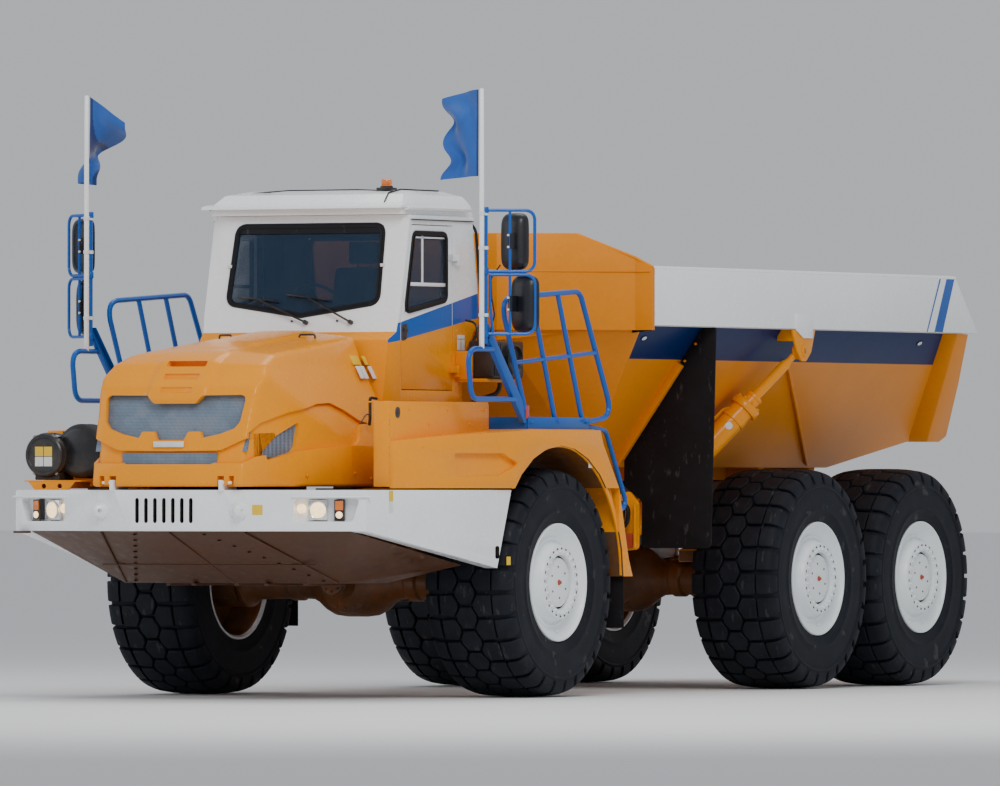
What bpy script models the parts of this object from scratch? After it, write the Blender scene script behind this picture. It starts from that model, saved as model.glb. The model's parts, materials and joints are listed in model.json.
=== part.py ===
"""Articulated dump truck, six driven wheels, built as an assembly of separate pieces.

The front unit (cab, hood, bumper, front axle) and the rear unit (frame, two axles, dump body) meet at a
hitch that steers about a vertical pin and rolls about a fore-and-aft pin.

Metres. +Z is up, -Y is forward and +X is the truck's left. While it is being modelled every place along
Y is measured from the front axle. place_along_y() then moves the whole truck so that its origin is under
the middle of its length, on the ground.
"""
import math

import bmesh
import bpy
from mathutils import Matrix, Vector

# ---------------------------------------------------------------- driving dimensions
GAP = 0.0003            # between pieces that touch
CLEAR = 0.006           # between pieces that move past each other

TYRE_RADIUS = 0.88
TYRE_WIDTH = 0.74
TRACK = 2.82            # between the tyres' middle planes
RIM_RADIUS = 0.455
WHEELBASE = 4.385       # front axle to middle axle
BOGIE_SPREAD = 1.835    # middle axle to rear axle
AXLE_TUBE_RADIUS = 0.13
AXLE_BOWL_RADIUS = 0.27
AXLE_HALF_LENGTH = 1.00

FRONT_END = -3.00       # bumper face
BUMPER_TOP = 1.59
BUMPER_DEPTH = 0.31
BUMPER_WALL = 0.10
OVERALL_HALF_WIDTH = 1.81   # over the fenders
FENDER_INNER = TRACK / 2 - TYRE_WIDTH / 2 - 0.06    # the fender's edge over the rail

RAIL_HALF_SPACING = 0.48    # frame rails, from the middle of the truck
RAIL_WIDTH = 0.12
FRONT_RAIL_BOTTOM = 1.30
FRONT_RAIL_TOP = 1.52

HITCH_Y = 1.36
HITCH_Z = 1.15          # roll axis
HITCH_PIN_RADIUS = 0.055
ROLL_TUBE_RADIUS = 0.15

CAB_HALF_WIDTH = 0.86
CAB_FLOOR = 2.27
CAB_TOP = 3.70
CAB_WALL = 0.045
ROOF_HEIGHT = 0.20

BODY_TIP_DEGREES = 70.0
BODY_PIVOT_Y = 6.50
BODY_PIVOT_Z = 1.50
BODY_PIN_RADIUS = 0.05
BODY_WALL = 0.04
BODY_FLOOR = 1.77
BODY_BAND_TOP = 2.87    # top of the sloping side walls
BODY_BAND_HALF_WIDTH = 1.62
BODY_WALL_SLOPE = 0.72  # sideways run for each metre of height
BODY_FRONT = 1.60       # front end of the straight side walls
BODY_TAIL_TOP = 7.2794    # rear end of the side walls at the band's top
TAIL_RAKE = 0.70        # rearward run of the tail's edge for each metre down
BOARD_TOP = 3.32
BOARD_HALF_WIDTH = 1.75
BOARD_WALL = 0.15
HEADBOARD_TOP = 3.58
HEADBOARD_FRONT = 0.86
HEADBOARD_HALF_WIDTH = 0.75
HEADBOARD_BOTTOM = 2.75
HEADBOARD_WALL = 0.05
TAIL_FLOOR_START = 6.35
TAIL_FLOOR_END_Z = 2.05

HOIST_BASE = (0.57, 3.10, 1.12)
HOIST_EYE = (1.695, 4.16, 2.70)
HOIST_STROKE_START = 0.15   # from the base pin to the end of the bore
HOIST_GLAND = 1.62          # from the base pin to the barrel's open end
HOIST_RADII = {"barrel": 0.095, "sleeve": 0.068, "rod": 0.042}
HOIST_BALL = 0.058          # at both ends, in cups that let the cylinder tilt

STEER_BASE = (0.50, 0.36, 1.15)
STEER_EYE = (0.40, 1.36, 1.15)
STEER_GLAND = 0.675
STEER_BORE_START = 0.10
STEER_ROD_START = 0.378      # half a stroke above the bore's end
STEER_RADII = {"barrel": 0.055, "rod": 0.03}

RAIL_TUBE = 0.021       # handrail tube radius
RAIL_X = 1.74
MIRROR_POST_Y = -1.14
POLE_Y = MIRROR_POST_Y - 0.055
POLE_TOP = 4.64
POLE_BOTTOM = 2.70

DOOR_HINGE_Y = -0.03
HOOD_HINGE = (-2.955, 1.645)    # y and z of the hood's hinge

SIDES = (("left", 1), ("right", -1))
AXLES = (("front", 0.0), ("middle", WHEELBASE), ("rear", WHEELBASE + BOGIE_SPREAD))

TAIL_END = BODY_TAIL_TOP + TAIL_RAKE * (BODY_BAND_TOP - TAIL_FLOOR_END_Z)
MIDDLE_OF_LENGTH = (FRONT_END + TAIL_END) / 2

# name: base colour, roughness, metallic
FINISHES = {
    "orange_paint": ((0.90, 0.33, 0.02), 0.35, 0.0),
    "white_paint": ((0.80, 0.87, 0.88), 0.35, 0.0),
    "blue_paint": ((0.02, 0.12, 0.60), 0.35, 0.0),
    "frame_paint": ((0.42, 0.17, 0.04), 0.5, 0.0),
    "tyre_rubber": ((0.02, 0.022, 0.028), 0.8, 0.0),
    "black_plastic": ((0.02, 0.02, 0.025), 0.5, 0.0),
    "rubber": ((0.015, 0.012, 0.012), 0.85, 0.0),
    "grey_mesh": ((0.30, 0.38, 0.48), 0.5, 0.3),
    "dark_steel": ((0.10, 0.10, 0.10), 0.5, 0.8),
    "chromed_rod": ((0.75, 0.75, 0.75), 0.12, 1.0),
    "glass": ((0.10, 0.13, 0.16), 0.05, 0.0),
    "flag_cloth": ((0.02, 0.16, 0.65), 0.8, 0.0),
    "seat_cloth": ((0.05, 0.05, 0.06), 0.8, 0.0),
}


# ---------------------------------------------------------------- solids
def mesh_of(points, faces):
    """A closed solid from its corners and its faces, turned to face outwards."""
    solid = bmesh.new()
    corners = [solid.verts.new(point) for point in points]
    for face in faces:
        solid.faces.new([corners[index] for index in face])
    bmesh.ops.recalc_face_normals(solid, faces=solid.faces[:])
    return solid


def prism(outline, axis, low, high):
    """An outline pushed along one axis. Its points are (y, z), (x, z) or (x, y) for X, Y or Z."""
    lift = {
        "X": lambda along, u, v: (along, u, v),
        "Y": lambda along, u, v: (u, along, v),
        "Z": lambda along, u, v: (u, v, along),
    }[axis]
    count = len(outline)
    points = [lift(along, u, v) for along in (low, high) for u, v in outline]
    faces = [list(range(count)), list(range(count, 2 * count))]
    for index in range(count):
        following = (index + 1) % count
        faces.append([index, following, following + count, index + count])
    return mesh_of(points, faces)


def box(x, y, z):
    """A block between two values along each axis."""
    outline = [(x[0], y[0]), (x[1], y[0]), (x[1], y[1]), (x[0], y[1])]
    return prism(outline, "Z", z[0], z[1])


def facing(direction):
    """The turn that takes +Z to a direction."""
    return Vector((0, 0, 1)).rotation_difference(Vector(direction)).to_matrix().to_4x4()


def turned(profile, segments, origin, direction, phase=0.0):
    """A solid of revolution. The profile is (distance along the axis, radius), from pole to pole."""
    turn = Matrix.Translation(origin) @ facing(direction)
    solid = bmesh.new()
    rings = []
    for along, radius in profile:
        if radius == 0:
            rings.append([solid.verts.new(turn @ Vector((0, 0, along)))])
            continue
        ring = []
        for index in range(segments):
            angle = phase + 2 * math.pi * index / segments
            ring.append(solid.verts.new(turn @ Vector((radius * math.cos(angle), radius * math.sin(angle), along))))
        rings.append(ring)
    closed = len(rings[0]) > 1
    pairs = list(zip(rings, rings[1:] + rings[:1] if closed else rings[1:]))
    for ring, following in pairs:
        for index in range(segments):
            step = (index + 1) % segments
            corners = [ring[index % len(ring)], ring[step % len(ring)],
                       following[step % len(following)], following[index % len(following)]]
            solid.faces.new(list(dict.fromkeys(corners)))
    bmesh.ops.recalc_face_normals(solid, faces=solid.faces[:])
    return solid


def rod(start, end, radius, segments=12, phase=0.0):
    """A round bar between two points."""
    span = Vector(end) - Vector(start)
    profile = [(0, 0), (0, radius), (span.length, radius), (span.length, 0)]
    return turned(profile, segments, start, span, phase)


def tube(path, radius, segments=6):
    """A round bar that follows a path, with mitred corners and flat ends."""
    places = [Vector(point) for point in path]
    steps = [(after - before).normalized() for before, after in zip(places, places[1:])]
    side = steps[0].orthogonal().normalized()
    solid = bmesh.new()
    rings = []
    for index, place in enumerate(places):
        before = steps[max(index - 1, 0)]
        after = steps[min(index, len(steps) - 1)]
        if index:
            side = before.rotation_difference(after) @ side if index < len(steps) else side
        middle = (before + after).normalized()
        stretch = 1 / max(middle.dot(after), 0.35)
        across = side - middle * side.dot(middle)
        across.normalize()
        other = middle.cross(across)
        bend = before.cross(after)
        ring = []
        for corner in range(segments):
            angle = 2 * math.pi * (corner + 0.5) / segments
            offset = across * math.cos(angle) * radius + other * math.sin(angle) * radius
            if bend.length > 1e-6:
                outward = middle.cross(bend.normalized())
                offset += outward * offset.dot(outward) * (stretch - 1)
            ring.append(solid.verts.new(place + offset))
        rings.append(ring)
    for ring, following in zip(rings, rings[1:]):
        for corner in range(segments):
            step = (corner + 1) % segments
            solid.faces.new([ring[corner], ring[step], following[step], following[corner]])
    solid.faces.new(rings[0])
    solid.faces.new(rings[-1])
    bmesh.ops.recalc_face_normals(solid, faces=solid.faces[:])
    return solid


def rounded_corner(before, corner, after, radius, steps=3):
    """Points of an arc that rounds one corner of a path."""
    corner = Vector(corner)
    inward = (Vector(before) - corner).normalized()
    outward = (Vector(after) - corner).normalized()
    half = inward.angle(outward) / 2
    reach = radius / math.tan(half)
    centre = corner + (inward + outward).normalized() * (radius / math.sin(half))
    start = corner + inward * reach - centre
    end = corner + outward * reach - centre
    sweep = start.angle(end)
    return [centre + start * (math.sin(sweep * (1 - t)) / math.sin(sweep)) + end * (math.sin(sweep * t) / math.sin(sweep))
            for t in (step / steps for step in range(steps + 1))]


def rounded_path(points, radius):
    """A path whose inner corners are rounded."""
    path = [Vector(points[0])]
    for before, corner, after in zip(points, points[1:], points[2:]):
        path += rounded_corner(before, corner, after, radius)
    return path + [Vector(points[-1])]


def work_object(solid):
    """A scratch object that holds a solid for a modifier."""
    mesh = bpy.data.meshes.new("work")
    solid.to_mesh(mesh)
    solid.free()
    holder = bpy.data.objects.new("work", mesh)
    bpy.context.scene.collection.objects.link(holder)
    return holder


def boolean(operation, solid, *tools, solver="EXACT"):
    """One solid after a Boolean with each of the others in turn."""
    base = work_object(solid)
    others = [work_object(tool) for tool in tools]
    for other in others:
        modifier = base.modifiers.new("boolean", "BOOLEAN")
        modifier.operation = operation
        modifier.solver = solver
        modifier.object = other
    evaluated = base.evaluated_get(bpy.context.evaluated_depsgraph_get())
    result = bmesh.new()
    result.from_mesh(evaluated.to_mesh())
    for holder in [base] + others:
        mesh = holder.data
        bpy.data.objects.remove(holder)
        bpy.data.meshes.remove(mesh)
    bmesh.ops.remove_doubles(result, verts=result.verts[:], dist=0.00002)
    return result


def joined(solid, *others, solver="EXACT"):
    return boolean("UNION", solid, *others, solver=solver)


def cut(solid, *tools, solver="EXACT"):
    return boolean("DIFFERENCE", solid, *tools, solver=solver)


def shared(solid, *others, solver="EXACT"):
    return boolean("INTERSECT", solid, *others, solver=solver)


def mirrored(solid):
    """The same solid on the truck's other side."""
    other = solid.copy()
    bmesh.ops.scale(other, vec=(-1, 1, 1), verts=other.verts[:])
    bmesh.ops.reverse_faces(other, faces=other.faces[:])
    return other


def on_side(solid, side):
    """A solid made for the left side, moved to the side that is asked for."""
    return solid if side > 0 else mirrored(solid)


def bore_radius(pin_radius, segments):
    """A faceted hole that a faceted pin turns in without touching."""
    return pin_radius / math.cos(math.pi / segments) + GAP


# ---------------------------------------------------------------- objects
def finish_material(name):
    """The shared finish of this name."""
    if name in bpy.data.materials:
        return bpy.data.materials[name]
    colour, roughness, metallic = FINISHES[name]
    material = bpy.data.materials.new(name)
    material.use_nodes = True
    shader = material.node_tree.nodes["Principled BSDF"]
    shader.inputs["Base Color"].default_value = (*colour, 1)
    shader.inputs["Roughness"].default_value = roughness
    shader.inputs["Metallic"].default_value = metallic
    return material


def place_along_y(point):
    """A place on the truck, moved so that the origin is under the middle of its length."""
    return Vector((point[0], point[1] - MIDDLE_OF_LENGTH, point[2]))


def publish(name, solid, finish, pivot=(0, 0, 0), smooth=False):
    """Make a named object whose origin is at its pivot."""
    bmesh.ops.translate(solid, vec=-Vector(pivot), verts=solid.verts[:])
    mesh = bpy.data.meshes.new(name)
    solid.to_mesh(mesh)
    solid.free()
    if smooth:
        mesh.shade_smooth()
        mesh.set_sharp_from_angle(angle=math.radians(35))
    mesh.materials.append(finish_material(finish))
    piece = bpy.data.objects.new(name, mesh)
    piece.location = place_along_y(pivot)
    bpy.context.scene.collection.objects.link(piece)
    return piece


# ---------------------------------------------------------------- front unit
BUMPER_BACK = FRONT_END + 2 * BUMPER_WALL     # the flat behind the bumper that the rails meet
WING_START, WING_END = (1.53, -2.60), (OVERALL_HALF_WIDTH, -0.60)


def bumper_outline(inset):
    """Half of the bumper's outline seen from above, from the middle to the end of the wing."""
    if inset:
        return [(0, BUMPER_BACK), (0.60, BUMPER_BACK), (WING_START[0] - inset, WING_START[1] + inset),
                (WING_END[0] - inset, WING_END[1])]
    return [(0, FRONT_END), (0.30, FRONT_END), (0.64, FRONT_END + 0.10), WING_START, WING_END]


def wing_inside(y):
    """How far from the middle the inner face of the bumper's wing is."""
    start = WING_START[1] + BUMPER_WALL
    share = (y - start) / (WING_END[1] - start)
    return WING_START[0] - BUMPER_WALL + share * (WING_END[0] - WING_START[0])


def mirrored_outline(half):
    """A whole outline from its half at positive x."""
    return half + [(-x, y) for x, y in reversed(half) if x > 0]


def build_bumper():
    """The white wrap-around bumper, its wings in front of the wheels and the deck on top of it."""
    bottom = BUMPER_TOP - BUMPER_DEPTH
    wing_bottom = 0.995
    ring = cut(prism(mirrored_outline(bumper_outline(0)), "Z", 0.9, BUMPER_TOP),
               prism(mirrored_outline(bumper_outline(BUMPER_WALL)), "Z", 0.8, BUMPER_TOP + 0.1))
    side_view = [(FRONT_END - 0.1, bottom), (-2.60, bottom), (-0.98, wing_bottom), (-0.80, BUMPER_TOP),
                 (FRONT_END - 0.1, BUMPER_TOP)]
    ring = shared(ring, prism(side_view, "X", -2, 2))
    deck_outline = [(-1.38, -2.56), (1.38, -2.56), (1.42, -2.25), (0.98, -2.25), (0.98, -2.35),
                    (-0.98, -2.35), (-0.98, -2.25), (-1.42, -2.25)]
    front_shelf = prism(mirrored_outline([(0, FRONT_END + 0.05), (0.30, FRONT_END + 0.05), (0.64, -2.86),
                                          (1.50, -2.55), (1.50, -2.54), (0, -2.54)]), "Z", BUMPER_TOP - 0.03, BUMPER_TOP)
    deck = prism(deck_outline, "Z", BUMPER_TOP - 0.03, BUMPER_TOP)
    lugs = []
    for _, side in SIDES:
        lug = box((0.46, 0.49), (HOOD_HINGE[0] - 0.02, -2.75), (BUMPER_TOP - 0.01, HOOD_HINGE[1] + 0.02))
        pin = rod((0.48, *HOOD_HINGE), (0.56, *HOOD_HINGE), 0.012, 10)
        lugs += [on_side(lug, side), on_side(pin, side)]
    body = joined(ring, front_shelf, deck, *lugs)
    publish("bumper", body, "white_paint")


def belly_hull(inset):
    """The pan under the engine: from the bumper's lower edge down and back to a flat bottom."""
    rim = BUMPER_TOP - BUMPER_DEPTH - GAP
    lift = 0.6 if inset else 0
    points = []
    for sign in (1, -1):
        points += [(sign * (0.30 - inset), FRONT_END + 0.03 + inset, rim + lift),
                   (sign * (0.64 - inset), -2.87 + inset, rim + lift),
                   (sign * (1.39 - inset), -2.62 + inset, rim + lift),
                   (sign * (0.95 - inset), -1.95 + inset / 2, 0.88 + inset),
                   (sign * (0.95 - inset), -1.25 - inset, 0.88 + inset),
                   (sign * (1.60 - inset), -1.25 - inset, 1.02 + lift)]
    hull = bmesh.new()
    for point in points:
        hull.verts.new(point)
    bmesh.ops.convex_hull(hull, input=hull.verts[:])
    return hull


def build_belly_plate():
    pan = cut(belly_hull(0), belly_hull(0.03))
    ribs = [box((x - 0.02, x + 0.02), (-1.90, -1.30), (0.86, 0.89)) for x in (-0.6, 0.0, 0.6)]
    publish("belly_plate", joined(pan, *ribs), "frame_paint")


def build_front_frame():
    """Rails, cross members, cab posts, outriggers and the fork that holds the hitch pin."""
    rail_in = RAIL_HALF_SPACING - RAIL_WIDTH / 2
    rail_out = RAIL_HALF_SPACING + RAIL_WIDTH / 2
    front = BUMPER_BACK + GAP
    tail = 1.02
    pieces = []
    for _, side in SIDES:
        pieces.append(on_side(box((rail_in, rail_out), (front, tail), (FRONT_RAIL_BOTTOM, FRONT_RAIL_TOP)), side))
        for y in (-0.86, -0.06):
            pieces.append(on_side(box((rail_out - 0.08, rail_out + 0.10), (y - 0.06, y + 0.06),
                                      (FRONT_RAIL_TOP - 0.02, CAB_FLOOR - GAP)), side))
        box_rest = box((rail_out - 0.02, BOX_OUTER - 0.01), (-1.60, -1.45), (FRONT_RAIL_TOP - 0.08, BUMPER_TOP + 0.013 - GAP))
        fender_rest = box((rail_out - 0.02, FENDER_INNER - GAP), (-0.10, 0.10), (FRONT_RAIL_TOP - 0.02, 1.72))
        fender_post = box((FENDER_INNER - 0.24, FENDER_INNER - GAP), (-0.10, 0.10), (1.68, 2.00))
        bumper_tie = prism([(rail_out - 0.02, -1.14), (wing_inside(-1.14) - GAP, -1.14),
                            (wing_inside(-1.04) - GAP, -1.04), (rail_out - 0.02, -1.04)], "Z", 1.30, 1.40)
        pieces += [on_side(part, side) for part in (box_rest, fender_rest, fender_post, bumper_tie)]
    for y in (-2.70, -1.10, 0.45):
        pieces.append(box((-rail_out + 0.01, rail_out - 0.01), (y, y + 0.12), (FRONT_RAIL_BOTTOM, FRONT_RAIL_TOP - 0.02)))
    for _, side in SIDES:
        pieces.append(on_side(box((0.30, rail_in + 0.01), (-1.95, -1.55), (1.36, 1.42)), side))
    fork_web = box((-0.22, 0.22), (0.84, 0.98), (0.72, FRONT_RAIL_TOP - 0.02))
    wings = box((-rail_out + 0.01, rail_out - 0.01), (0.85, 1.00), (FRONT_RAIL_BOTTOM + 0.01, FRONT_RAIL_TOP - 0.03))
    pieces += [fork_web, wings]
    for low in (0.74, 1.46):
        lug = [(-0.22, 0.86), (0.22, 0.86), (0.16, HITCH_Y + 0.10), (-0.16, HITCH_Y + 0.10)]
        pieces.append(prism(lug, "Z", low, low + 0.10))
    frame = joined(pieces[0], *pieces[1:])
    pin_hole = rod((0, HITCH_Y, 0.5), (0, HITCH_Y, 1.8), bore_radius(HITCH_PIN_RADIUS, 24), 24)
    steer_pins = []
    for _, side in SIDES:
        bracket = box((0.34, STEER_BASE[0] + 0.05), (STEER_BASE[1] - 0.05, STEER_BASE[1] + 0.05),
                      (STEER_BASE[2] + 0.06, FRONT_RAIL_BOTTOM + 0.01))
        pin = rod((STEER_BASE[0], STEER_BASE[1], STEER_BASE[2] - 0.05),
                  (STEER_BASE[0], STEER_BASE[1], STEER_BASE[2] + 0.08), 0.022, 16)
        steer_pins += [on_side(bracket, side), on_side(pin, side)]
    publish("front_frame", joined(cut(frame, pin_hole), *steer_pins), "frame_paint")


def arch_circle(segments=28):
    """The wheel arch's opening, seen from the side."""
    centre_y, centre_z, radius = -0.05, 0.91, 1.02
    return [(centre_y + radius * math.cos(2 * math.pi * index / segments),
             centre_z + radius * math.sin(2 * math.pi * index / segments)) for index in range(segments)]


BOX_FRONT, BOX_REAR = -2.20, -0.64
BOX_OUTER, BOX_INNER = 1.50, 1.44
BOX_TOP = 2.26
LOW_BOX_TOP = 2.045     # the right one, under the air cleaner's upper edge
FENDER_TOP = 2.05
SHELF_TOP = 1.66


def build_fenders():
    """The flared panels around the front wheels, open in front of and above the tyre."""
    bottom = BUMPER_TOP + 0.013
    side_view = [(BOX_FRONT - 0.1, bottom), (BOX_FRONT - 0.1, 1.955), (-0.56, FENDER_TOP), (0.59, FENDER_TOP),
                 (1.12, 0.92), (0.90, 0.92), (0.90, bottom)]
    plan = [(BOX_OUTER + GAP, BOX_FRONT), (BOX_OUTER + 0.03, BOX_FRONT), (OVERALL_HALF_WIDTH, -0.79),
            (OVERALL_HALF_WIDTH, 1.2), (FENDER_INNER, 1.2), (FENDER_INNER, BOX_REAR + GAP),
            (BOX_OUTER + GAP, BOX_REAR + GAP)]
    for name, side in SIDES:
        panel = shared(prism(side_view, "X", 0.5, 2.0), prism(plan, "Z", 0.5, 2.5), solver="MANIFOLD")
        well = prism(arch_circle(), "X", FENDER_INNER - 0.08, 1.795)
        mouth = prism(arch_circle(), "X", 1.70, 2.0)
        publish("fender_" + name, on_side(cut(panel, well, mouth, solver="MANIFOLD"), side), "orange_paint")


def build_side_boxes():
    """The upright panels outside the walkways beside the hood. The right one carries the air cleaner's bracket."""
    bottom = BUMPER_TOP + 0.013
    for name, side in SIDES:
        locker = box((BOX_INNER, BOX_OUTER), (BOX_FRONT, BOX_REAR), (bottom, BOX_TOP if name == "left" else LOW_BOX_TOP))
        if name == "right":
            shelf = box((1.02, 1.49), (-2.53, BOX_FRONT + 0.01), (bottom, SHELF_TOP))
            locker = joined(locker, shelf)
        publish("side_box_" + name, on_side(locker, side), "orange_paint")


AIR_CLEANER_X, AIR_CLEANER_Z, AIR_CLEANER_RADIUS = -1.34, 1.855, 0.165


def build_air_cleaner():
    """The lying canister in front of the right locker, with the wider one behind it."""
    seat = SHELF_TOP + GAP
    small = rod((AIR_CLEANER_X, -2.52, AIR_CLEANER_Z), (AIR_CLEANER_X, BOX_FRONT - GAP, AIR_CLEANER_Z),
                AIR_CLEANER_RADIUS, 20)
    saddle = box((AIR_CLEANER_X - 0.10, AIR_CLEANER_X + 0.10), (-2.45, -2.25), (seat, 1.80))
    wide = rod((-1.09, -2.42, 1.885), (-1.09, BOX_FRONT - GAP, 1.885), 0.205, 20)
    publish("air_cleaner", joined(small, saddle, wide), "black_plastic", smooth=True)


def cab_side_view(inset):
    """The cab seen from the side: nose, windshield, roof, rear wall and the step up at its rear."""
    return [(-1.08 + inset, CAB_FLOOR + inset), (-1.02 + inset, 2.74), (-0.93 + inset, 2.80),
            (-0.73 + inset, CAB_TOP - inset), (0.26 - inset, CAB_TOP - inset), (0.38 - inset, 2.92),
            (0.10 - inset, 2.60), (0.10 - inset, CAB_FLOOR + inset)]


def cab_plan(inset):
    """The cab seen from above, with its front corners cut."""
    half = CAB_HALF_WIDTH - inset
    front = half - 0.08
    return [(-front, -1.2 + inset), (front, -1.2 + inset), (half, -0.90), (half, 0.6), (-half, 0.6), (-half, -0.90)]


DOOR_OUTLINE = [(-0.86, 2.36), (-0.875, 2.84), (-0.70, 3.62), (-0.06, 3.62), (-0.06, 2.36)]
DOOR_WINDOW = [(-0.81, 2.95), (-0.675, 3.56), (-0.16, 3.56), (-0.16, 3.05)]


def grown(outline, margin):
    """An outline moved outwards from its middle by about a margin."""
    middle_u = sum(u for u, _ in outline) / len(outline)
    middle_v = sum(v for _, v in outline) / len(outline)
    result = []
    for u, v in outline:
        away = Vector((u - middle_u, v - middle_v))
        result.append((u + math.copysign(margin, away.x), v + math.copysign(margin, away.y)))
    return result


DOOR_HINGE_HEIGHTS = (2.52, 3.38)
HINGE_PIN_RADIUS = 0.009
DOOR_HINGE_X = CAB_HALF_WIDTH + 0.03


def build_cab_shell():
    """The hollow cab, with its windshield, door and rear window openings and its door hinges."""
    outer = shared(prism(cab_side_view(0), "X", -1, 1), prism(cab_plan(0), "Z", 2, 4))
    inner = shared(prism(cab_side_view(CAB_WALL), "X", -1, 1), prism(cab_plan(CAB_WALL), "Z", 2, 4))
    shell = cut(outer, inner)
    windshield = prism([(-0.66, 3.03), (0.0, 2.92), (0.66, 3.03), (0.64, 3.62), (-0.64, 3.62)], "Y", -1.3, -0.6)
    rear_window = prism([(-0.60, 3.05), (0.60, 3.05), (0.60, 3.55), (-0.60, 3.55)], "Y", 0.1, 0.6)
    doorways = [on_side(prism(grown(DOOR_OUTLINE, CLEAR), "X", CAB_HALF_WIDTH - CAB_WALL - 0.005, 1), side)
                for _, side in SIDES]
    shell = cut(shell, windshield, rear_window, *doorways)
    hinges = []
    for _, side in SIDES:
        for height in DOOR_HINGE_HEIGHTS:
            leaf = box((CAB_HALF_WIDTH - 0.01, DOOR_HINGE_X + 0.012), (DOOR_HINGE_Y - 0.014, DOOR_HINGE_Y + 0.05),
                       (height - 0.06, height - 0.03))
            pin = rod((DOOR_HINGE_X, DOOR_HINGE_Y, height - 0.05), (DOOR_HINGE_X, DOOR_HINGE_Y, height + 0.03),
                      HINGE_PIN_RADIUS, 12)
            hinges += [on_side(leaf, side), on_side(pin, side)]
    publish("cab_shell", joined(shell, *hinges), "white_paint")


def build_doors():
    """The cab doors, hinged at their rear edge, with their windows cut."""
    axis_x = DOOR_HINGE_X
    for name, side in SIDES:
        leaf = prism(DOOR_OUTLINE, "X", CAB_HALF_WIDTH - CAB_WALL, CAB_HALF_WIDTH)
        window = prism(DOOR_WINDOW, "X", 0, 1)
        parts = [cut(leaf, window)]
        for height in DOOR_HINGE_HEIGHTS:
            knuckle = rod((axis_x, DOOR_HINGE_Y, height - 0.03 + GAP), (axis_x, DOOR_HINGE_Y, height + 0.025), 0.02, 12)
            arm = box((CAB_HALF_WIDTH + 0.008, axis_x + 0.012), (DOOR_HINGE_Y - 0.09, DOOR_HINGE_Y - 0.006),
                      (height - 0.028, height + 0.023))
            foot = box((CAB_HALF_WIDTH - 0.002, CAB_HALF_WIDTH + 0.012), (DOOR_HINGE_Y - 0.088, DOOR_HINGE_Y - 0.034),
                       (height - 0.026, height + 0.021))
            parts += [arm, foot, knuckle]
        door = joined(*parts)
        holes = [rod((axis_x, DOOR_HINGE_Y, height - 0.1), (axis_x, DOOR_HINGE_Y, height + 0.1),
                     bore_radius(HINGE_PIN_RADIUS, 12), 12) for height in DOOR_HINGE_HEIGHTS]
        door = cut(door, *holes)
        publish("door_" + name, on_side(door, side), "orange_paint",
                pivot=(side * axis_x, DOOR_HINGE_Y, 2.95))


def build_cab_roof():
    """The roof cap with its overhanging gutter."""
    low = CAB_TOP + GAP
    gutter = box((-CAB_HALF_WIDTH - 0.01, CAB_HALF_WIDTH + 0.01), (-0.86, 0.31), (low, low + 0.05))
    cap_view = [(-0.78, low + 0.04), (-0.66, low + 0.15), (-0.50, low + ROOF_HEIGHT), (0.14, low + ROOF_HEIGHT),
                (0.26, low + 0.15), (0.29, low + 0.04)]
    cap_front = [(-0.82, low + 0.04), (0.82, low + 0.04), (0.79, low + 0.15), (0.70, low + ROOF_HEIGHT),
                 (-0.70, low + ROOF_HEIGHT), (-0.79, low + 0.15)]
    cap = shared(prism(cap_view, "X", -1, 1), prism(cap_front, "Y", -1, 1))
    publish("cab_roof", joined(gutter, cap), "white_paint")


def build_windshield():
    """The front pane, set in its opening along the slope of the cab's face."""
    slope = (0.93 - 0.73) / (CAB_TOP - 2.80)
    face = [(-0.93 + slope * (z - 2.80) + depth, z) for depth, z in
            ((0.012, 2.90), (0.012, 3.64), (0.024, 3.64), (0.024, 2.90))]
    margin = 2 * GAP
    outline = [(-0.66 + margin, 3.03 + margin / 2), (0.0, 2.92 + margin), (0.66 - margin, 3.03 + margin / 2),
               (0.64 - margin, 3.62 - margin), (-0.64 + margin, 3.62 - margin)]
    publish("windshield", shared(prism(face, "X", -1, 1), prism(outline, "Y", -1.3, -0.6)), "glass")


def build_cab_inside():
    """The operator's seat on its pedestal, and the dashboard with its column and steering wheel."""
    floor = CAB_FLOOR + CAB_WALL + GAP
    seat = joined(box((-0.16, 0.16), (-0.36, -0.04), (floor, floor + 0.30)),
                  box((-0.26, 0.26), (-0.45, 0.02), (floor + 0.28, floor + 0.44)),
                  prism([(-0.05, floor + 0.40), (0.03, floor + 1.02), (0.09, floor + 1.02), (0.06, floor + 0.32)],
                        "X", -0.25, 0.25))
    publish("operator_seat", seat, "seat_cloth")
    column = rod((0, -0.86, floor + 0.45), (0, -0.62, floor + 0.70), 0.03, 8)
    wheel = turned([(-0.018, 0.19), (-0.018, 0.225), (0.018, 0.225), (0.018, 0.19)], 20,
                   (0, -0.61, floor + 0.71), (0, 0.24, 0.25))
    spokes = [box((-0.205, 0.205), (-0.63, -0.59), (floor + 0.70, floor + 0.72)),
              box((-0.03, 0.03), (-0.66, -0.58), (floor + 0.66, floor + 0.73))]
    desk_view = [(-0.99, floor), (-0.955, floor + 0.40), (-0.86, floor + 0.485), (-0.83, floor + 0.565),
                 (-0.76, floor + 0.50), (-0.78, floor)]
    desk = prism(desk_view, "X", -0.55, 0.55)
    publish("dashboard", joined(desk, column, *spokes, wheel), "black_plastic")


HOOD_REAR = -1.10
HOOD_HALF_WIDTH = 0.95
HOOD_TOP_SLOPE = 0.11


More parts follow.
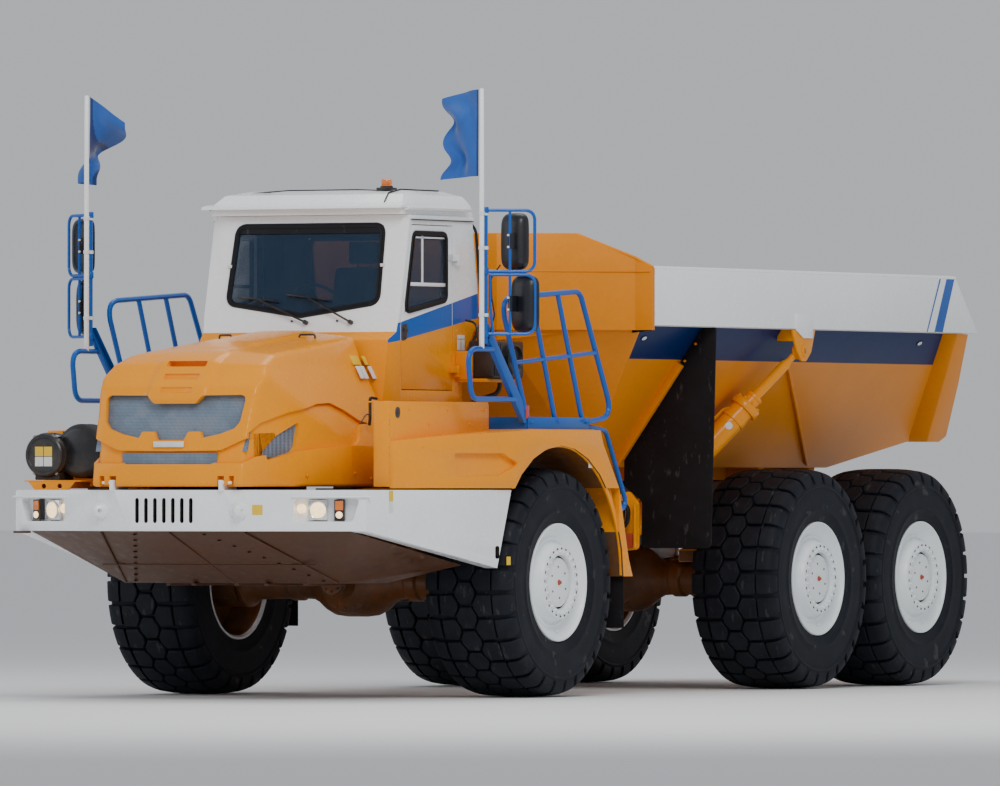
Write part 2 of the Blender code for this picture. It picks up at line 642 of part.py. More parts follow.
def hood_solid(inset):
    """The hood as one block: its side view, its plan and its front view taken together."""
    low = HOOD_HINGE[1] - 0.02 - (0.5 if inset else 0)
    rear = HOOD_REAR + (0.5 if inset else 0)
    side_view = [(-2.965 + inset, low), (-2.965 + inset, 1.66), (-2.90 + inset, 2.00), (-2.79 + inset, 2.36),
                 (-2.62 + inset, 2.54 - inset), (-2.42 + inset, 2.61 - inset),
                 (rear, 2.61 + HOOD_TOP_SLOPE * (rear + 2.42) - inset), (rear, low)]
    half_plan = [(0.60 - inset, -3.2), (0.68 - inset, -2.80), (0.85 - inset, -2.25), (HOOD_HALF_WIDTH - inset, -1.80),
                 (HOOD_HALF_WIDTH - inset, 0)]
    plan = half_plan + [(-x, y) for x, y in reversed(half_plan)]
    half_view = [(HOOD_HALF_WIDTH, low - 0.1), (HOOD_HALF_WIDTH, 1.92), (0.88, 2.12), (0.67, 2.52), (0.50, 2.95)]
    front_view = half_view + [(-x, z) for x, z in reversed(half_view)]
    front_view = [(x - math.copysign(inset, x), z) for x, z in front_view]
    return shared(prism(side_view, "X", -1, 1), prism(plan, "Z", 1, 3), prism(front_view, "Y", -3.3, 0))


GRILLE_OUTLINE = [(-0.13, 1.98), (0.13, 1.98), (0.30, 2.05), (0.57, 2.08), (0.60, 2.30), (-0.60, 2.30),
                  (-0.57, 2.08), (-0.30, 2.05)]


def build_hood():
    """The forward-tilting hood, a shell open below and behind, and the mesh in its nose."""
    shell = cut(hood_solid(0), hood_solid(0.035))
    shell = cut(shell, prism(GRILLE_OUTLINE, "Y", -3.2, -2.6))
    vents = [on_side(prism([(-2.46, 2.06), (-2.52, 1.86), (-2.80, 1.80), (-2.74, 1.98)], "X", 0.5, 1.0), side)
             for _, side in SIDES]
    shell = cut(shell, *vents)
    notches = [on_side(box((0.45, 0.575), (-3.0, -2.91), (1.60, HOOD_HINGE[1] + 0.045)), side) for _, side in SIDES]
    shell = cut(shell, *notches)
    lugs = []
    for _, side in SIDES:
        lugs.append(on_side(box((0.50, 0.54), (HOOD_HINGE[0] - 0.012, -2.86), (HOOD_HINGE[1] - 0.018, 1.72)), side))
    holes = [rod((-0.7, *HOOD_HINGE), (0.7, *HOOD_HINGE), bore_radius(0.012, 10), 10)]
    hood = cut(joined(shell, *lugs), *holes)
    publish("hood", hood, "orange_paint", pivot=(0, *HOOD_HINGE))
    face = [(-2.90 + 0.333 * (z - 2.0) + depth, z) for depth, z in
            ((0.008, 1.9), (0.008, 2.4), (0.03, 2.4), (0.03, 1.9))]
    opening = [(x - math.copysign(2 * GAP, x), z + (GAP if z < 2.2 else -2 * GAP)) for x, z in GRILLE_OUTLINE]
    publish("grille", shared(prism(face, "X", -1, 1), prism(opening, "Y", -3.2, -2.6)), "grey_mesh",
            pivot=(0, *HOOD_HINGE))


def build_engine():
    """The engine and its radiator as one plain block on the frame's mounts."""
    publish("engine_block", box((-0.40, 0.40), (-2.30, -1.20), (1.42 + GAP, 2.20)), "dark_steel")


def axle_solid(y, ends=AXLE_HALF_LENGTH):
    """A beam axle: tubes, the bowl around its gears and the flanges that carry the wheels."""
    profile = [(-ends, 0), (-ends, 0.20), (-ends + 0.06, 0.20), (-ends + 0.10, AXLE_TUBE_RADIUS),
               (-0.34, AXLE_TUBE_RADIUS), (-0.16, AXLE_BOWL_RADIUS), (0.16, AXLE_BOWL_RADIUS),
               (0.34, AXLE_TUBE_RADIUS), (ends - 0.10, AXLE_TUBE_RADIUS), (ends - 0.06, 0.20), (ends, 0.20), (ends, 0)]
    return turned(profile, 20, (0, y, TYRE_RADIUS), (1, 0, 0))


def build_front_axle():
    """The front axle with the struts that it hangs on and its radius arms."""
    parts = [axle_solid(0.0)]
    for _, side in SIDES:
        strut = rod((RAIL_HALF_SPACING, 0, TYRE_RADIUS), (RAIL_HALF_SPACING, 0, FRONT_RAIL_BOTTOM - GAP), 0.07, 12)
        arm = box((0.62, 0.72), (-0.75, 0.05), (0.96, 1.06))
        hanger = box((0.50, 0.70), (-0.73, -0.62), (1.00, FRONT_RAIL_BOTTOM - GAP))
        parts += [on_side(part, side) for part in (strut, arm, hanger)]
    publish("front_axle", joined(*parts), "frame_paint", smooth=True)


# ---------------------------------------------------------------- rails, mirrors and flags
DECK_TOP = 2.15
MIRROR_SEAT_Y = -0.985      # the rear face of the plate on each mirror frame
DECK_BOTTOM = FENDER_TOP + GAP


def build_handrails():
    """The blue step deck on each fender, with its stringer, rail loops, ladder and mirror frame."""
    for name, side in SIDES:
        x = RAIL_X
        deck = box((x - 0.42, x + 0.02), (-0.50, 0.50), (DECK_BOTTOM, DECK_TOP))
        loop = rounded_path([(x, -0.46, 2.10), (x, -0.90, 3.05), (x, 0.38, 3.12), (x, 0.92, 2.16), (x, 0.48, 2.11)], 0.10)
        uprights = [[(x, -0.40, 3.08), (x, -0.02, 2.12)], [(x, 0.02, 3.10), (x, 0.42, 2.12)]]
        middle = [(x, -0.68, 2.56), (x, 0.64, 2.65)]
        stringer = prism([(-1.15, 2.78), (-1.15, 2.84), (-1.11, 2.84), (-0.42, 2.12), (-0.52, 2.12)], "X", x - 0.03, x + 0.012)
        hoop = rounded_path([(x, -1.02, 2.66), (x, -1.42, 2.66), (x, -1.36, 2.28), (x, -0.66, 2.28)], 0.09)
        rung_x = x - 0.03
        ladder = rounded_path([(rung_x, 0.40, 2.095), (rung_x, 0.86, 2.05), (rung_x, 1.22, 1.46),
                               (rung_x, 1.02, 1.42)], 0.07)
        post = [(x, MIRROR_POST_Y, 2.66), (x, MIRROR_POST_Y, 3.735)]
        frame = rounded_path([(x, MIRROR_POST_Y, 3.72), (x + 0.315, -0.93, 3.72), (x + 0.315, -0.93, 2.78),
                              (x, MIRROR_POST_Y, 2.78)], 0.06)
        cross = [(x, MIRROR_POST_Y, 3.24), (x + 0.315, -0.93, 3.24)]
        plate = box((x + 0.13, x + 0.19), (-1.06, MIRROR_SEAT_Y), (3.215, 3.265))
        parts = [stringer, plate, tube(loop, RAIL_TUBE), tube(hoop, RAIL_TUBE), tube(ladder, RAIL_TUBE * 0.9),
                 tube(middle, RAIL_TUBE * 0.8), tube(post, RAIL_TUBE), tube(frame, 0.018), tube(cross, 0.017)]
        parts += [tube(upright, RAIL_TUBE) for upright in uprights]
        solid = joined(deck, *parts)
        publish("handrail_" + name, on_side(solid, side), "blue_paint")


MIRROR_HEIGHTS = (3.47, 2.98)


def build_mirrors():
    """Two mirror heads on each side, on one bar clamped in front of the mirror frame's middle tube."""
    for name, side in SIDES:
        middle = Vector((RAIL_X + 0.16, -1.035, 0))
        heads = []
        for height in MIRROR_HEIGHTS:
            head = turned([(-0.045, 0), (-0.045, 0.06), (-0.02, 0.095), (0.03, 0.105), (0.045, 0.09), (0.045, 0)],
                          16, (middle.x, middle.y + 0.115, height), (0.25, 1, 0))
            bmesh.ops.scale(head, vec=(1, 1, 1.95), space=Matrix.Translation((0, 0, -height)), verts=head.verts[:])
            heads.append(head)
        bar = box((middle.x - 0.012, middle.x + 0.012), (MIRROR_SEAT_Y + 0.012, MIRROR_SEAT_Y + 0.042), (2.85, 3.60))
        clamp = box((middle.x - 0.02, middle.x + 0.02), (MIRROR_SEAT_Y + GAP, MIRROR_SEAT_Y + 0.03), (3.22, 3.26))
        publish("mirrors_" + name, on_side(joined(bar, clamp, *heads), side), "black_plastic", smooth=True)


FLAG_HEIGHT = 0.66
FLAG_LENGTH = 0.42
POLE_RADIUS = 0.02


def build_flags():
    """A pole clipped in front of each mirror frame and the flag that it flies, as a plain thin solid."""
    for name, side in SIDES:
        y = POLE_Y
        pole = rod((RAIL_X, y, POLE_BOTTOM), (RAIL_X, y, POLE_TOP), POLE_RADIUS, 12)
        clips = [box((RAIL_X - 0.012, RAIL_X + 0.012), (y + 0.01, MIRROR_POST_Y - 0.966 * RAIL_TUBE - GAP), (z, z + 0.03))
                 for z in (2.90, 3.40, 3.66)]
        publish("flag_pole_" + name, on_side(joined(pole, *clips), side), "white_paint")
        flag = box((RAIL_X - POLE_RADIUS - GAP - FLAG_LENGTH, RAIL_X - POLE_RADIUS - GAP),
                   (y - 0.05, y + 0.05), (POLE_TOP - FLAG_HEIGHT - 0.01, POLE_TOP - 0.01))
        publish("flag_" + name, on_side(flag, side), "flag_cloth")


# ---------------------------------------------------------------- hitch and steering
def build_hitch():
    """The yoke between the units: an upright pin through the front fork and a tube that rolls in the rear frame."""
    low, high = 0.84 + CLEAR, 1.46 - CLEAR
    block = box((-0.17, 0.17), (HITCH_Y - 0.14, HITCH_Y + 0.30), (low, high))
    block = cut(block, box((-0.3, -0.10), (HITCH_Y - 0.2, HITCH_Y - 0.05), (0, 2)),
                box((0.10, 0.3), (HITCH_Y - 0.2, HITCH_Y - 0.05), (0, 2)))
    pin = rod((0, HITCH_Y, 0.745), (0, HITCH_Y, 1.60), HITCH_PIN_RADIUS, 24)
    cap = rod((0, HITCH_Y, 1.56 + GAP), (0, HITCH_Y, 1.60), 0.09, 16)
    spindle = rod((0, HITCH_Y + 0.28, HITCH_Z), (0, HITCH_Y + 0.90, HITCH_Z), ROLL_TUBE_RADIUS, 28,
                  phase=math.pi / 28)
    ears = box((-STEER_EYE[0] - 0.06, STEER_EYE[0] + 0.06), (STEER_EYE[1] - 0.05, STEER_EYE[1] + 0.16),
               (STEER_EYE[2] + 0.05, STEER_EYE[2] + 0.09))
    publish("hitch_yoke", joined(block, pin, cap, spindle, ears), "frame_paint", pivot=(0, HITCH_Y, HITCH_Z))


def build_steering_cylinders():
    """A barrel on the front frame and a rod to the yoke's ear, on each side."""
    for name, side in SIDES:
        base, eye = Vector(STEER_BASE), Vector(STEER_EYE)
        length = (eye - base).length
        bore = STEER_RADII["rod"] + GAP
        along = eye - base
        barrel = turned([(0.05, 0.0), (0.05, STEER_RADII["barrel"]), (STEER_GLAND, STEER_RADII["barrel"]),
                         (STEER_GLAND, bore), (STEER_BORE_START, bore), (STEER_BORE_START, 0.0)], 16, base, along)
        collar = rod((base.x, base.y, base.z - 0.045), (base.x, base.y, base.z + 0.045), 0.06, 16)
        solid = cut(joined(barrel, collar), rod((base.x, base.y, base.z - 0.1), (base.x, base.y, base.z + 0.1),
                                                bore_radius(0.022, 16), 16))
        publish("steer_barrel_" + name, on_side(solid, side), "orange_paint",
                pivot=(side * base.x, base.y, base.z))
        shaft = rod(base + along * (STEER_ROD_START / length), eye, STEER_RADII["rod"], 16)
        ring = rod((eye.x, eye.y, eye.z - 0.04), (eye.x, eye.y, eye.z + 0.04), 0.06, 16)
        publish("steer_rod_" + name, on_side(joined(shaft, ring), side), "chromed_rod",
                pivot=(side * base.x, base.y, base.z), smooth=True)


# ---------------------------------------------------------------- rear unit
REAR_RAIL_TOP = 1.66
REAR_RAIL_BOTTOM = 1.36
NECK_BOTTOM, NECK_TOP = 0.86, 1.44


def build_rear_frame():
    """Rails that rise over the axles, the sleeve around the yoke's spindle, and the hoist and body pins."""
    rail_view = [(2.20, NECK_BOTTOM), (2.20, NECK_TOP), (3.05, NECK_TOP), (3.60, REAR_RAIL_TOP),
                 (BODY_PIVOT_Y + 0.10, REAR_RAIL_TOP), (BODY_PIVOT_Y + 0.10, REAR_RAIL_BOTTOM), (3.80, REAR_RAIL_BOTTOM),
                 (3.20, NECK_BOTTOM)]
    inner, outer = 0.36, 0.48
    parts = [on_side(prism(rail_view, "X", inner, outer), side) for _, side in SIDES]
    neck = prism([(-0.20, 1.72), (0.20, 1.72), (outer, 2.22), (outer, 2.40), (-outer, 2.40), (-outer, 2.22)], "Z",
                 NECK_BOTTOM + 0.01, NECK_TOP - 0.01)
    parts.append(neck)
    for y in (3.30, 4.95, 6.10):
        low = 1.00 if y < 3.5 else REAR_RAIL_BOTTOM + 0.02
        parts.append(box((-outer + 0.01, outer - 0.01), (y, y + 0.16), (low, low + 0.22)))
    parts.append(rod((-0.60, BODY_PIVOT_Y, BODY_PIVOT_Z), (0.60, BODY_PIVOT_Y, BODY_PIVOT_Z), BODY_PIN_RADIUS, 24))
    frame = joined(*parts)
    sleeve_bore = rod((0, 1.60, HITCH_Z), (0, HITCH_Y + 0.90 + CLEAR, HITCH_Z), bore_radius(ROLL_TUBE_RADIUS, 28), 28)
    frame = cut(frame, sleeve_bore)
    pins = []
    for _, side in SIDES:
        base = Vector(HOIST_BASE)
        pins.append(on_side(rod((outer - 0.02, base.y, base.z), base, 0.034, 12), side))
        pins.append(on_side(ball(base, HOIST_BALL), side))
    publish("rear_frame", joined(frame, *pins), "frame_paint", pivot=(0, HITCH_Y, HITCH_Z))


def build_rear_axles():
    for name, y in AXLES[1:]:
        publish(name + "_axle", axle_solid(y), "frame_paint", smooth=True)


def build_walking_beams():
    """The beams that rest on both rear axles and the tube under the rails that they hang on."""
    seat = TYRE_RADIUS + AXLE_TUBE_RADIUS + GAP
    middle_y = WHEELBASE + BOGIE_SPREAD / 2
    view = [(WHEELBASE - 0.16, seat), (WHEELBASE - 0.16, seat + 0.10), (middle_y - 0.30, seat + 0.24),
            (middle_y + 0.30, seat + 0.24), (WHEELBASE + BOGIE_SPREAD + 0.16, seat + 0.10),
            (WHEELBASE + BOGIE_SPREAD + 0.16, seat)]
    trunnion_radius = 0.075
    beams = [on_side(prism(view, "X", 0.58, 0.74), side) for _, side in SIDES]
    tube_z = REAR_RAIL_BOTTOM - GAP - trunnion_radius * math.cos(math.pi / 16)
    trunnion = rod((-0.76, middle_y, tube_z), (0.76, middle_y, tube_z), trunnion_radius, 16, phase=math.pi / 16)
    publish("walking_beams", joined(trunnion, *beams), "frame_paint")


# ---------------------------------------------------------------- dump body
def wall_x(z):
    """Half the width of the body's sloping wall at a height."""
    return BODY_BAND_HALF_WIDTH - BODY_WALL_SLOPE * (BODY_BAND_TOP - z)


def tail_y(z):
    """Where the body's raked tail ends at a height."""
    return BODY_TAIL_TOP + TAIL_RAKE * (BODY_BAND_TOP - z)


def trough(inset):
    """The body's outer shape, or with an inset the room inside it, open above and behind."""
    rise = 0.8 if inset else 0
    floor = BODY_FLOOR + inset
    tail_floor = TAIL_FLOOR_END_Z + inset
    side = inset * math.hypot(1, BODY_WALL_SLOPE)
    front_floor = 2.22 + (inset if inset else 0)
    top = BODY_BAND_TOP + rise
    out = 0.6 if inset else 0
    tail_floor += out * (TAIL_FLOOR_END_Z - BODY_FLOOR) / (tail_y(TAIL_FLOOR_END_Z) - TAIL_FLOOR_START)
    half = {
        "floor_front": (wall_x(floor) - side, front_floor, floor),
        "floor_bend": (wall_x(floor) - side, TAIL_FLOOR_START, floor),
        "floor_tail": (wall_x(tail_floor) - side, tail_y(TAIL_FLOOR_END_Z) + out, tail_floor),
        "top_tail": (wall_x(top) - side, BODY_TAIL_TOP + out - (TAIL_RAKE * rise if inset else 0), top),
        "top_front": (wall_x(top) - side, BODY_FRONT + inset, top),
        "nose": (HEADBOARD_HALF_WIDTH, HEADBOARD_FRONT + 0.01 + 1.6 * inset - 1.2 * rise, HEADBOARD_BOTTOM + rise),
    }
    names = list(half)
    points = [half[name] for name in names] + [(-half[name][0],) + half[name][1:] for name in names]
    left = {name: index for index, name in enumerate(names)}
    right = {name: index + len(names) for index, name in enumerate(names)}
    faces = []
    for side_index in (left, right):
        faces += [[side_index[name] for name in ("floor_front", "floor_bend", "top_front")],
                  [side_index[name] for name in ("floor_bend", "floor_tail", "top_tail")],
                  [side_index[name] for name in ("floor_bend", "top_tail", "top_front")],
                  [side_index[name] for name in ("nose", "floor_front", "top_front")]]
    loops = (("nose", "floor_front"), ("floor_front", "floor_bend"), ("floor_bend", "floor_tail"),
             ("floor_tail", "top_tail"), ("top_tail", "top_front"), ("top_front", "nose"))
    for first, second in loops:
        faces.append([left[first], left[second], right[second], right[first]])
    return mesh_of(points, faces)


def build_dump_tub():
    """The sloping tub with its raked tail, the headboard, the floor beams and the pivot lugs."""
    tub = cut(trough(0), trough(BODY_WALL))
    lean = HEADBOARD_WALL * 1.35
    front, rear = HEADBOARD_FRONT, BODY_FRONT - GAP
    half = HEADBOARD_HALF_WIDTH
    wide = BOARD_HALF_WIDTH
    elbow = BODY_BAND_HALF_WIDTH - 0.02
    half_plan = [(half, front), (elbow, rear - 0.042), (wide, rear - 0.042), (wide, rear), (elbow - 0.05, rear),
                 (half - lean / 3, front + HEADBOARD_WALL)]
    shield_plan = half_plan + [(-x, y) for x, y in reversed(half_plan)]
    shield = prism(shield_plan, "Z", HEADBOARD_BOTTOM, HEADBOARD_TOP)
    peak = 1.24
    crown = [(-2, 2.5), (2, 2.5), (2, BOARD_TOP - 0.13), (BOARD_HALF_WIDTH, BOARD_TOP), (peak, HEADBOARD_TOP),
             (-peak, HEADBOARD_TOP), (-BOARD_HALF_WIDTH, BOARD_TOP), (-2, BOARD_TOP - 0.13)]
    shield = shared(shield, prism(crown, "Y", 0, 3))
    beams = [on_side(box((0.34, 0.50), (2.60, 6.30), (REAR_RAIL_TOP + 0.01, BODY_FLOOR + 0.01)), side) for _, side in SIDES]
    lug_view = [(BODY_PIVOT_Y - 0.10, BODY_PIVOT_Z - 0.08), (BODY_PIVOT_Y + 0.10, BODY_PIVOT_Z - 0.08),
                (BODY_PIVOT_Y + 0.14, 1.87), (BODY_PIVOT_Y - 0.30, 1.81)]
    lugs = [on_side(prism(lug_view, "X", 0.49, 0.57), side) for _, side in SIDES]
    tub = joined(tub, shield, *beams, *lugs)
    pin_hole = rod((-1, BODY_PIVOT_Y, BODY_PIVOT_Z), (1, BODY_PIVOT_Y, BODY_PIVOT_Z), bore_radius(BODY_PIN_RADIUS, 24), 24)
    publish("dump_tub", cut(tub, pin_hole), "orange_paint", pivot=(0, BODY_PIVOT_Y, BODY_PIVOT_Z))


def build_side_boards():
    """The white upper boards, with the cup under each that the ball on the hoist rod works in."""
    low = BODY_BAND_TOP + GAP
    view = [(BODY_FRONT, low), (BODY_FRONT, BOARD_TOP), (tail_y(BOARD_TOP), BOARD_TOP), (tail_y(low), low)]
    eye = Vector(HOIST_EYE)
    for name, side in SIDES:
        board = prism(view, "X", BOARD_HALF_WIDTH - BOARD_WALL, BOARD_HALF_WIDTH)
        cup = rod((eye.x, eye.y, eye.z + 0.02), (eye.x, eye.y, low + 0.03), HOIST_BALL + 0.012, 16)
        board = cut(joined(board, cup), ball(eye, CUP_RADIUS, CUP_SEGMENTS))
        publish("side_board_" + name, on_side(board, side), "white_paint", pivot=(0, BODY_PIVOT_Y, BODY_PIVOT_Z))


FLAP_Y, FLAP_THICKNESS = 2.64, 0.02


def build_mud_flaps():
    """The rubber sheets in front of the middle wheels, cut to the body's sloping wall."""
    margin = 0.004
    slope_low = 1.90
    outline = [(1.08, 1.13), (1.76, 1.13), (1.74, BODY_BAND_TOP), (wall_x(BODY_BAND_TOP) + margin, BODY_BAND_TOP),
               (wall_x(slope_low) + margin, slope_low), (1.0, 1.55)]
    for name, side in SIDES:
        flap = prism(outline, "Y", FLAP_Y, FLAP_Y + FLAP_THICKNESS)
        publish("mud_flap_" + name, on_side(flap, side), "rubber", pivot=(0, BODY_PIVOT_Y, BODY_PIVOT_Z))


# ---------------------------------------------------------------- hoist cylinders
def ball(centre, radius, segments=12):
    """A faceted ball."""
    steps = segments // 2
    profile = [(-radius * math.cos(math.pi * step / steps), radius * math.sin(math.pi * step / steps))
               for step in range(steps + 1)]
    profile[0], profile[-1] = (-radius, 0), (radius, 0)
    return turned(profile, segments, centre, (0, 0, 1))


CUP_SEGMENTS = 20
CUP_RADIUS = (HOIST_BALL + GAP) / math.cos(math.pi / CUP_SEGMENTS) ** 2     # its flats clear the ball's corners


def build_hoists():
    """Two-stage hoist cylinders: a barrel on the frame's ball, a sleeve in it and a rod with a ball in the sleeve."""
    base, eye = Vector(HOIST_BASE), Vector(HOIST_EYE)
    along = eye - base
    length = along.length
    barrel_r, sleeve_r, rod_r = (HOIST_RADII[name] for name in ("barrel", "sleeve", "rod"))
    start, gland = HOIST_STROKE_START, HOIST_GLAND
    for name, side in SIDES:
        barrel = turned([(0.03, 0), (0.03, barrel_r), (gland - 0.07, barrel_r), (gland - 0.07, barrel_r + 0.018),
                         (gland, barrel_r + 0.018), (gland, sleeve_r + GAP), (start, sleeve_r + GAP), (start, 0)],
                        16, base, along)
        barrel = cut(barrel, ball(base, CUP_RADIUS, CUP_SEGMENTS))
        publish("hoist_barrel_" + name, on_side(barrel, side), "orange_paint",
                pivot=(side * base.x, base.y, base.z), smooth=True)
        sleeve = turned([(start + 0.004, rod_r + GAP), (start + 0.004, sleeve_r), (gland + 0.08, sleeve_r),
                         (gland + 0.08, rod_r + GAP)], 16, base, along)
        publish("hoist_sleeve_" + name, on_side(sleeve, side), "orange_paint",
                pivot=(side * base.x, base.y, base.z), smooth=True)
        shaft = turned([(start + 0.02, 0), (start + 0.02, rod_r), (length, rod_r), (length, 0)], 16, base, along)
        publish("hoist_rod_" + name, on_side(joined(shaft, ball(eye, HOIST_BALL)), side), "orange_paint",
                pivot=(side * base.x, base.y, base.z), smooth=True)


# ---------------------------------------------------------------- wheels
def build_wheels():
    """Six tyres and their rims, each with its origin at its hub."""
    segments = 24
    flat = math.pi / segments
    outer = TYRE_RADIUS / math.cos(flat)
    half = TYRE_WIDTH / 2
    tyre_profile = [(-half + 0.03, RIM_RADIUS), (-half, 0.62), (-half, outer - 0.10), (-half + 0.08, outer),
                    (half - 0.08, outer), (half, outer - 0.10), (half, 0.62), (half - 0.03, RIM_RADIUS)]
    seat = RIM_RADIUS - GAP
    hub = AXLE_HALF_LENGTH + GAP - TRACK / 2
    rim_profile = [(hub, 0), (hub, 0.20), (-0.06, 0.20), (-0.06, 0.42), (-half + 0.04, 0.42), (-half + 0.04, seat),
                   (half - 0.04, seat), (half - 0.06, 0.41), (half - 0.07, 0.30), (half - 0.02, 0.26),
                   (half + 0.01, 0.24), (half + 0.01, 0)]
    for axle, y in AXLES:
        for name, side in SIDES:
            centre = (side * TRACK / 2, y, TYRE_RADIUS)
            direction = (side, 0, 0)
            tyre = turned(tyre_profile, segments, centre, direction, phase=flat)
            publish("tyre_" + axle + "_" + name, tyre, "tyre_rubber", pivot=centre, smooth=True)
            rim = turned(rim_profile, segments, centre, direction, phase=flat)
            publish("rim_" + axle + "_" + name, rim, "white_paint", pivot=centre, smooth=True)


def main():
    for old in list(bpy.data.objects):
        bpy.data.objects.remove(old)
    build_bumper()
    build_belly_plate()
    build_front_frame()
    build_fenders()
    build_side_boxes()
    build_air_cleaner()
    build_cab_shell()
    build_doors()
    build_cab_roof()
    build_windshield()
    build_cab_inside()
    build_hood()
    build_engine()
    build_front_axle()
    build_handrails()
    build_mirrors()
    build_flags()
    build_hitch()
    build_steering_cylinders()
    build_rear_frame()
    build_rear_axles()
    build_walking_beams()
    build_dump_tub()
    build_side_boards()
    build_mud_flaps()
    build_hoists()
    build_wheels()


main()
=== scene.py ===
"""The finish of an articulated dump truck: paint, glass, rubber and fittings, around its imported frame."""

import json  # noqa: E402
import logging  # noqa: E402
import math  # noqa: E402
from collections.abc import Callable, Iterator, Sequence  # noqa: E402
from contextlib import contextmanager  # noqa: E402
from dataclasses import dataclass  # noqa: E402
from enum import Enum  # noqa: E402

import bmesh  # noqa: E402
import bpy  # noqa: E402
from mathutils import Matrix, Vector  # noqa: E402

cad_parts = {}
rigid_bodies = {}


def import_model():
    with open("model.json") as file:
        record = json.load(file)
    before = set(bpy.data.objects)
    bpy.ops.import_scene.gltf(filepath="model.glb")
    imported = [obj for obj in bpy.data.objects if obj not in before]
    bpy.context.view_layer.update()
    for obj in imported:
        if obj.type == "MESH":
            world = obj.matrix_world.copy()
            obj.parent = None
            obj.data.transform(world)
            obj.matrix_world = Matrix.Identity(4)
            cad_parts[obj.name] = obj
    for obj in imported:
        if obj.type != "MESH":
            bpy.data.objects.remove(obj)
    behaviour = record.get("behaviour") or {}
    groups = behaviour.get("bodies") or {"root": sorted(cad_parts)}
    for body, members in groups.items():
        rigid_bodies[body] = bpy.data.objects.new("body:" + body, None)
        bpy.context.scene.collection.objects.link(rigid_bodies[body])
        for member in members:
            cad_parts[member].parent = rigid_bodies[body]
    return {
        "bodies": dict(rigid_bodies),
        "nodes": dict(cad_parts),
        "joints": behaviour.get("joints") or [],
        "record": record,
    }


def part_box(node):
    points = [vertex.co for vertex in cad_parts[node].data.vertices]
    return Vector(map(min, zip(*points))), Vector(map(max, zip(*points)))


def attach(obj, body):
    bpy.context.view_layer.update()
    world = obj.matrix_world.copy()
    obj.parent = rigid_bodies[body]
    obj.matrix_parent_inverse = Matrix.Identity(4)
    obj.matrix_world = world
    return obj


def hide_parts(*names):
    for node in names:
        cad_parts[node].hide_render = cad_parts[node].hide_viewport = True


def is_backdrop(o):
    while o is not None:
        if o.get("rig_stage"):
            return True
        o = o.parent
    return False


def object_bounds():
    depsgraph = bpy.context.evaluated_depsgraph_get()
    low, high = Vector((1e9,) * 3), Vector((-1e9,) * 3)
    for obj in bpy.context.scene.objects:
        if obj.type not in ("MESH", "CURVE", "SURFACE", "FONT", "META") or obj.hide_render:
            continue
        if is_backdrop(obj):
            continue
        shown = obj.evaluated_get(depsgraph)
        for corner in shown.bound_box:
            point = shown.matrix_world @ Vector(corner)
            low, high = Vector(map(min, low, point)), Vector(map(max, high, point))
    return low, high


LOG = logging.getLogger("truck")
Colour = tuple[float, float, float]
Point = tuple[float, float, float]
Outline = Sequence[tuple[float, float]]
ORIGIN: Point = (0, 0, 0)
ACROSS: Point = (1, 0, 0)
ALONG: Point = (0, 1, 0)
UP: Point = (0, 0, 1)
WELD = 0.00005
FINE_WELD = 0.00002


class Side(Enum):
    """The truck's two sides, seen from its driver's seat."""

    LEFT = 1
    RIGHT = -1

    @property
    def word(self) -> str:
        """The side as it stands in names."""
        return self.name.lower()


class Along(Enum):
    """The axis that an outline is pushed along, and where its two values go."""

    X = "x"
    Y = "y"
    Z = "z"

    def lift(self, depth: float, u: float, v: float) -> Vector:
        """A point at a depth along the axis.

        Args:
            depth: The place along this axis.
            u: The first of the outline's two values.
            v: The second of them.

        Returns:
            The point in space.
        """
        return {"x": Vector((depth, u, v)), "y": Vector((u, depth, v)), "z": Vector((u, v, depth))}[self.value]

    @property
    def vector(self) -> Vector:
        """The axis as a unit vector."""
        return self.lift(1.0, 0.0, 0.0)


# ---------------------------------------------------------------- shaders
class Signal:
    """One socket of a material, with arithmetic on it."""

    def __init__(self, board: "Board", socket: bpy.types.NodeSocket) -> None:
        """Wraps a socket of a board."""
        self.board = board
        self.socket = socket

    def _with(self, operation: str, first: object, second: object, clamp: bool = False) -> "Signal":
        """Adds one Math node.

        Args:
            operation: The node's operation.
            first: A signal or a number.
            second: A signal or a number.
            clamp: Whether the result is kept between 0 and 1.

        Returns:
            The node's result.
        """
        return self.board.node("ShaderNodeMath", {"operation": operation, "use_clamp": clamp}, {0: first, 1: second})

    def __add__(self, other: object) -> "Signal":
        """The sum."""
        return self._with("ADD", self, other)

    __radd__ = __add__

    def __sub__(self, other: object) -> "Signal":
        """The difference."""
        return self._with("SUBTRACT", self, other)

    def __rsub__(self, other: object) -> "Signal":
        """A number less this signal."""
        return self._with("SUBTRACT", other, self)

    def __mul__(self, other: object) -> "Signal":
        """The product."""
        return self._with("MULTIPLY", self, other)

    __rmul__ = __mul__

    def __pow__(self, other: object) -> "Signal":
        """This signal raised to a power."""
        return self._with("POWER", self, other)

    def most(self, other: object) -> "Signal":
        """The larger of two signals."""
        return self._with("MAXIMUM", self, other)

    def least(self, other: object) -> "Signal":
        """The smaller of two signals."""
        return self._with("MINIMUM", self, other)

    def clip(self) -> "Signal":
        """The signal kept between 0 and 1."""
        return self._with("ADD", self, 0.0, clamp=True)

    def between(self, low: float, high: float) -> "Signal":
        """A smooth step.

        Args:
            low: Where the step starts. It may be above high, and then the step falls.
            high: Where the step ends.

        Returns:
            0 before low, 1 after high and a smooth rise between them.
        """
        start, end, flip = (low, high, False) if low < high else (high, low, True)
        step = self.board.node("ShaderNodeMapRange", {"interpolation_type": "SMOOTHSTEP"},
                               {"Value": self, "From Min": start, "From Max": end})
        return 1.0 - step if flip else step


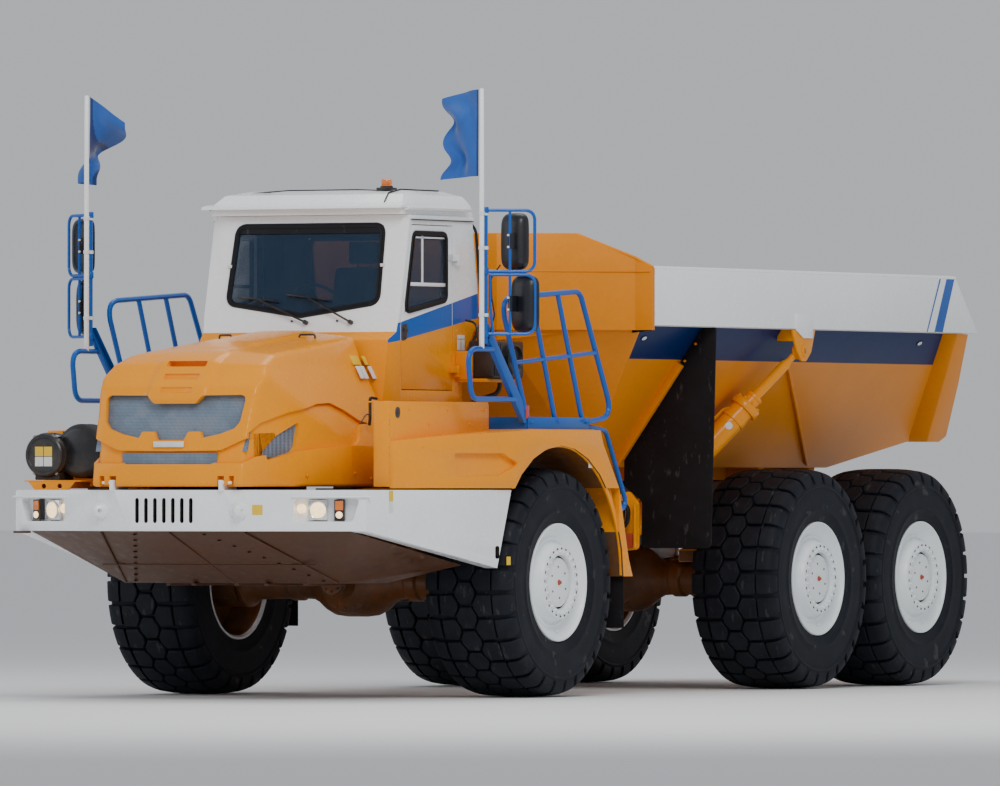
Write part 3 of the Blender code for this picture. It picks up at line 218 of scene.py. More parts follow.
class Board:
    """The node board of one material."""

    def __init__(self, name: str) -> None:
        """Makes a new material with only its output on the board.

        Args:
            name: The material's name.
        """
        self.material = bpy.data.materials.new(name)
        self.material.use_nodes = True
        self.tree = self.material.node_tree
        self.tree.nodes.clear()
        self.end = self.tree.nodes.new("ShaderNodeOutputMaterial")
        self._place: bpy.types.Node | None = None

    def node(self, kind: str, settings: dict[str, object] | None = None,
             inputs: dict[object, object] | None = None, output: object = 0) -> Signal:
        """Adds any node.

        Args:
            kind: The node's type.
            settings: Its own settings, set before its sockets. A ramp's stops are under "stops".
            inputs: Values or signals by socket name or number.
            output: The name or number of the socket that is returned.

        Returns:
            The chosen output as a signal.
        """
        made = self.tree.nodes.new(kind)
        for key, value in (settings or {}).items():
            if key == "stops":
                ramp = made.color_ramp
                for extra, (place, colour) in enumerate(value):
                    stop = ramp.elements[extra] if extra < 2 else ramp.elements.new(place)
                    stop.position, stop.color = place, (*colour, 1.0)
            else:
                setattr(made, key, value)
        for key, value in (inputs or {}).items():
            self.feed(made, key, value)
        return Signal(self, made.outputs[output])

    def feed(self, made: bpy.types.Node, key: object, value: object) -> None:
        """Sets or links one input.

        Args:
            made: The node.
            key: The socket's name or number.
            value: A signal, a number, a colour or a vector.
        """
        socket = made.inputs[key]
        if isinstance(value, Signal):
            self.tree.links.new(value.socket, socket)
        elif isinstance(value, tuple) and len(value) == 3 and socket.type == "RGBA":
            socket.default_value = (*value, 1.0)
        else:
            socket.default_value = value

    def place(self, output: str = "Object") -> Signal:
        """The point on the piece, in its own space, or its Normal or UV."""
        if self._place is None:
            self._place = self.tree.nodes.new("ShaderNodeTexCoord")
        return Signal(self, self._place.outputs[output])

    def part(self, vector: Signal, axis: str) -> Signal:
        """One of a vector's three values."""
        return self.node("ShaderNodeSeparateXYZ", None, {0: vector}, axis)

    def stretched(self, stretch: Point, turn: Point = (0.0, 0.0, 0.0), shift: Point = (0.0, 0.0, 0.0),
                  of: str = "Object") -> Signal:
        """The place, scaled and turned by a Mapping node.

        Args:
            stretch: The scale along each axis.
            turn: The turn about each axis, in radians.
            shift: The offset.
            of: Which coordinates.

        Returns:
            The mapped vector.
        """
        return self.node("ShaderNodeMapping", None,
                         {"Vector": self.place(of), "Scale": stretch, "Rotation": turn, "Location": shift})

    def noise(self, scale: float, detail: float = 3.0, rough: float = 0.5, stretch: Point | None = None,
              of: str = "Object", shift: Point = (0.0, 0.0, 0.0)) -> Signal:
        """Soft noise between about 0.25 and 0.75.

        Args:
            scale: The size of its grain, larger is finer.
            detail: How many finer layers it has.
            rough: How strong the finer layers are.
            stretch: A stretch of the space that it is made in.
            of: Which coordinates.
            shift: An offset of that space.

        Returns:
            The noise's value.
        """
        vector = self.stretched(stretch or (1.0, 1.0, 1.0), shift=shift, of=of)
        return self.node("ShaderNodeTexNoise", None,
                         {"Vector": vector, "Scale": scale, "Detail": detail, "Roughness": rough}, "Fac")

    def cells(self, scale: float, feature: str = "F1", stretch: Point | None = None, of: str = "Object",
              output: str = "Distance") -> Signal:
        """A cell pattern's distance."""
        vector = self.stretched(stretch or (1.0, 1.0, 1.0), of=of)
        return self.node("ShaderNodeTexVoronoi", {"feature": feature}, {"Vector": vector, "Scale": scale}, output)

    def mix(self, factor: object, first: object, second: object, blend: str = "MIX") -> Signal:
        """Two colours mixed.

        Args:
            factor: How much of the second shows.
            first: A colour or signal.
            second: A colour or signal.
            blend: The way that they mix.

        Returns:
            The mixed colour.
        """
        return self.node("ShaderNodeMix", {"data_type": "RGBA", "blend_type": blend, "clamp_factor": True},
                         {0: factor, 6: first, 7: second}, 2)

    def bump(self, height: object, distance: float, strength: float = 1.0, under: Signal | None = None) -> Signal:
        """A Bump node's normal.

        Args:
            height: The height signal.
            distance: The height that 1 stands for, in metres.
            strength: How much of it shows.
            under: A normal that it starts from.

        Returns:
            The bumped normal.
        """
        inputs: dict[object, object] = {"Height": height, "Distance": distance, "Strength": strength}
        if under is not None:
            inputs["Normal"] = under
        return self.node("ShaderNodeBump", None, inputs)

    def shine(self, **sockets: object) -> bpy.types.Material:
        """Ends the board with one Principled shader.

        Args:
            **sockets: The shader's sockets, with underscores for the spaces in their names.

        Returns:
            The finished material.
        """
        shader = self.node("ShaderNodeBsdfPrincipled", None, {key.replace("_", " "): v for key, v in sockets.items()})
        self.tree.links.new(shader.socket, self.end.inputs["Surface"])
        return self.material


def scaled(colour: Colour, factor: float) -> Colour:
    """A colour made darker or lighter."""
    return tuple(min(1.0, channel * factor) for channel in colour)


DUST: Colour = (0.30, 0.22, 0.14)


@dataclass(frozen=True)
class Paint:
    """Sprayed enamel over steel, with wavy sheet, faded patches, dust, streaks and chips."""

    name: str
    colour: Colour
    roughness: float = 0.24
    coat: float = 0.35
    fade: float = 0.10
    dust: float = 0.25
    dust_height: float = 1.0
    wave: float = 1.0
    chips: float = 0.10
    under: Colour = (0.10, 0.055, 0.03)
    gloss: float = 0.5

    def make(self, worn: bool = False) -> bpy.types.Material:
        """Builds the paint.

        Args:
            worn: Whether this is the version for edges, where it has rubbed through.

        Returns:
            The material.
        """
        board = Board(self.name + ("_edge" if worn else ""))
        broad, fine = board.noise(0.9, 4.0, 0.55), board.noise(26.0, 5.0, 0.6)
        streak = board.noise(7.0, 3.0, 0.55, stretch=(1.0, 1.0, 0.12))
        patches = (broad * 0.7 + fine * 0.3).between(0.34, 0.66)
        body = board.mix(patches, scaled(self.colour, 1.0 - self.fade), scaled(self.colour, 1.0 + self.fade * 0.5))
        height = board.part(board.place(), "Z")
        upward = board.part(board.place("Normal"), "Z").between(0.25, 0.95)
        low = height.between(self.dust_height + 1.3, self.dust_height - 0.5)
        grime = board.noise(3.2, 6.0, 0.65).between(0.42, 0.72)
        settled = ((upward * 0.35 + low * 0.75 + 0.06) * (grime * 0.75 + streak * 0.35) * self.dust).clip()
        dusty = board.mix(settled, body, DUST)
        scratch = board.noise(46.0, 2.0, 0.4, stretch=(0.10, 1.0, 1.0)).between(0.70, 0.76)
        if worn:
            chip = board.noise(38.0, 4.0, 0.7).between(0.50, 0.56)
        else:
            chip = board.noise(60.0, 3.0, 0.6).between(0.74, 0.76)
        lost = (chip * (self.chips * 4.0 if worn else self.chips)).clip()
        colour = board.mix(lost, board.mix(scratch * 0.12, dusty, scaled(self.colour, 1.25)), self.under)
        roughness = (self.roughness + settled * 0.45 + (fine - 0.5) * 0.12 + lost * 0.35 + scratch * 0.1).clip()
        sheet = board.bump(board.noise(2.1, 2.0, 0.5), 0.010 * self.wave, 0.55)
        peel = board.bump(board.noise(210.0, 2.0, 0.5), 0.0004, 0.35, sheet)
        normal = board.bump(1.0 - lost + fine * 0.15, 0.0012, 0.6, peel)
        coat = ((1.0 - settled * 1.5) * (1.0 - lost)).clip() * self.coat
        return board.shine(Base_Color=colour, Roughness=roughness, Normal=normal, Coat_Weight=coat,
                           Coat_Roughness=0.08,
                           Specular_IOR_Level=self.gloss)


@dataclass(frozen=True)
class Rubber:
    """Tyre and flap rubber, greyed by dust and a painted blue-grey sheen, with fine ribs of wear."""

    name: str
    colour: Colour = (0.0045, 0.006, 0.0105)
    dust: float = 0.3
    roughness: float = 0.62
    grain: float = 1.0

    def make(self) -> bpy.types.Material:
        """Builds the rubber."""
        board = Board(self.name)
        cloud, fine = board.noise(5.5, 6.0, 0.62), board.noise(70.0, 4.0, 0.6)
        settled = (cloud.between(0.40, 0.70) * 0.7 + fine.between(0.45, 0.7) * 0.3) * self.dust
        body = board.mix(fine, scaled(self.colour, 0.7), scaled(self.colour, 1.5))
        # The cloudy blue-grey patches stand for dust and a painted sheen together.
        colour = board.mix(settled * 0.42, body, (0.080, 0.090, 0.115))
        scuff = board.noise(22.0, 3.0, 0.6, stretch=(1.0, 0.3, 0.3)).between(0.62, 0.70)
        colour = board.mix(scuff * 0.18, colour, (0.16, 0.15, 0.145))
        roughness = (self.roughness + settled * 0.25 + (fine - 0.5) * 0.2 - scuff * 0.1).clip()
        normal = board.bump(fine * 0.6 + board.noise(240.0, 2.0, 0.5) * 0.4, 0.0012 * self.grain, 0.6,
                            board.bump(cloud, 0.006 * self.grain, 0.5))
        return board.shine(Base_Color=colour, Roughness=roughness, Normal=normal, Specular_IOR_Level=0.24)


@dataclass(frozen=True)
class Moulded:
    """Moulded plastic or a painted casting with a fine grain."""

    name: str
    colour: Colour
    roughness: float = 0.45
    grain: float = 130.0
    depth: float = 0.0006
    metallic: float = 0.0
    grime: float = 0.25
    grime_colour: Colour = DUST

    def make(self) -> bpy.types.Material:
        """Builds the plastic or casting."""
        board = Board(self.name)
        cloud, fine = board.noise(4.0, 5.0, 0.6), board.noise(self.grain, 3.0, 0.55)
        settled = (cloud.between(0.42, 0.72) * self.grime).clip()
        body = board.mix(fine, scaled(self.colour, 0.82), scaled(self.colour, 1.18))
        colour = board.mix(settled, body, self.grime_colour)
        roughness = (self.roughness + settled * 0.4 + (fine - 0.5) * 0.16).clip()
        metallic = ((1.0 - settled) * self.metallic).clip()
        normal = board.bump(fine, self.depth, 0.7, board.bump(cloud, 0.003, 0.3))
        return board.shine(Base_Color=colour, Roughness=roughness, Metallic=metallic, Normal=normal)


@dataclass(frozen=True)
class Chassis:
    """The frame's orange enamel under road dirt, oil and rust; its darker colours also paint the shade under the
    truck.
    """

    name: str
    colour: Colour = (0.42, 0.13, 0.012)
    dirt: float = 0.8

    def make(self) -> bpy.types.Material:
        """Builds the dirty enamel."""
        board = Board(self.name)
        cloud, mid, fine = board.noise(1.7, 6.0, 0.62), board.noise(9.0, 6.0, 0.65), board.noise(55.0, 4.0, 0.6)
        drip = board.noise(11.0, 3.0, 0.5, stretch=(1.0, 1.0, 0.10)).between(0.50, 0.70)
        body = board.mix(fine, scaled(self.colour, 0.75), scaled(self.colour, 1.2))
        soil = ((cloud * 0.6 + mid * 0.4).between(0.40, 0.60) * self.dirt).clip()
        colour = board.mix(soil, body, (0.060, 0.040, 0.026))
        colour = board.mix(drip * 0.45 * self.dirt, colour, (0.022, 0.016, 0.013))
        pale = board.noise(15.0, 5.0, 0.7).between(0.60, 0.74)
        colour = board.mix(pale * 0.30, colour, (0.34, 0.25, 0.17))
        spot = board.cells(34.0).between(0.13, 0.07) * board.noise(6.0, 2.0).between(0.5, 0.62)
        colour = board.mix(spot * 0.5, colour, (0.11, 0.035, 0.012))
        roughness = (0.42 + soil * 0.25 + pale * 0.15 + (fine - 0.5) * 0.2 - drip * 0.12).clip()
        normal = board.bump(soil * 0.5 + fine * 0.3 + mid * 0.6, 0.004, 0.6)
        return board.shine(Base_Color=colour, Roughness=roughness, Normal=normal)


@dataclass(frozen=True)
class Metal:
    """Bare steel or chrome with a brushed grain and stains."""

    name: str
    colour: Colour = (0.62, 0.62, 0.63)
    roughness: float = 0.22
    stain: float = 0.3

    def make(self) -> bpy.types.Material:
        """Builds the metal."""
        board = Board(self.name)
        cloud, brushed = board.noise(12.0, 5.0, 0.6), board.noise(160.0, 2.0, 0.5, stretch=(1.0, 0.08, 1.0))
        spoilt = (cloud.between(0.48, 0.70) * self.stain).clip()
        colour = board.mix(spoilt, board.mix(brushed, scaled(self.colour, 0.9), self.colour), (0.16, 0.11, 0.07))
        roughness = (self.roughness + spoilt * 0.4 + (brushed - 0.5) * 0.12).clip()
        metallic = 1.0 - spoilt * 0.6
        normal = board.bump(brushed * 0.5 + cloud * 0.5, 0.0008, 0.4)
        return board.shine(Base_Color=colour, Roughness=roughness, Metallic=metallic, Normal=normal)


@dataclass(frozen=True)
class Pane:
    """Tinted glass that lets the inside show, with a film of dust."""

    name: str
    tint: Colour = (0.06, 0.22, 0.50)
    alpha: float = 0.50
    film: float = 0.03

    def make(self) -> bpy.types.Material:
        """Builds the glass."""
        board = Board(self.name)
        cloud = board.noise(3.0, 5.0, 0.6)
        film = (cloud.between(0.40, 0.75) * self.film).clip()
        smear = board.noise(9.0, 2.0, 0.5, stretch=(1.0, 1.0, 0.3)).between(0.55, 0.75)
        colour = board.mix(film, scaled(self.tint, 0.16), (0.34, 0.36, 0.38))
        alpha = (self.alpha + film * 0.6 + smear * 0.05).clip()
        normal = board.bump(board.noise(1.6, 2.0, 0.5), 0.006, 0.4)
        return board.shine(Base_Color=colour, Alpha=alpha, Roughness=(0.03 + film * 0.5 + smear * 0.03).clip(),
                           Normal=normal, Specular_IOR_Level=0.5)


@dataclass(frozen=True)
class Lens:
    """A lamp's moulded cover with its flutes."""

    name: str
    colour: Colour
    glow: float = 0.0
    flutes: float = 90.0

    def make(self) -> bpy.types.Material:
        """Builds the lens."""
        board = Board(self.name)
        across = board.part(board.place(), "X")
        up = board.part(board.place(), "Z")
        ribs = board.node("ShaderNodeMath", {"operation": "SINE"}, {0: across * (self.flutes * 3.0)})
        rows = board.node("ShaderNodeMath", {"operation": "SINE"}, {0: up * (self.flutes * 2.0)})
        cloud = board.noise(30.0, 4.0, 0.6)
        colour = board.mix(cloud * 0.5 + ribs * 0.10, scaled(self.colour, 0.7), self.colour)
        colour = board.mix(cloud.between(0.55, 0.75) * 0.3, colour, DUST)
        normal = board.bump(ribs * 0.5 + rows * 0.5, 0.0016, 0.7)
        glow = (cloud.between(0.3, 0.6) * 0.5 + 0.5) * 1.0
        light = board.mix(glow, scaled(self.colour, 0.6), self.colour)
        return board.shine(Base_Color=colour, Roughness=(0.10 + cloud * 0.12).clip(), Normal=normal,
                           Emission_Color=light, Emission_Strength=self.glow, Coat_Weight=(1.0 - cloud * 0.6).clip())


@dataclass(frozen=True)
class Mesh:
    """Woven wire mesh in front of a radiator."""

    name: str
    colour: Colour = (0.20, 0.27, 0.36)
    pitch: float = 0.011

    def make(self) -> bpy.types.Material:
        """Builds the mesh."""
        board = Board(self.name)
        turns = 2.0 * math.pi / self.pitch
        place = board.place()
        wires = []
        for axis in ("X", "Z"):
            wave = board.node("ShaderNodeMath", {"operation": "SINE"}, {0: board.part(place, axis) * turns})
            wires.append(wave.between(-0.35, 0.45))
        wire = wires[0].most(wires[1])
        cloud = board.noise(5.0, 5.0, 0.6)
        body = board.mix(cloud.between(0.35, 0.7), scaled(self.colour, 0.85), scaled(self.colour, 1.15))
        # The gaps between the wires are darker: painted shade of the space behind the mesh.
        colour = board.mix(wire, scaled(self.colour, 0.42), body)
        colour = board.mix(cloud.between(0.5, 0.75) * 0.25, colour, DUST)
        normal = board.bump(wire, 0.0022, 0.8)
        return board.shine(Base_Color=colour, Roughness=(0.42 + (1.0 - wire) * 0.3).clip(),
                           Metallic=(wire * 0.25).clip(), Normal=normal)


@dataclass(frozen=True)
class Cloth:
    """Woven cloth on a piece's own UV map, with a darker hem."""

    name: str
    colour: Colour
    thread: float = 420.0
    sheen: float = 0.4
    worn: float = 0.25

    def make(self) -> bpy.types.Material:
        """Builds the cloth."""
        board = Board(self.name)
        place = board.place("UV")
        over = board.node("ShaderNodeMath", {"operation": "SINE"}, {0: board.part(place, "X") * self.thread})
        under = board.node("ShaderNodeMath", {"operation": "SINE"}, {0: board.part(place, "Y") * self.thread})
        weave = (over * under) * 0.5 + 0.5
        cloud = board.noise(4.0, 5.0, 0.6, of="UV")
        body = board.mix(weave, scaled(self.colour, 0.72), scaled(self.colour, 1.12))
        colour = board.mix(cloud.between(0.40, 0.75) * self.worn, body, scaled(self.colour, 1.6))
        normal = board.bump(weave, 0.0006, 0.6, board.bump(cloud, 0.004, 0.3))
        return board.shine(Base_Color=colour, Roughness=(0.78 + (weave - 0.5) * 0.15).clip(), Normal=normal,
                           Sheen_Weight=self.sheen)


@dataclass(frozen=True)
class LoadWorn:
    """Steel plate that rock has polished: bare scratches along the load's way, rust and dust between."""

    name: str
    paint: Colour

    def make(self) -> bpy.types.Material:
        """Builds the worn plate."""
        board = Board(self.name)
        cloud, fine = board.noise(1.6, 6.0, 0.62), board.noise(40.0, 5.0, 0.65)
        scratch = board.noise(34.0, 4.0, 0.6, stretch=(1.0, 0.07, 1.0)).between(0.50, 0.66)
        bare = (cloud.between(0.40, 0.60) * 0.8 + scratch * 0.4).clip()
        steel = board.mix(scratch, (0.17, 0.145, 0.125), (0.33, 0.31, 0.29))
        rust = board.mix(fine, (0.13, 0.055, 0.022), (0.22, 0.10, 0.045))
        plate = board.mix(board.noise(5.0, 6.0, 0.7).between(0.50, 0.64) * 0.7, steel, rust)
        colour = board.mix(bare, board.mix(fine, scaled(self.paint, 0.6), scaled(self.paint, 0.85)), plate)
        normal = board.bump(scratch * 0.5 + fine * 0.5, 0.003, 0.6, board.bump(cloud, 0.02, 0.4))
        return board.shine(Base_Color=colour, Roughness=(0.48 + fine * 0.3 - scratch * 0.15).clip(),
                           Metallic=(bare * scratch * 0.7).clip(), Normal=normal)


@dataclass(frozen=True)
class Ground:
    """The plain pale studio floor."""

    name: str
    colour: Colour = (0.86, 0.865, 0.87)

    def make(self) -> bpy.types.Material:
        """Builds the floor's paint."""
        board = Board(self.name)
        cloud = board.noise(0.4, 3.0, 0.5)
        colour = board.mix(cloud, scaled(self.colour, 0.985), self.colour)
        return board.shine(Base_Color=colour, Roughness=(0.85 + cloud * 0.05).clip())


# ---------------------------------------------------------------- modelling
def arc(centre: tuple[float, float], radius: float, start: float, end: float,
        steps: int) -> list[tuple[float, float]]:
    """Points of a circular arc, with its angles in degrees."""
    angles = [math.radians(start + (end - start) * step / steps) for step in range(steps + 1)]
    return [(centre[0] + radius * math.cos(a), centre[1] + radius * math.sin(a)) for a in angles]


def rounded(outline: Sequence[Sequence[float]], radius: float | Sequence[float], steps: int = 4,
            closed: bool = True) -> list[Vector]:
    """An outline or a path whose corners are rounded.

    Args:
        outline: Its corners, in two or three dimensions.
        radius: The corners' radius, or one for each corner.
        steps: The number of straight pieces in each corner.
        closed: Whether the last corner joins the first.

    Returns:
        The points of the rounded outline.
    """
    corners = [Vector(point) for point in outline]
    count = len(corners)
    radii = [radius] * count if isinstance(radius, (int, float)) else list(radius)
    result = []
    for index, corner in enumerate(corners):
        if radii[index] <= 0 or (not closed and index in (0, count - 1)):
            result.append(corner)
            continue
        inward, outward = corners[index - 1] - corner, corners[(index + 1) % count] - corner
        half = inward.angle(outward) / 2.0
        if half > math.pi / 2 - 0.03:
            result.append(corner)
            continue
        reach = min(radii[index] / math.tan(half), inward.length * 0.49, outward.length * 0.49)
        start, end = corner + inward.normalized() * reach, corner + outward.normalized() * reach
        for step in range(steps + 1):
            share = step / steps
            bend = (1 - share) ** 2, 2 * share * (1 - share), share ** 2
            result.append(start * bend[0] + (corner * 0.82 + (start + end) * 0.09) * bend[1] + end * bend[2])
    return result


def flipped(outline: Outline) -> list[tuple[float, float]]:
    """An outline closed by its own mirror image across the first value."""
    return list(outline) + [(-u, v) for u, v in reversed(list(outline)) if abs(u) > 1e-6]


def lug_profile(half: float, bore: float, radius: float, slope: float, drop: float) -> list[tuple[float, float]]:
    """The profile of a pin's eye, to be spun about the pin.

    Args:
        half: Half its width.
        bore: The radius of its bore.
        radius: Its outer radius.
        slope: How wide its chamfer is along the pin.
        drop: How deep its chamfer is.

    Returns:
        The profile's points, (distance along the pin, radius).
    """
    return [(-half, bore), (-half, radius - drop), (slope - half, radius), (half - slope, radius),
            (half, radius - drop),
            (half, bore)]


def even_turns(count: int, axis: str, phase: float = 0.0) -> list[Matrix]:
    """Even turns about an axis, the first of them set off by a share of one step."""
    return [Matrix.Rotation(math.tau * (index + phase) / count, 4, axis) for index in range(count)]


def ease(share: float) -> float:
    """A share between 0 and 1, eased in and out."""
    share = min(1.0, max(0.0, share))
    return share * share * (3.0 - 2.0 * share)


def facing(direction: Sequence[float]) -> Matrix:
    """The turn that takes +Z to a direction."""
    return Vector(UP).rotation_difference(Vector(direction)).to_matrix().to_4x4()


Shape = bpy.types.Object
FaceTest = Callable[[bmesh.types.BMFace], bool]
PlaceTest = Callable[[Vector, Vector], bool]


class Bench:
    """Blender's modelling tools, worked as by hand on one piece at a time.

    While a piece is made, places along Y are measured from the front axle. deliver() moves it to the frame.
    """

    def __init__(self, frame: dict) -> None:
        """Finds the front axle's place and sets up the stock of finishes.

        Args:
            frame: The loaded frame, whose nodes are the CAD's meshes.
        """
        low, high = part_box("tyre_front_left")
        self.shift = Vector((0.0, (low.y + high.y) / 2, 0.0))
        self.nodes: dict[str, Shape] = frame["nodes"]
        self.stock: dict[str, bpy.types.Material] = {}
        self.count = 0

    # -- selection
    @staticmethod
    def choose(*pieces: Shape) -> None:
        """Selects only these pieces and makes the first active.

        Args:
            *pieces: The pieces.
        """
        bpy.ops.object.select_all(action="DESELECT")
        for piece in pieces:
            piece.select_set(True)
        bpy.context.view_layer.objects.active = pieces[0]

    @contextmanager
    def editing(self, piece: Shape, mode: str = "FACE") -> Iterator[None]:
        """Opens a piece in edit mode with all of it selected.

        Args:
            piece: The piece.
            mode: VERT, EDGE or FACE.

        Yields:
            Nothing.
        """
        self.choose(piece)
        bpy.ops.object.mode_set(mode="EDIT")
        bpy.ops.mesh.select_mode(type=mode)
        bpy.ops.mesh.select_all(action="SELECT")
        yield
        bpy.ops.object.mode_set(mode="OBJECT")

    @staticmethod
    def pick(piece: Shape, group: str, test: Callable[[object], bool]) -> int:
        """Selects only the parts of a mesh in edit mode that pass a test.

        Args:
            piece: The piece that is being edited.
            group: verts, edges or faces.
            test: The test.

        Returns:
            How many passed.
        """
        bpy.ops.mesh.select_all(action="DESELECT")
        grid = bmesh.from_edit_mesh(piece.data)
        chosen = [item for item in getattr(grid, group) if test(item)]
        for item in chosen:
            item.select_set(True)
        grid.select_flush_mode()
        bmesh.update_edit_mesh(piece.data)
        return len(chosen)

    # -- making
    def trace(self, name: str, points: Sequence[Sequence[float]], closed: bool = True) -> Shape:
        """Draws an outline from corner to corner.

        Args:
            name: The new piece's name.
            points: Its corners in space.
            closed: Whether it's closed and filled with a face.

        Returns:
            The flat or open piece.
        """
        places = [Vector(point) for point in points]
        bpy.ops.mesh.primitive_plane_add(size=0.01)
        piece = bpy.context.active_object
        piece.name = piece.data.name = name
        with self.editing(piece, "VERT"):
            bpy.ops.mesh.merge(type="CENTER")
            bpy.ops.transform.translate(value=places[0])
            for before, after in zip(places, places[1:]):
                bpy.ops.mesh.extrude_vertices_move(TRANSFORM_OT_translate={"value": after - before})
            if closed:
                bpy.ops.mesh.select_all(action="SELECT")
                bpy.ops.mesh.edge_face_add()
        return piece

    def slab(self, name: str, outline: Sequence[Sequence[float]], along: Along, low: float, high: float) -> Shape:
        """An outline pushed along an axis.

        Args:
            name: The piece's name.
            outline: Its corners, (y, z), (x, z) or (x, y) along X, Y or Z.
            along: The axis.
            low: Where it starts.
            high: Where it ends.

        Returns:
            The solid.
        """
        piece = self.trace(name, [along.lift(low, *point) for point in outline])
        with self.editing(piece):
            bpy.ops.mesh.extrude_region_move(TRANSFORM_OT_translate={"value": along.vector * (high - low)})
            bpy.ops.mesh.select_all(action="SELECT")
            bpy.ops.mesh.normals_make_consistent(inside=False)
        return piece

    def block(self, name: str, low: Point, high: Point, bevel: float = 0.004, segments: int = 2) -> Shape:
        """A rounded block between two corners."""
        middle = [(a + b) / 2 for a, b in zip(low, high)]
        bpy.ops.mesh.primitive_cube_add(size=1.0, location=middle, scale=[b - a for a, b in zip(low, high)])
        return self.bevel(self.ground(name), bevel, segments)

    def ground(self, name: str) -> Shape:
        """Names the new primitive and puts its place in its mesh.

        Args:
            name: The piece's name.

        Returns:
            The piece.
        """
        piece = bpy.context.active_object
        piece.name = piece.data.name = name
        self.choose(piece)
        bpy.ops.object.transform_apply(location=True, rotation=True, scale=True)
        return piece

    def rod(self, name: str, start: Sequence[float], end: Sequence[float], radius: float, segments: int = 16,
            bevel: float = 0.003, tip: float | None = None) -> Shape:
        """A round bar between two points.

        Args:
            name: The piece's name.
            start: The middle of one end.
            end: The middle of the other.
            radius: Its radius.
            segments: The number of its flats.
            bevel: The rounding of its rims.
            tip: The radius at its end, where it tapers.

        Returns:
            The bar.
        """
        span = Vector(end) - Vector(start)
        middle = (Vector(start) + Vector(end)) / 2
        bpy.ops.mesh.primitive_cone_add(vertices=segments, radius1=radius, radius2=radius if tip is None else tip,
                                        depth=span.length, location=middle, rotation=facing(span).to_euler())
        piece = self.ground(name)
        return self.bevel(piece, bevel, 2, 60.0) if bevel else piece

    def spun(self, name: str, profile: Outline, centre: Sequence[float], direction: Sequence[float],
             steps: int = 32, bevel: float = 0.0) -> Shape:
        """A profile spun round an axis.

        Args:
            name: The piece's name.
            profile: Its points, (distance along the axis, radius).
            centre: A point on the axis.
            direction: The axis.
            steps: The number of steps in a turn.
            bevel: The rounding of its sharp rims.

        Returns:
            The turned piece, closed where the profile meets the axis.
        """
        turn = Matrix.Translation(Vector(centre)) @ facing(direction)
        piece = self.trace(name, [turn @ Vector((radius, 0, distance)) for distance, radius in profile], closed=False)
        with self.editing(piece, "VERT"):
            bpy.ops.mesh.spin(steps=steps, angle=math.tau, center=centre, axis=Vector(direction).normalized())
            bpy.ops.mesh.select_all(action="SELECT")
            bpy.ops.mesh.remove_doubles(threshold=WELD)
            bpy.ops.mesh.normals_make_consistent(inside=False)
        return self.bevel(piece, bevel, 2, 35.0) if bevel else piece

    def tube(self, name: str, path: Sequence[Sequence[float]], radius: float, sides: int = 2,
             closed: bool = False) -> Shape:
        """A round tube along a path.

        Args:
            name: The piece's name.
            path: The path's points.
            radius: The tube's radius.
            sides: The curve's bevel resolution. The tube has four sides more than twice this.
            closed: Whether the path joins up.

        Returns:
            The tube as a mesh.
        """
        bpy.ops.curve.primitive_nurbs_path_add()
        piece = bpy.context.active_object
        line = piece.data
        line.splines.clear()
        spline = line.splines.new("POLY")
        spline.points.add(len(path) - 1)
        for point, place in zip(spline.points, path):
            point.co = (*place, 1.0)
        spline.use_cyclic_u = closed
        spline.use_smooth = True
        line.dimensions, line.bevel_depth, line.bevel_resolution = "3D", radius, sides
        line.use_fill_caps = not closed
        self.choose(piece)
        bpy.ops.object.convert(target="MESH")
        piece = self.ground(name)
        with self.editing(piece):
            bpy.ops.mesh.remove_doubles(threshold=WELD)
            bpy.ops.mesh.normals_make_consistent(inside=False)
        return piece

    def loft(self, name: str, rings: Sequence[Sequence[Sequence[float]]], capped: bool = True) -> Shape:
        """A skin bridged over rings that all have the same number of points.

        Args:
            name: The piece's name.
            rings: The closed rings, in order.
            capped: Whether its two ends are filled.

        Returns:
            The skin.
        """
        traced = [self.trace(name, ring, closed=False) for ring in rings]
        for ring in traced:
            with self.editing(ring, "VERT"):
                self.pick(ring, "verts", lambda vert: len(vert.link_edges) == 1)
                bpy.ops.mesh.edge_face_add()
        skin = self.fuse(name, *traced)
        with self.editing(skin, "EDGE"):
            bpy.ops.mesh.bridge_edge_loops(type="SINGLE")
            if capped:
                self.pick(skin, "edges", lambda edge: edge.is_boundary)
                bpy.ops.mesh.edge_face_add()
            bpy.ops.mesh.select_all(action="SELECT")
            bpy.ops.mesh.normals_make_consistent(inside=False)
        return skin

    def bent(self, name: str, path: Sequence[Sequence[float]], bend: float | Sequence[float], radius: float,
             sides: int = 2, steps: int = 4) -> Shape:
        """A round tube along a path whose corners are rounded.

        Args:
            name: The piece's name.
            path: The path's corners.
            bend: The corners' radius, or one for each corner.
            radius: The tube's radius.
            sides: The curve's bevel resolution.
            steps: The number of straight pieces in each corner.

        Returns:
            The tube as a mesh.
        """
        return self.tube(name, rounded(path, bend, steps, closed=False), radius, sides)

    def outward(self, piece: Shape) -> Shape:
        """Turns a piece's faces outwards."""
        with self.editing(piece):
            bpy.ops.mesh.normals_make_consistent(inside=False)
        return piece

    def close_rims(self, piece: Shape) -> Shape:
        """Bridges a piece's two open rims, so that it's a closed ring.

        Args:
            piece: The open piece.

        Returns:
            The same piece, closed.
        """
        with self.editing(piece, "EDGE"):
            self.pick(piece, "edges", lambda edge: edge.is_boundary)
            bpy.ops.mesh.bridge_edge_loops(type="SINGLE")
            bpy.ops.mesh.select_all(action="SELECT")
            bpy.ops.mesh.normals_make_consistent(inside=False)
        return piece

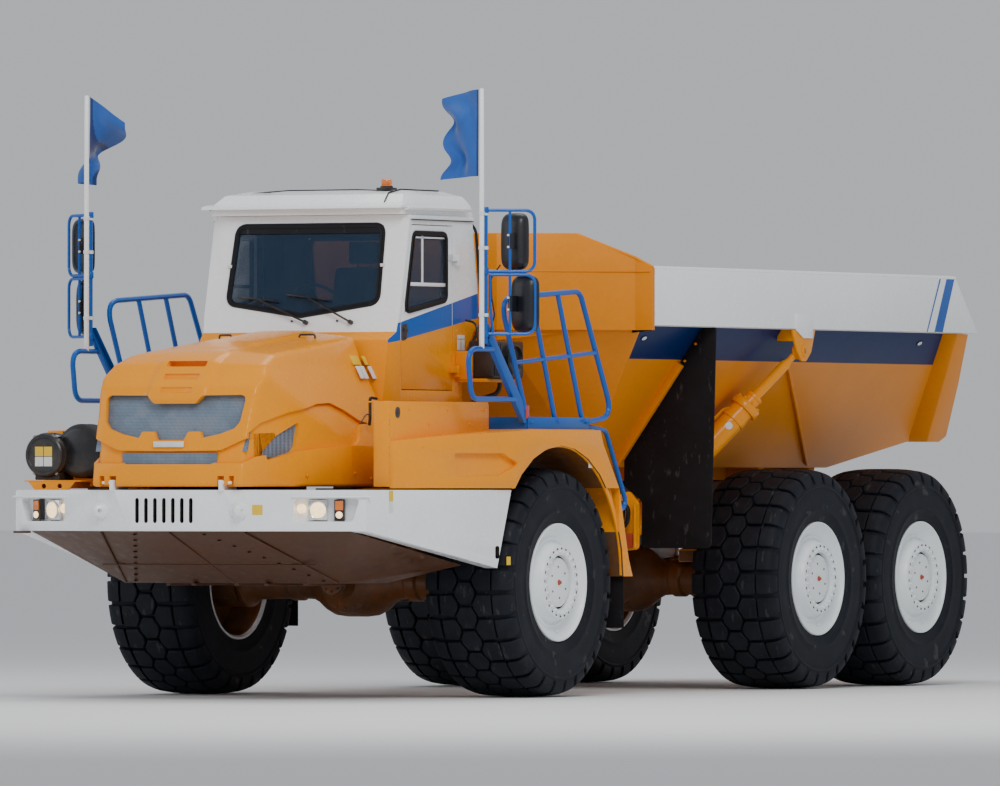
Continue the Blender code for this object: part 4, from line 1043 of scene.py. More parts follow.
    def copy_node(self, node: str, name: str | None = None) -> Shape:
        """A merged copy of a CAD node's mesh, measured from the front axle.

        Args:
            node: The node.
            name: The copy's name.

        Returns:
            The copy, with its flat faces whole again.
        """
        piece = self.nodes[node].copy()
        piece.data = self.nodes[node].data.copy()
        piece.parent = None
        for key in list(piece.keys()):
            if key.startswith("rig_"):
                del piece[key]
        bpy.context.scene.collection.objects.link(piece)
        piece.name = piece.data.name = name or node + "_shown"
        piece.data.materials.clear()
        piece.data.transform(Matrix.Translation(-self.shift))
        with self.editing(piece, "VERT"):
            bpy.ops.mesh.customdata_custom_splitnormals_clear()
            bpy.ops.mesh.remove_doubles(threshold=FINE_WELD)
            bpy.ops.mesh.dissolve_limited(angle_limit=math.radians(0.6))
            bpy.ops.mesh.normals_make_consistent(inside=False)
            bpy.ops.mesh.mark_sharp(clear=True)
        return piece

    # -- changing
    def apply(self, piece: Shape, kind: str, **settings: object) -> Shape:
        """Adds a modifier and applies it.

        Args:
            piece: The piece.
            kind: The modifier's type.
            **settings: Its settings.

        Returns:
            The same piece.
        """
        self.choose(piece)
        modifier = piece.modifiers.new(kind.lower(), kind)
        for key, value in settings.items():
            setattr(modifier, key, value)
        bpy.ops.object.modifier_apply(modifier=modifier.name)
        return piece

    def bevel(self, piece: Shape, width: float, segments: int = 2, angle: float = 30.0, worn: bool = False) -> Shape:
        """Rounds the edges that are sharper than an angle.

        Args:
            piece: The piece.
            width: The rounding's width.
            segments: Its steps.
            angle: The least angle, in degrees.
            worn: Whether the rounding takes the second finish.

        Returns:
            The same piece.
        """
        if width <= 0.0:
            return piece
        if worn:
            self.number(piece, 1)
        return self.apply(piece, "BEVEL", width=width, segments=segments, limit_method="ANGLE",
                          angle_limit=math.radians(angle), harden_normals=False, use_clamp_overlap=True,
                          material=1 if worn else -1, miter_outer="MITER_ARC")

    def soften(self, piece: Shape, levels: int = 2) -> Shape:
        """Subdivides a piece into a smooth one."""
        return self.apply(piece, "SUBSURF", levels=levels, render_levels=levels)

    def wall(self, piece: Shape, thickness: float, offset: float = -1.0) -> Shape:
        """Gives a sheet its thickness."""
        return self.apply(piece, "SOLIDIFY", thickness=thickness, offset=offset, use_even_offset=True)

    def boolean(self, piece: Shape, operation: str, *tools: Shape, keep: bool = False) -> Shape:
        """Cuts, joins or intersects a piece with others.

        Args:
            piece: The piece that stays.
            operation: DIFFERENCE, UNION or INTERSECT.
            *tools: The others.
            keep: Whether they are kept.

        Returns:
            The same piece.
        """
        for tool in tools:
            self.apply(piece, "BOOLEAN", operation=operation, solver="EXACT", object=tool)
        with self.editing(piece, "VERT"):
            bpy.ops.mesh.remove_doubles(threshold=0.00003)
        if not keep:
            self.scrap(*tools)
        return piece

    def cut(self, piece: Shape, *tools: Shape) -> Shape:
        """Cuts the tools out of a piece."""
        return self.boolean(piece, "DIFFERENCE", *tools)

    @staticmethod
    def scrap(*pieces: Shape) -> None:
        """Throws scratch pieces away.

        Args:
            *pieces: The pieces.
        """
        for piece in pieces:
            mesh = piece.data
            bpy.data.objects.remove(piece)
            bpy.data.meshes.remove(mesh)

    def fuse(self, name: str, *pieces: Shape) -> Shape:
        """Joins pieces into one.

        Args:
            name: The joined piece's name.
            *pieces: The pieces.

        Returns:
            The joined piece.
        """
        for piece in pieces:
            self.number(piece, 0)
        self.choose(*pieces)
        if len(pieces) > 1:
            bpy.ops.object.join()
        pieces[0].name = pieces[0].data.name = name
        return pieces[0]

    def again(self, piece: Shape, *moves: Matrix | Sequence[float]) -> list[Shape]:
        """Copies of a piece, each with its own mesh.

        Args:
            piece: The piece.
            *moves: Where each copy goes, as a matrix or an offset.

        Returns:
            The copies.
        """
        copies = []
        for move in moves:
            other = piece.copy()
            other.data = piece.data.copy()
            bpy.context.scene.collection.objects.link(other)
            matrix = move if isinstance(move, Matrix) else Matrix.Translation(Vector(move))
            other.data.transform(matrix)
            if matrix.determinant() < 0:
                other.data.flip_normals()
            copies.append(other)
        return copies

    def repeat(self, piece: Shape, *moves: Matrix | Sequence[float]) -> Shape:
        """One piece made of copies of a pattern, which is used up.

        Args:
            piece: The pattern.
            *moves: Where each copy goes, as a matrix or an offset.

        Returns:
            The piece.
        """
        copies = self.again(piece, *moves)
        name = piece.name
        self.scrap(piece)
        return self.fuse(name, *copies)

    def other_side(self, piece: Shape, name: str | None = None) -> Shape:
        """The same piece on the truck's other side."""
        copy = self.again(piece, Matrix.Scale(-1.0, 4, ACROSS))[0]
        copy.name = copy.data.name = name or piece.name.replace("_left", "_right")
        return copy

    def both(self, piece: Shape) -> Shape:
        """A piece and its mirror image as one."""
        name = piece.name
        return self.fuse(name, piece, self.other_side(piece, name + "_other"))

    def slice(self, piece: Shape, point: Sequence[float], normal: Sequence[float],
              test: FaceTest | None = None) -> None:
        """Cuts a line into the faces where a plane crosses them.

        Args:
            piece: The piece.
            point: A point of the plane.
            normal: Its normal.
            test: Which faces are cut. All of them, if it's left out.
        """
        with self.editing(piece):
            if test is None or self.pick(piece, "faces", test):
                bpy.ops.mesh.bisect(plane_co=point, plane_no=normal)

    @staticmethod
    def number(piece: Shape, last: int) -> None:
        """Gives a piece numbered stand-in materials, which tell its parts apart until it has its finishes.

        Args:
            piece: The piece.
            last: The last number that it needs.
        """
        for index in range(len(piece.data.materials), last + 1):
            name = f"part_{index}"
            piece.data.materials.append(bpy.data.materials.get(name) or bpy.data.materials.new(name))

    def tint(self, piece: Shape, number: int, test: PlaceTest | None = None) -> None:
        """Gives a finish to some of a piece's faces, or to all of them.

        Args:
            piece: The piece.
            number: The finish's place in the order that deliver() is given.
            test: Picks the faces by their middle and normal.
        """
        self.number(piece, number)
        for face in piece.data.polygons:
            if test is None or test(face.center, face.normal):
                face.material_index = number

    def smooth(self, piece: Shape, angle: float = 35.0) -> Shape:
        """Shades a piece smooth, apart from its sharp edges."""
        self.choose(piece)
        bpy.ops.object.shade_smooth_by_angle(angle=math.radians(angle))
        return piece

    # -- finishing
    def material(self, finish: object, worn: bool = False) -> bpy.types.Material:
        """The material of a finish, made once.

        Args:
            finish: The finish.
            worn: Whether it's the paint's version for edges.

        Returns:
            The material.
        """
        key = finish.name + ("_edge" if worn else "")
        if key not in self.stock:
            self.stock[key] = finish.make(worn=True) if worn else finish.make()
        return self.stock[key]

    def deliver(self, piece: Shape, body: str, slot: str, *finishes: object, replaces: Sequence[str] = (),
                angle: float = 35.0) -> Shape:
        """Puts a finished piece on the truck.

        Args:
            piece: The piece, measured from the front axle.
            body: The body that it rides on.
            slot: The record's material slot; it is not used.
            *finishes: Its finishes, in the order of its slots.
            replaces: The CAD nodes that it stands for.
            angle: The angle above which its edges are shaded sharp.

        Returns:
            The same piece.
        """
        piece.data.transform(Matrix.Translation(self.shift))
        self.smooth(piece, angle)
        uses = [poly.material_index for poly in piece.data.polygons]
        piece.data.materials.clear()
        for finish in finishes:
            worn = isinstance(finish, Worn)
            piece.data.materials.append(self.material(finish.paint if worn else finish, worn))
        for poly, number in zip(piece.data.polygons, uses):
            poly.material_index = min(number, len(finishes) - 1)
        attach(piece, body)
        if replaces:
            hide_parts(*replaces)
        self.count += 1
        LOG.info("%s on %s, %d faces", piece.name, body, len(piece.data.polygons))
        return piece

    def deliver_pair(self, piece: Shape, body: str, slot: str, *finishes: object, replaces: str = "") -> None:
        """Puts a left piece and its mirror image on the truck.

        Args:
            piece: The left piece. Its name has {} for the side, or else the side is added to it.
            body: The body that it rides on, with {} for the side where each side has its own.
            slot: The record's material slot.
            *finishes: Its finishes, in the order of its slots.
            replaces: The CAD node that it stands for, with {} for the side.
        """
        name = piece.name if "{}" in piece.name else piece.name + "_{}"
        pieces = {Side.LEFT: piece, Side.RIGHT: self.other_side(piece, name.format(Side.RIGHT.word))}
        piece.name = piece.data.name = name.format(Side.LEFT.word)
        for side, part in pieces.items():
            self.deliver(part, body.format(side.word), slot, *finishes,
                         replaces=(replaces.format(side.word),) if replaces else ())

    @staticmethod
    def close() -> None:
        """Throws the stand-in materials away."""
        for material in [one for one in bpy.data.materials if one.name.startswith("part_")]:
            bpy.data.materials.remove(material)


@dataclass(frozen=True)
class Worn:
    """A paint's version for rounded edges, where it has rubbed through."""

    paint: Paint


# ---------------------------------------------------------------- finishes
ORANGE = Paint("orange_enamel", (0.95, 0.33, 0.0), roughness=0.26, coat=0.12, fade=0.05, dust=0.04, gloss=0.25)
ORANGE_TUB = Paint("tub_enamel", (0.82, 0.26, 0.0), roughness=0.40, coat=0.04, fade=0.08, dust=0.05, dust_height=1.4,
                   gloss=0.2)
WHITE = Paint("white_enamel", (0.95, 0.98, 1.0), roughness=0.26, coat=0.35, fade=0.03, dust=0.10,
              under=(0.25, 0.12, 0.05))
RIM_WHITE = Paint("rim_enamel", (0.92, 0.97, 1.0), roughness=0.34, coat=0.2, fade=0.05, dust=0.15, dust_height=0.6)
BLUE = Paint("blue_enamel", (0.004, 0.105, 0.46), roughness=0.30, coat=0.2, fade=0.08, dust=0.05, gloss=0.25)
NAVY = Paint("navy_enamel", (0.0025, 0.017, 0.095), roughness=0.40, coat=0.05, fade=0.10, dust=0.04, gloss=0.15)
# FRAME and BELLY are dark browns: the orange enamel with its dirt, darkened further as painted shade under the truck.
FRAME = Chassis("frame_enamel", (0.20, 0.060, 0.004), dirt=0.6)
BELLY = Chassis("belly_enamel", (0.085, 0.024, 0.003), dirt=0.35)
# A dark brown for the insides of the arches and rims: dirt together with painted shade.
HOLLOW_DIRT_AND_SHADE = Chassis("fender_liner", (0.20, 0.065, 0.008), dirt=0.7)
TYRE = Rubber("tyre_rubber_worn")
HOSE = Rubber("hose_rubber", (0.010, 0.010, 0.012), dust=0.25, roughness=0.5, grain=0.5)
FLAP = Rubber("flap_rubber", (0.006, 0.004, 0.005), dust=0.12, roughness=0.75)
GASKET = Rubber("gasket_rubber", (0.006, 0.006, 0.008), dust=0.1, roughness=0.45, grain=0.4)
BLACK = Moulded("black_moulding", (0.010, 0.011, 0.014), roughness=0.38)
HOUSING = Moulded("mirror_housing", (0.008, 0.010, 0.016), roughness=0.36, grime=0.04)
SATIN = Moulded("satin_black_steel", (0.016, 0.017, 0.021), roughness=0.3, grain=60.0, grime=0.15)
SHADOW = Moulded("dark_recess", (0.004, 0.004, 0.005), roughness=0.85, grime=0.1)
# INSIDE is a near-black blue for the cab's inside faces: painted shade inside the cab.
INSIDE = Moulded("cab_lining", (0.012, 0.028, 0.060), roughness=0.8, grime=0.04)
STEEL = Metal("bare_steel", (0.36, 0.35, 0.34), roughness=0.38, stain=0.5)
CHROME = Metal("chromed_steel", (0.78, 0.79, 0.80), roughness=0.12, stain=0.15)
CASTING = Moulded("iron_casting", (0.075, 0.058, 0.048), roughness=0.55, grain=45.0, depth=0.002, grime=0.5)
GLASS = Pane("cab_glass")
MIRROR = Metal("mirror_silver", (0.72, 0.76, 0.80), roughness=0.05, stain=0.05)
LIT_LENS = Lens("lit_lens", (1.0, 0.72, 0.38), glow=2.2)
AMBER_LENS = Lens("amber_lens", (0.90, 0.22, 0.02), glow=0.1)
# The red reflector is no lamp: its faint glow is a painted glint.
RED_LENS = Lens("red_lens", (0.60, 0.02, 0.015), glow=0.05)
LABEL_WHITE = Moulded("label_white", (0.78, 0.80, 0.80), roughness=0.35, grime=0.15)
LABEL_YELLOW = Moulded("label_yellow", (0.85, 0.55, 0.02), roughness=0.35, grime=0.15)
PLUG_RED = Moulded("plug_red", (0.45, 0.05, 0.02), roughness=0.4)
NOSE_MESH = Mesh("nose_mesh")
FLAG_BLUE = Cloth("flag_cloth_blue", (0.012, 0.10, 0.42))
FLAG_SLEEVE = Cloth("flag_cloth_sleeve", (0.006, 0.03, 0.16))
SEAT_CLOTH = Cloth("seat_cloth_grey", (0.05, 0.055, 0.065), sheen=0.2)
TUB_WORN = LoadWorn("tub_inside", (0.62, 0.20, 0.01))
FLOOR = Ground("studio_floor")


# ---------------------------------------------------------------- wheels
@dataclass
class Wheels:
    """Six earthmover tyres on dished rims."""

    bench: Bench
    radius: float = 0.88
    track: float = 2.82
    axles: tuple[tuple[str, float], ...] = (("front", 0.0), ("middle", 4.385), ("rear", 6.22))
    pitches: int = 28
    tread_depth: float = 0.036
    hub_face: float = -0.41
    studs: int = 24
    stud_circle: float = 0.236

    def crown(self, across: float) -> float:
        """The tread's radius at a distance from the tyre's middle."""
        return self.radius - 0.42 * max(0.0, abs(across) - 0.10) ** 2

    def carcass(self) -> Shape:
        """The tyre's body: sidewalls with their rings, and the floor of the tread's grooves."""
        side = [(0.315, 0.455), (0.345, 0.463), (0.352, 0.50), (0.360, 0.538), (0.366, 0.546), (0.366, 0.560),
                (0.362, 0.568), (0.368, 0.62), (0.368, 0.69), (0.366, 0.722), (0.374, 0.730), (0.376, 0.738),
                (0.370, 0.748), (0.362, 0.765), (0.350, 0.795), (0.330, 0.818), (0.290, 0.834), (0.15, 0.842)]
        profile = [(-v, r) for v, r in side] + [(0.0, 0.844)] + list(reversed(side))
        return self.bench.spun("carcass", profile + [profile[0]], ORIGIN, ACROSS, 72)

    def tread_block(self, name: str, outline: Outline) -> Shape:
        """One rubber block, bent to the tyre's curve.

        Args:
            name: Its name.
            outline: Its corners, (across, along) the tread.

        Returns:
            The block at the top of a tyre whose hub is at the origin.
        """
        bench = self.bench
        block = bench.slab(name, rounded(outline, 0.012, 2), Along.Z, -self.tread_depth - 0.012, 0.0)
        with bench.editing(block):
            bench.pick(block, "edges", lambda edge: all(vert.co.z > -0.001 for vert in edge.verts))
            bpy.ops.mesh.bevel(offset=0.007, segments=1, affect="EDGES")
            bpy.ops.mesh.select_all(action="SELECT")
            bpy.ops.mesh.bisect(plane_co=(0, 0, 0), plane_no=(0, 1, 0))
        for vert in block.data.vertices:
            vert.co.z += self.crown(vert.co.x) - vert.co.y ** 2 / (2 * self.radius)
        return block

    def shoulder_block(self) -> Shape:
        """A block at the tread's edge, which runs down the shoulder as a lug."""
        bench = self.bench
        section = [(0.238, 0.80), (0.238, self.crown(0.238)), (0.30, self.crown(0.30)), (0.338, 0.851),
                   (0.358, 0.832), (0.368, 0.800), (0.372, 0.770), (0.368, 0.752), (0.350, 0.748), (0.30, 0.79)]
        block = bench.slab("shoulder", section, Along.Y, -0.080, 0.080)
        with bench.editing(block):
            bench.pick(block, "edges", lambda edge: abs(edge.verts[0].co.y - edge.verts[1].co.y) < 1e-5
                       and max(vert.co.z for vert in edge.verts) > 0.76
                       and min(vert.co.x for vert in edge.verts) > 0.237
                       and min(vert.co.z for vert in edge.verts) > 0.76)
            bpy.ops.mesh.bevel(offset=0.007, segments=1, affect="EDGES")
            bpy.ops.mesh.select_all(action="SELECT")
            bpy.ops.mesh.bisect(plane_co=(0, 0, 0), plane_no=(0, 1, 0))
        for vert in block.data.vertices:
            taper = 1.0 - 0.30 * max(0.0, (0.835 - vert.co.z) / 0.085)
            vert.co.y *= taper
            vert.co.z -= vert.co.y ** 2 / (2 * self.radius)
        return block

    def tyre(self) -> Shape:
        """The whole tyre, with its hub at the origin."""
        bench = self.bench
        half = math.tau * self.radius / self.pitches / 2 - 0.0125
        centre = [(0.047, half), (0.084, 0.022), (0.084, -0.022), (0.047, -half), (-0.047, -half), (-0.084, -0.022),
                  (-0.084, 0.022), (-0.047, half)]
        inner = [(0.106, half), (0.069, 0.022), (0.069, -0.022), (0.106, -half), (0.222, -half + 0.006),
                 (0.222, half - 0.006)]
        blocks = [(self.tread_block("centre", centre), 0.0), (self.tread_block("inner", inner), 0.5),
                  (self.shoulder_block(), 0.5)]
        blocks += [(bench.other_side(block, "far"), phase) for block, phase in blocks[1:]]
        parts = [self.carcass()]
        for block, phase in blocks:
            parts.append(bench.repeat(block, *even_turns(self.pitches, "X", phase)))
        return bench.fuse("tyre", *parts)

    def rim(self) -> Shape:
        """The dished rim with its ring of studs, its sunk cap and plug, with its hub at the origin."""
        bench = self.bench
        outer = [(0.322, 0.4545), (0.350, 0.4545), (0.356, 0.449), (0.354, 0.440), (0.340, 0.434), (0.322, 0.424),
                 (0.304, 0.400), (0.288, 0.372), (0.282, 0.360), (0.282, 0.350), (0.292, 0.346), (0.292, 0.330),
                 (0.280, 0.326), (0.278, 0.314), (0.286, 0.308), (0.330, 0.296), (0.356, 0.288), (0.368, 0.280),
                 (0.371, 0.272), (0.371, 0.216), (0.368, 0.210), (0.330, 0.206), (0.326, 0.200), (0.326, 0.192),
                 (0.346, 0.188), (0.350, 0.182), (0.352, 0.06), (0.352, 0.0)]
        inner = [(self.hub_face, 0.0), (self.hub_face, 0.199), (-0.075, 0.199), (-0.062, 0.212), (-0.062, 0.372),
                 (-0.075, 0.402), (-0.30, 0.412), (-0.325, 0.424), (-0.345, 0.440), (-0.345, 0.4545),
                 (-0.322, 0.4545)]
        dish = bench.spun("rim", inner + outer, ORIGIN, ACROSS, 72)
        # The rim's inner side is painted dark brown: dirt and the painted shade inside the wheel.
        bench.tint(dish, 3, lambda place, normal: place.x < 0.05 and math.hypot(place.y, place.z) < 0.43)
        # The groove round the sunk cap is painted near-black: painted shade.
        bench.tint(dish, 1, lambda place, normal: place.x > 0.31 and 0.190 < math.hypot(place.y, place.z) < 0.2065)
        stud = bench.spun("stud", [(0.366, 0.0125), (0.384, 0.0125), (0.387, 0.010), (0.387, 0.0)], ORIGIN, ACROSS, 6)
        studs = bench.repeat(stud, *[turn @ Matrix.Translation((0, 0, self.stud_circle))
                                     for turn in even_turns(self.studs, "X")])
        # The slots are thin near-black blocks: painted shade of slots in the hub.
        slot = bench.block("slot", (0.3695, -0.011, 0.254), (0.3722, 0.011, 0.268), 0.001, 1)
        slots = bench.repeat(slot, *even_turns(self.studs, "X", 0.5))
        bench.tint(slots, 1)
        stem = bench.rod("stem", (0.27, 0.02, -0.385), (0.325, 0.02, -0.372), 0.006, 8, 0.001)
        plug = bench.spun("plug", [(0.350, 0.022), (0.358, 0.021), (0.361, 0.014), (0.372, 0.012), (0.374, 0.009),
                                   (0.374, 0.0)],
                          ORIGIN, ACROSS, 10)
        bench.tint(plug, 2)
        # The holes are thin near-black discs: painted shade of holes in the dish.
        holes = bench.repeat(bench.rod("hole", (0.3515, 0, 0.120), (0.3535, 0, 0.120), 0.008, 8, 0.0),
                             *even_turns(6, "X"))
        bench.tint(holes, 1)
        return bench.fuse("rim", dish, studs, slots, stem, plug, holes)

    def build(self) -> None:
        """Builds one wheel and puts a copy of it on each end of each axle."""
        bench = self.bench
        patterns = (("tyre", self.tyre(), (TYRE,), "tyre_rubber"),
                    ("rim", self.rim(), (RIM_WHITE, SHADOW, PLUG_RED, HOLLOW_DIRT_AND_SHADE), "white_paint"))
        for number, (axle, y) in enumerate(self.axles):
            for side in Side:
                mirror = Matrix.Scale(float(side.value), 4, ACROSS)
                turn = Matrix.Rotation(math.radians(5.0 + 4.1 * number + (1 - side.value) * 3.3), 4, "X")
                move = Matrix.Translation((side.value * self.track / 2, y, self.radius)) @ mirror @ turn
                for word, pattern, finishes, slot in patterns:
                    piece = bench.again(pattern, move)[0]
                    piece.name = piece.data.name = f"{word}_{axle}_{side.word}_shown"
                    bench.deliver(piece, f"wheel_{axle}_{side.word}", slot, *finishes,
                                  replaces=(f"{word}_{axle}_{side.word}",),
                                  angle=40.0)
        bench.scrap(*[pattern for _, pattern, _, _ in patterns])


# ---------------------------------------------------------------- studio
@dataclass
class Studio:
    """The pale floor, the soft lights and the camera."""

    azimuth: float = 28.557
    pitch: float = 0.4506
    distance: float = 95.0
    lens: float = 431.6
    sideways: float = -0.0641
    eye_height: float = 1.610
    sky: Colour = (0.92, 0.95, 1.0)
    sky_strength: float = 0.56
    target: Point = (0.0, -0.5, 1.6)
    lamps: tuple[tuple[str, Point, float, float, Colour], ...] = (
        ("key", (9.0, -13.0, 12.0), 7.0, 1250.0, (1.0, 0.985, 0.96)),
        ("fill", (-11.0, -12.0, 6.0), 8.0, 250.0, (0.93, 0.96, 1.0)),
        ("top", (0.0, 1.0, 13.0), 9.0, 600.0, (1.0, 1.0, 1.0)))

    def floor(self, bench: Bench) -> None:
        """Lays the floor.

        Args:
            bench: The bench.
        """
        bpy.ops.mesh.primitive_plane_add(size=600.0, location=(0, 0, -0.002))
        floor = bench.ground("studio_floor")
        with bench.editing(floor):
            bpy.ops.mesh.subdivide(number_cuts=3)
        floor.data.materials.append(bench.material(FLOOR))
        floor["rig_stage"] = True

    def lamp(self, name: str, place: Point, size: float, power: float, colour: Colour) -> None:
        """Hangs a soft square light that looks at the truck.

        Args:
            name: Its name.
            place: Where it hangs.
            size: The length of its side.
            power: Its power in watts.
            colour: Its colour.
        """
        light = bpy.data.lights.new(name, "AREA")
        light.shape, light.size, light.energy, light.color = "SQUARE", size, power, colour
        holder = bpy.data.objects.new(name, light)
        holder.location = place
        holder.rotation_euler = (Vector(self.target) - Vector(place)).to_track_quat("-Z", "Y").to_euler()
        bpy.context.scene.collection.objects.link(holder)

    def lights(self) -> None:
        """Sets the sky and the lamps."""
        world = bpy.data.worlds.new("studio")
        bpy.context.scene.world = world
        world.use_nodes = True
        sky = world.node_tree.nodes["Background"]
        sky.inputs["Color"].default_value = (*self.sky, 1.0)
        sky.inputs["Strength"].default_value = self.sky_strength
        for lamp in self.lamps:
            self.lamp(*lamp)

    def camera(self) -> None:
        """Sets the camera at a low three-quarter view, far off with a long lens."""
        turn, tilt = math.radians(self.azimuth), math.radians(self.pitch)
        right = Vector((math.cos(turn), math.sin(turn), 0.0))
        place = Vector((math.sin(turn), -math.cos(turn), 0.0)) * self.distance + right * self.sideways
        forward = Vector((-math.sin(turn) * math.cos(tilt), math.cos(turn) * math.cos(tilt), math.sin(tilt)))
        data = bpy.data.cameras.new("camera")
        data.lens, data.sensor_width, data.clip_end = self.lens, 36.0, 500.0
        camera = bpy.data.objects.new("camera", data)
        camera.location = place + Vector((0, 0, self.eye_height))
        camera.rotation_mode = "QUATERNION"
        camera.rotation_quaternion = forward.to_track_quat("-Z", "Y")
        bpy.context.scene.collection.objects.link(camera)
        bpy.context.scene.camera = camera

    def build(self, bench: Bench) -> None:
        """Sets up the whole studio."""
        self.floor(bench)
        self.lights()
        self.camera()


# ---------------------------------------------------------------- hood
@dataclass
class Hood:
    """The forward-tilting hood: a moulded upper shell with an overhanging crease, and the body under it."""

    bench: Bench
    front: float = -2.965
    rear: float = -1.10
    low: float = 1.615
    half_width: float = 0.95
    wall: float = 0.04
    grain: float = 0.02
    crown: float = 0.045
    hinge: tuple[float, float] = (-2.955, 1.645)
    side_crease: tuple[tuple[float, float], ...] = (
        (-3.20, 1.975), (-2.93, 1.985), (-2.745, 2.095), (-2.48, 2.172), (-2.11, 2.240), (-1.89, 2.249),
        (-1.73, 2.197), (-1.56, 2.118), (-1.39, 2.086), (-1.00, 2.080))
    nose_crease: tuple[tuple[float, float], ...] = ((0.0, 1.882), (0.44, 1.886), (0.66, 1.980), (0.72, 1.985))
    ridge: tuple[tuple[float, float], ...] = (
        (-3.20, 1.776), (-2.93, 1.790), (-2.79, 1.840), (-2.185, 1.902), (-1.744, 1.930), (-1.66, 1.960),
        (-1.60, 2.050), (-1.56, 2.088), (-1.264, 2.104))
    grille_outline: tuple[tuple[float, float], ...] = (
        (0.18, 2.240), (0.24, 2.302), (0.61, 2.305), (0.585, 2.10), (0.545, 2.052), (0.43, 2.012), (0.275, 1.980),
        (0.250, 2.030), (0.150, 2.030), (0.118, 1.966))
    vent_outline: tuple[tuple[float, float], ...] = (
        (-2.700, 1.880), (-2.560, 2.000), (-2.330, 2.108), (-2.375, 1.905), (-2.420, 1.872), (-2.690, 1.812))

    def nose(self, z: float) -> float:
        """Where the nose's face is at a height.

        Args:
            z: The height.

        Returns:
            The place along Y.
        """
        places = ((1.66, -2.965), (2.00, -2.90), (2.36, -2.79), (2.54, -2.62))
        for (z0, y0), (z1, y1) in zip(places, places[1:]):
            if z <= z1:
                return y0 + (y1 - y0) * (z - z0) / (z1 - z0)
        return places[-1][1]

    def form(self, name: str, inset: float, low: float, soft: bool) -> Shape:
        """The hood as one block: its side view, its plan and its front view taken together.

        Args:
            name: Its name.
            inset: How far inside the outer shape it stays.
            low: Its lower end.
            soft: Whether its edges are moulded round.

        Returns:
            The block.
        """
        bench, rear = self.bench, self.rear + (0.3 if not soft else 0.0)
        side = [(self.front + inset, low), (self.front + inset, 1.66), (-2.90 + inset, 2.00), (-2.79 + inset, 2.36),
                (-2.62 + inset, 2.54 - inset),
                (-2.42 + inset, 2.61 - inset), (rear, 2.61 + 0.11 * (rear + 2.42) - inset), (rear, low)]
        width = self.half_width - inset
        plan = flipped([(0.60 - inset, -3.2), (0.68 - inset, -2.80), (0.85 - inset, -2.25), (width, -1.80),
                        (width, 0.0)])
        view = flipped([(0.95 - inset, low - 0.1), (0.95 - inset, 1.92), (0.88 - inset, 2.12), (0.67 - inset, 2.52),
                        (0.50 - inset, 2.95)])
        block = bench.slab(name, side, Along.X, -1.0, 1.0)
        bench.boolean(block, "INTERSECT", bench.slab("plan", plan, Along.Z, 1.0, 3.2),
                      bench.slab("view", view, Along.Y, -3.3, 0.5))
        if soft:
            bench.apply(block, "REMESH", mode="VOXEL", voxel_size=self.grain, use_smooth_shade=True)
            bench.apply(block, "SMOOTH", factor=0.5, iterations=14)
            self.sculpt(block)
        return block

    def sculpt(self, block: Shape) -> None:
        """Raises the crown of the top and the boss over the grille.

        Args:
            block: The moulded block.
        """
        for vert in block.data.vertices:
            place = vert.co
            high = min(1.0, max(0.0, (place.z - 2.30) / 0.22))
            across = min(1.0, abs(place.x) / 0.66)
            back = min(1.0, max(0.0, (place.y + 2.75) / 0.5))
            vert.co.z += self.crown * high * back * (1.0 - across ** 2)
            ramp = min(1.0, max(0.0, (place.y + 2.35) / 0.35)) * min(1.0, max(0.0, (0.30 - abs(place.x)) / 0.07))
            vert.co.z += 0.018 * ramp * high
            tip = min(1.0, max(0.0, (0.262 - abs(place.x)) / 0.03)) * min(1.0, max(0.0, (place.z - 2.22) / 0.05))
            tip *= min(1.0, max(0.0, (-2.36 - place.y) / 0.16))
            vert.co.y -= 0.026 * tip * (1.0 - 0.5 * high)
            vert.co.z += 0.014 * tip * high

    def crease_tools(self, drop: float) -> list[Shape]:
        """Blocks that take away all below the crease.

        Args:
            drop: How far below the crease they stop.

        Returns:
            The block across the nose and the one on each side.
        """
        bench = self.bench
        line = [(x, z - drop) for x, z in self.nose_crease]
        across = bench.slab("nose_tool", flipped(rounded(line + [(0.72, 1.0)], [0, 0.2, 0.1, 0, 0], 5)), Along.Y,
                            -3.4, -2.0)
        side = rounded([(y, z - drop) for y, z in self.side_crease], 0.10, 4, closed=False)
        along = bench.slab("side_tool", [*side, Vector((-0.2, side[-1].y)), Vector((-0.2, 1.0)), Vector((-3.2, 1.0))],
                           Along.X, 0.655, 1.3)
        return [across, along, bench.other_side(along, "side_tool_right")]

    def grille_tool(self) -> Shape:
        """The grille's opening, pushed through the nose."""
        half = [(0.0, self.grille_outline[0][1])] + list(self.grille_outline) + [(0.0, self.grille_outline[-1][1])]
        radii = [0, 0.03, 0.03, 0.04, 0.05, 0.05, 0.04, 0.01, 0.012, 0.012, 0.01, 0]
        outline = flipped([(p.x, p.y) for p in rounded(half, radii, 3)])
        return self.bench.slab("grille_tool", outline, Along.Y, -3.3, -2.5)

    def upper(self) -> Shape:
        """The upper shell with its grille opening, ledges and lip."""
        bench = self.bench
        shell = self.form("hood_upper", 0.0, 1.5, soft=True)
        hollow = self.form("hollow", self.wall, 1.2, soft=False)
        bench.cut(shell, hollow, *self.crease_tools(0.0), self.grille_tool())
        ledges = []
        for z, half in ((2.552, 0.172), (2.455, 0.152), (2.352, 0.135)):
            y = self.nose(z) - 0.036 + (0.06 if z > 2.5 else 0.0)
            outline = [(y - 0.10, z - 0.030), (y + 0.020, z - 0.030), (y + 0.030, z + 0.012), (y - 0.10, z + 0.012)]
            ledges.append(bench.bevel(bench.slab("ledge", outline, Along.X, -half, half), 0.008, 2, 40))
        bench.cut(shell, *ledges)
        return bench.bevel(shell, 0.007, 2, 42.0, worn=True)

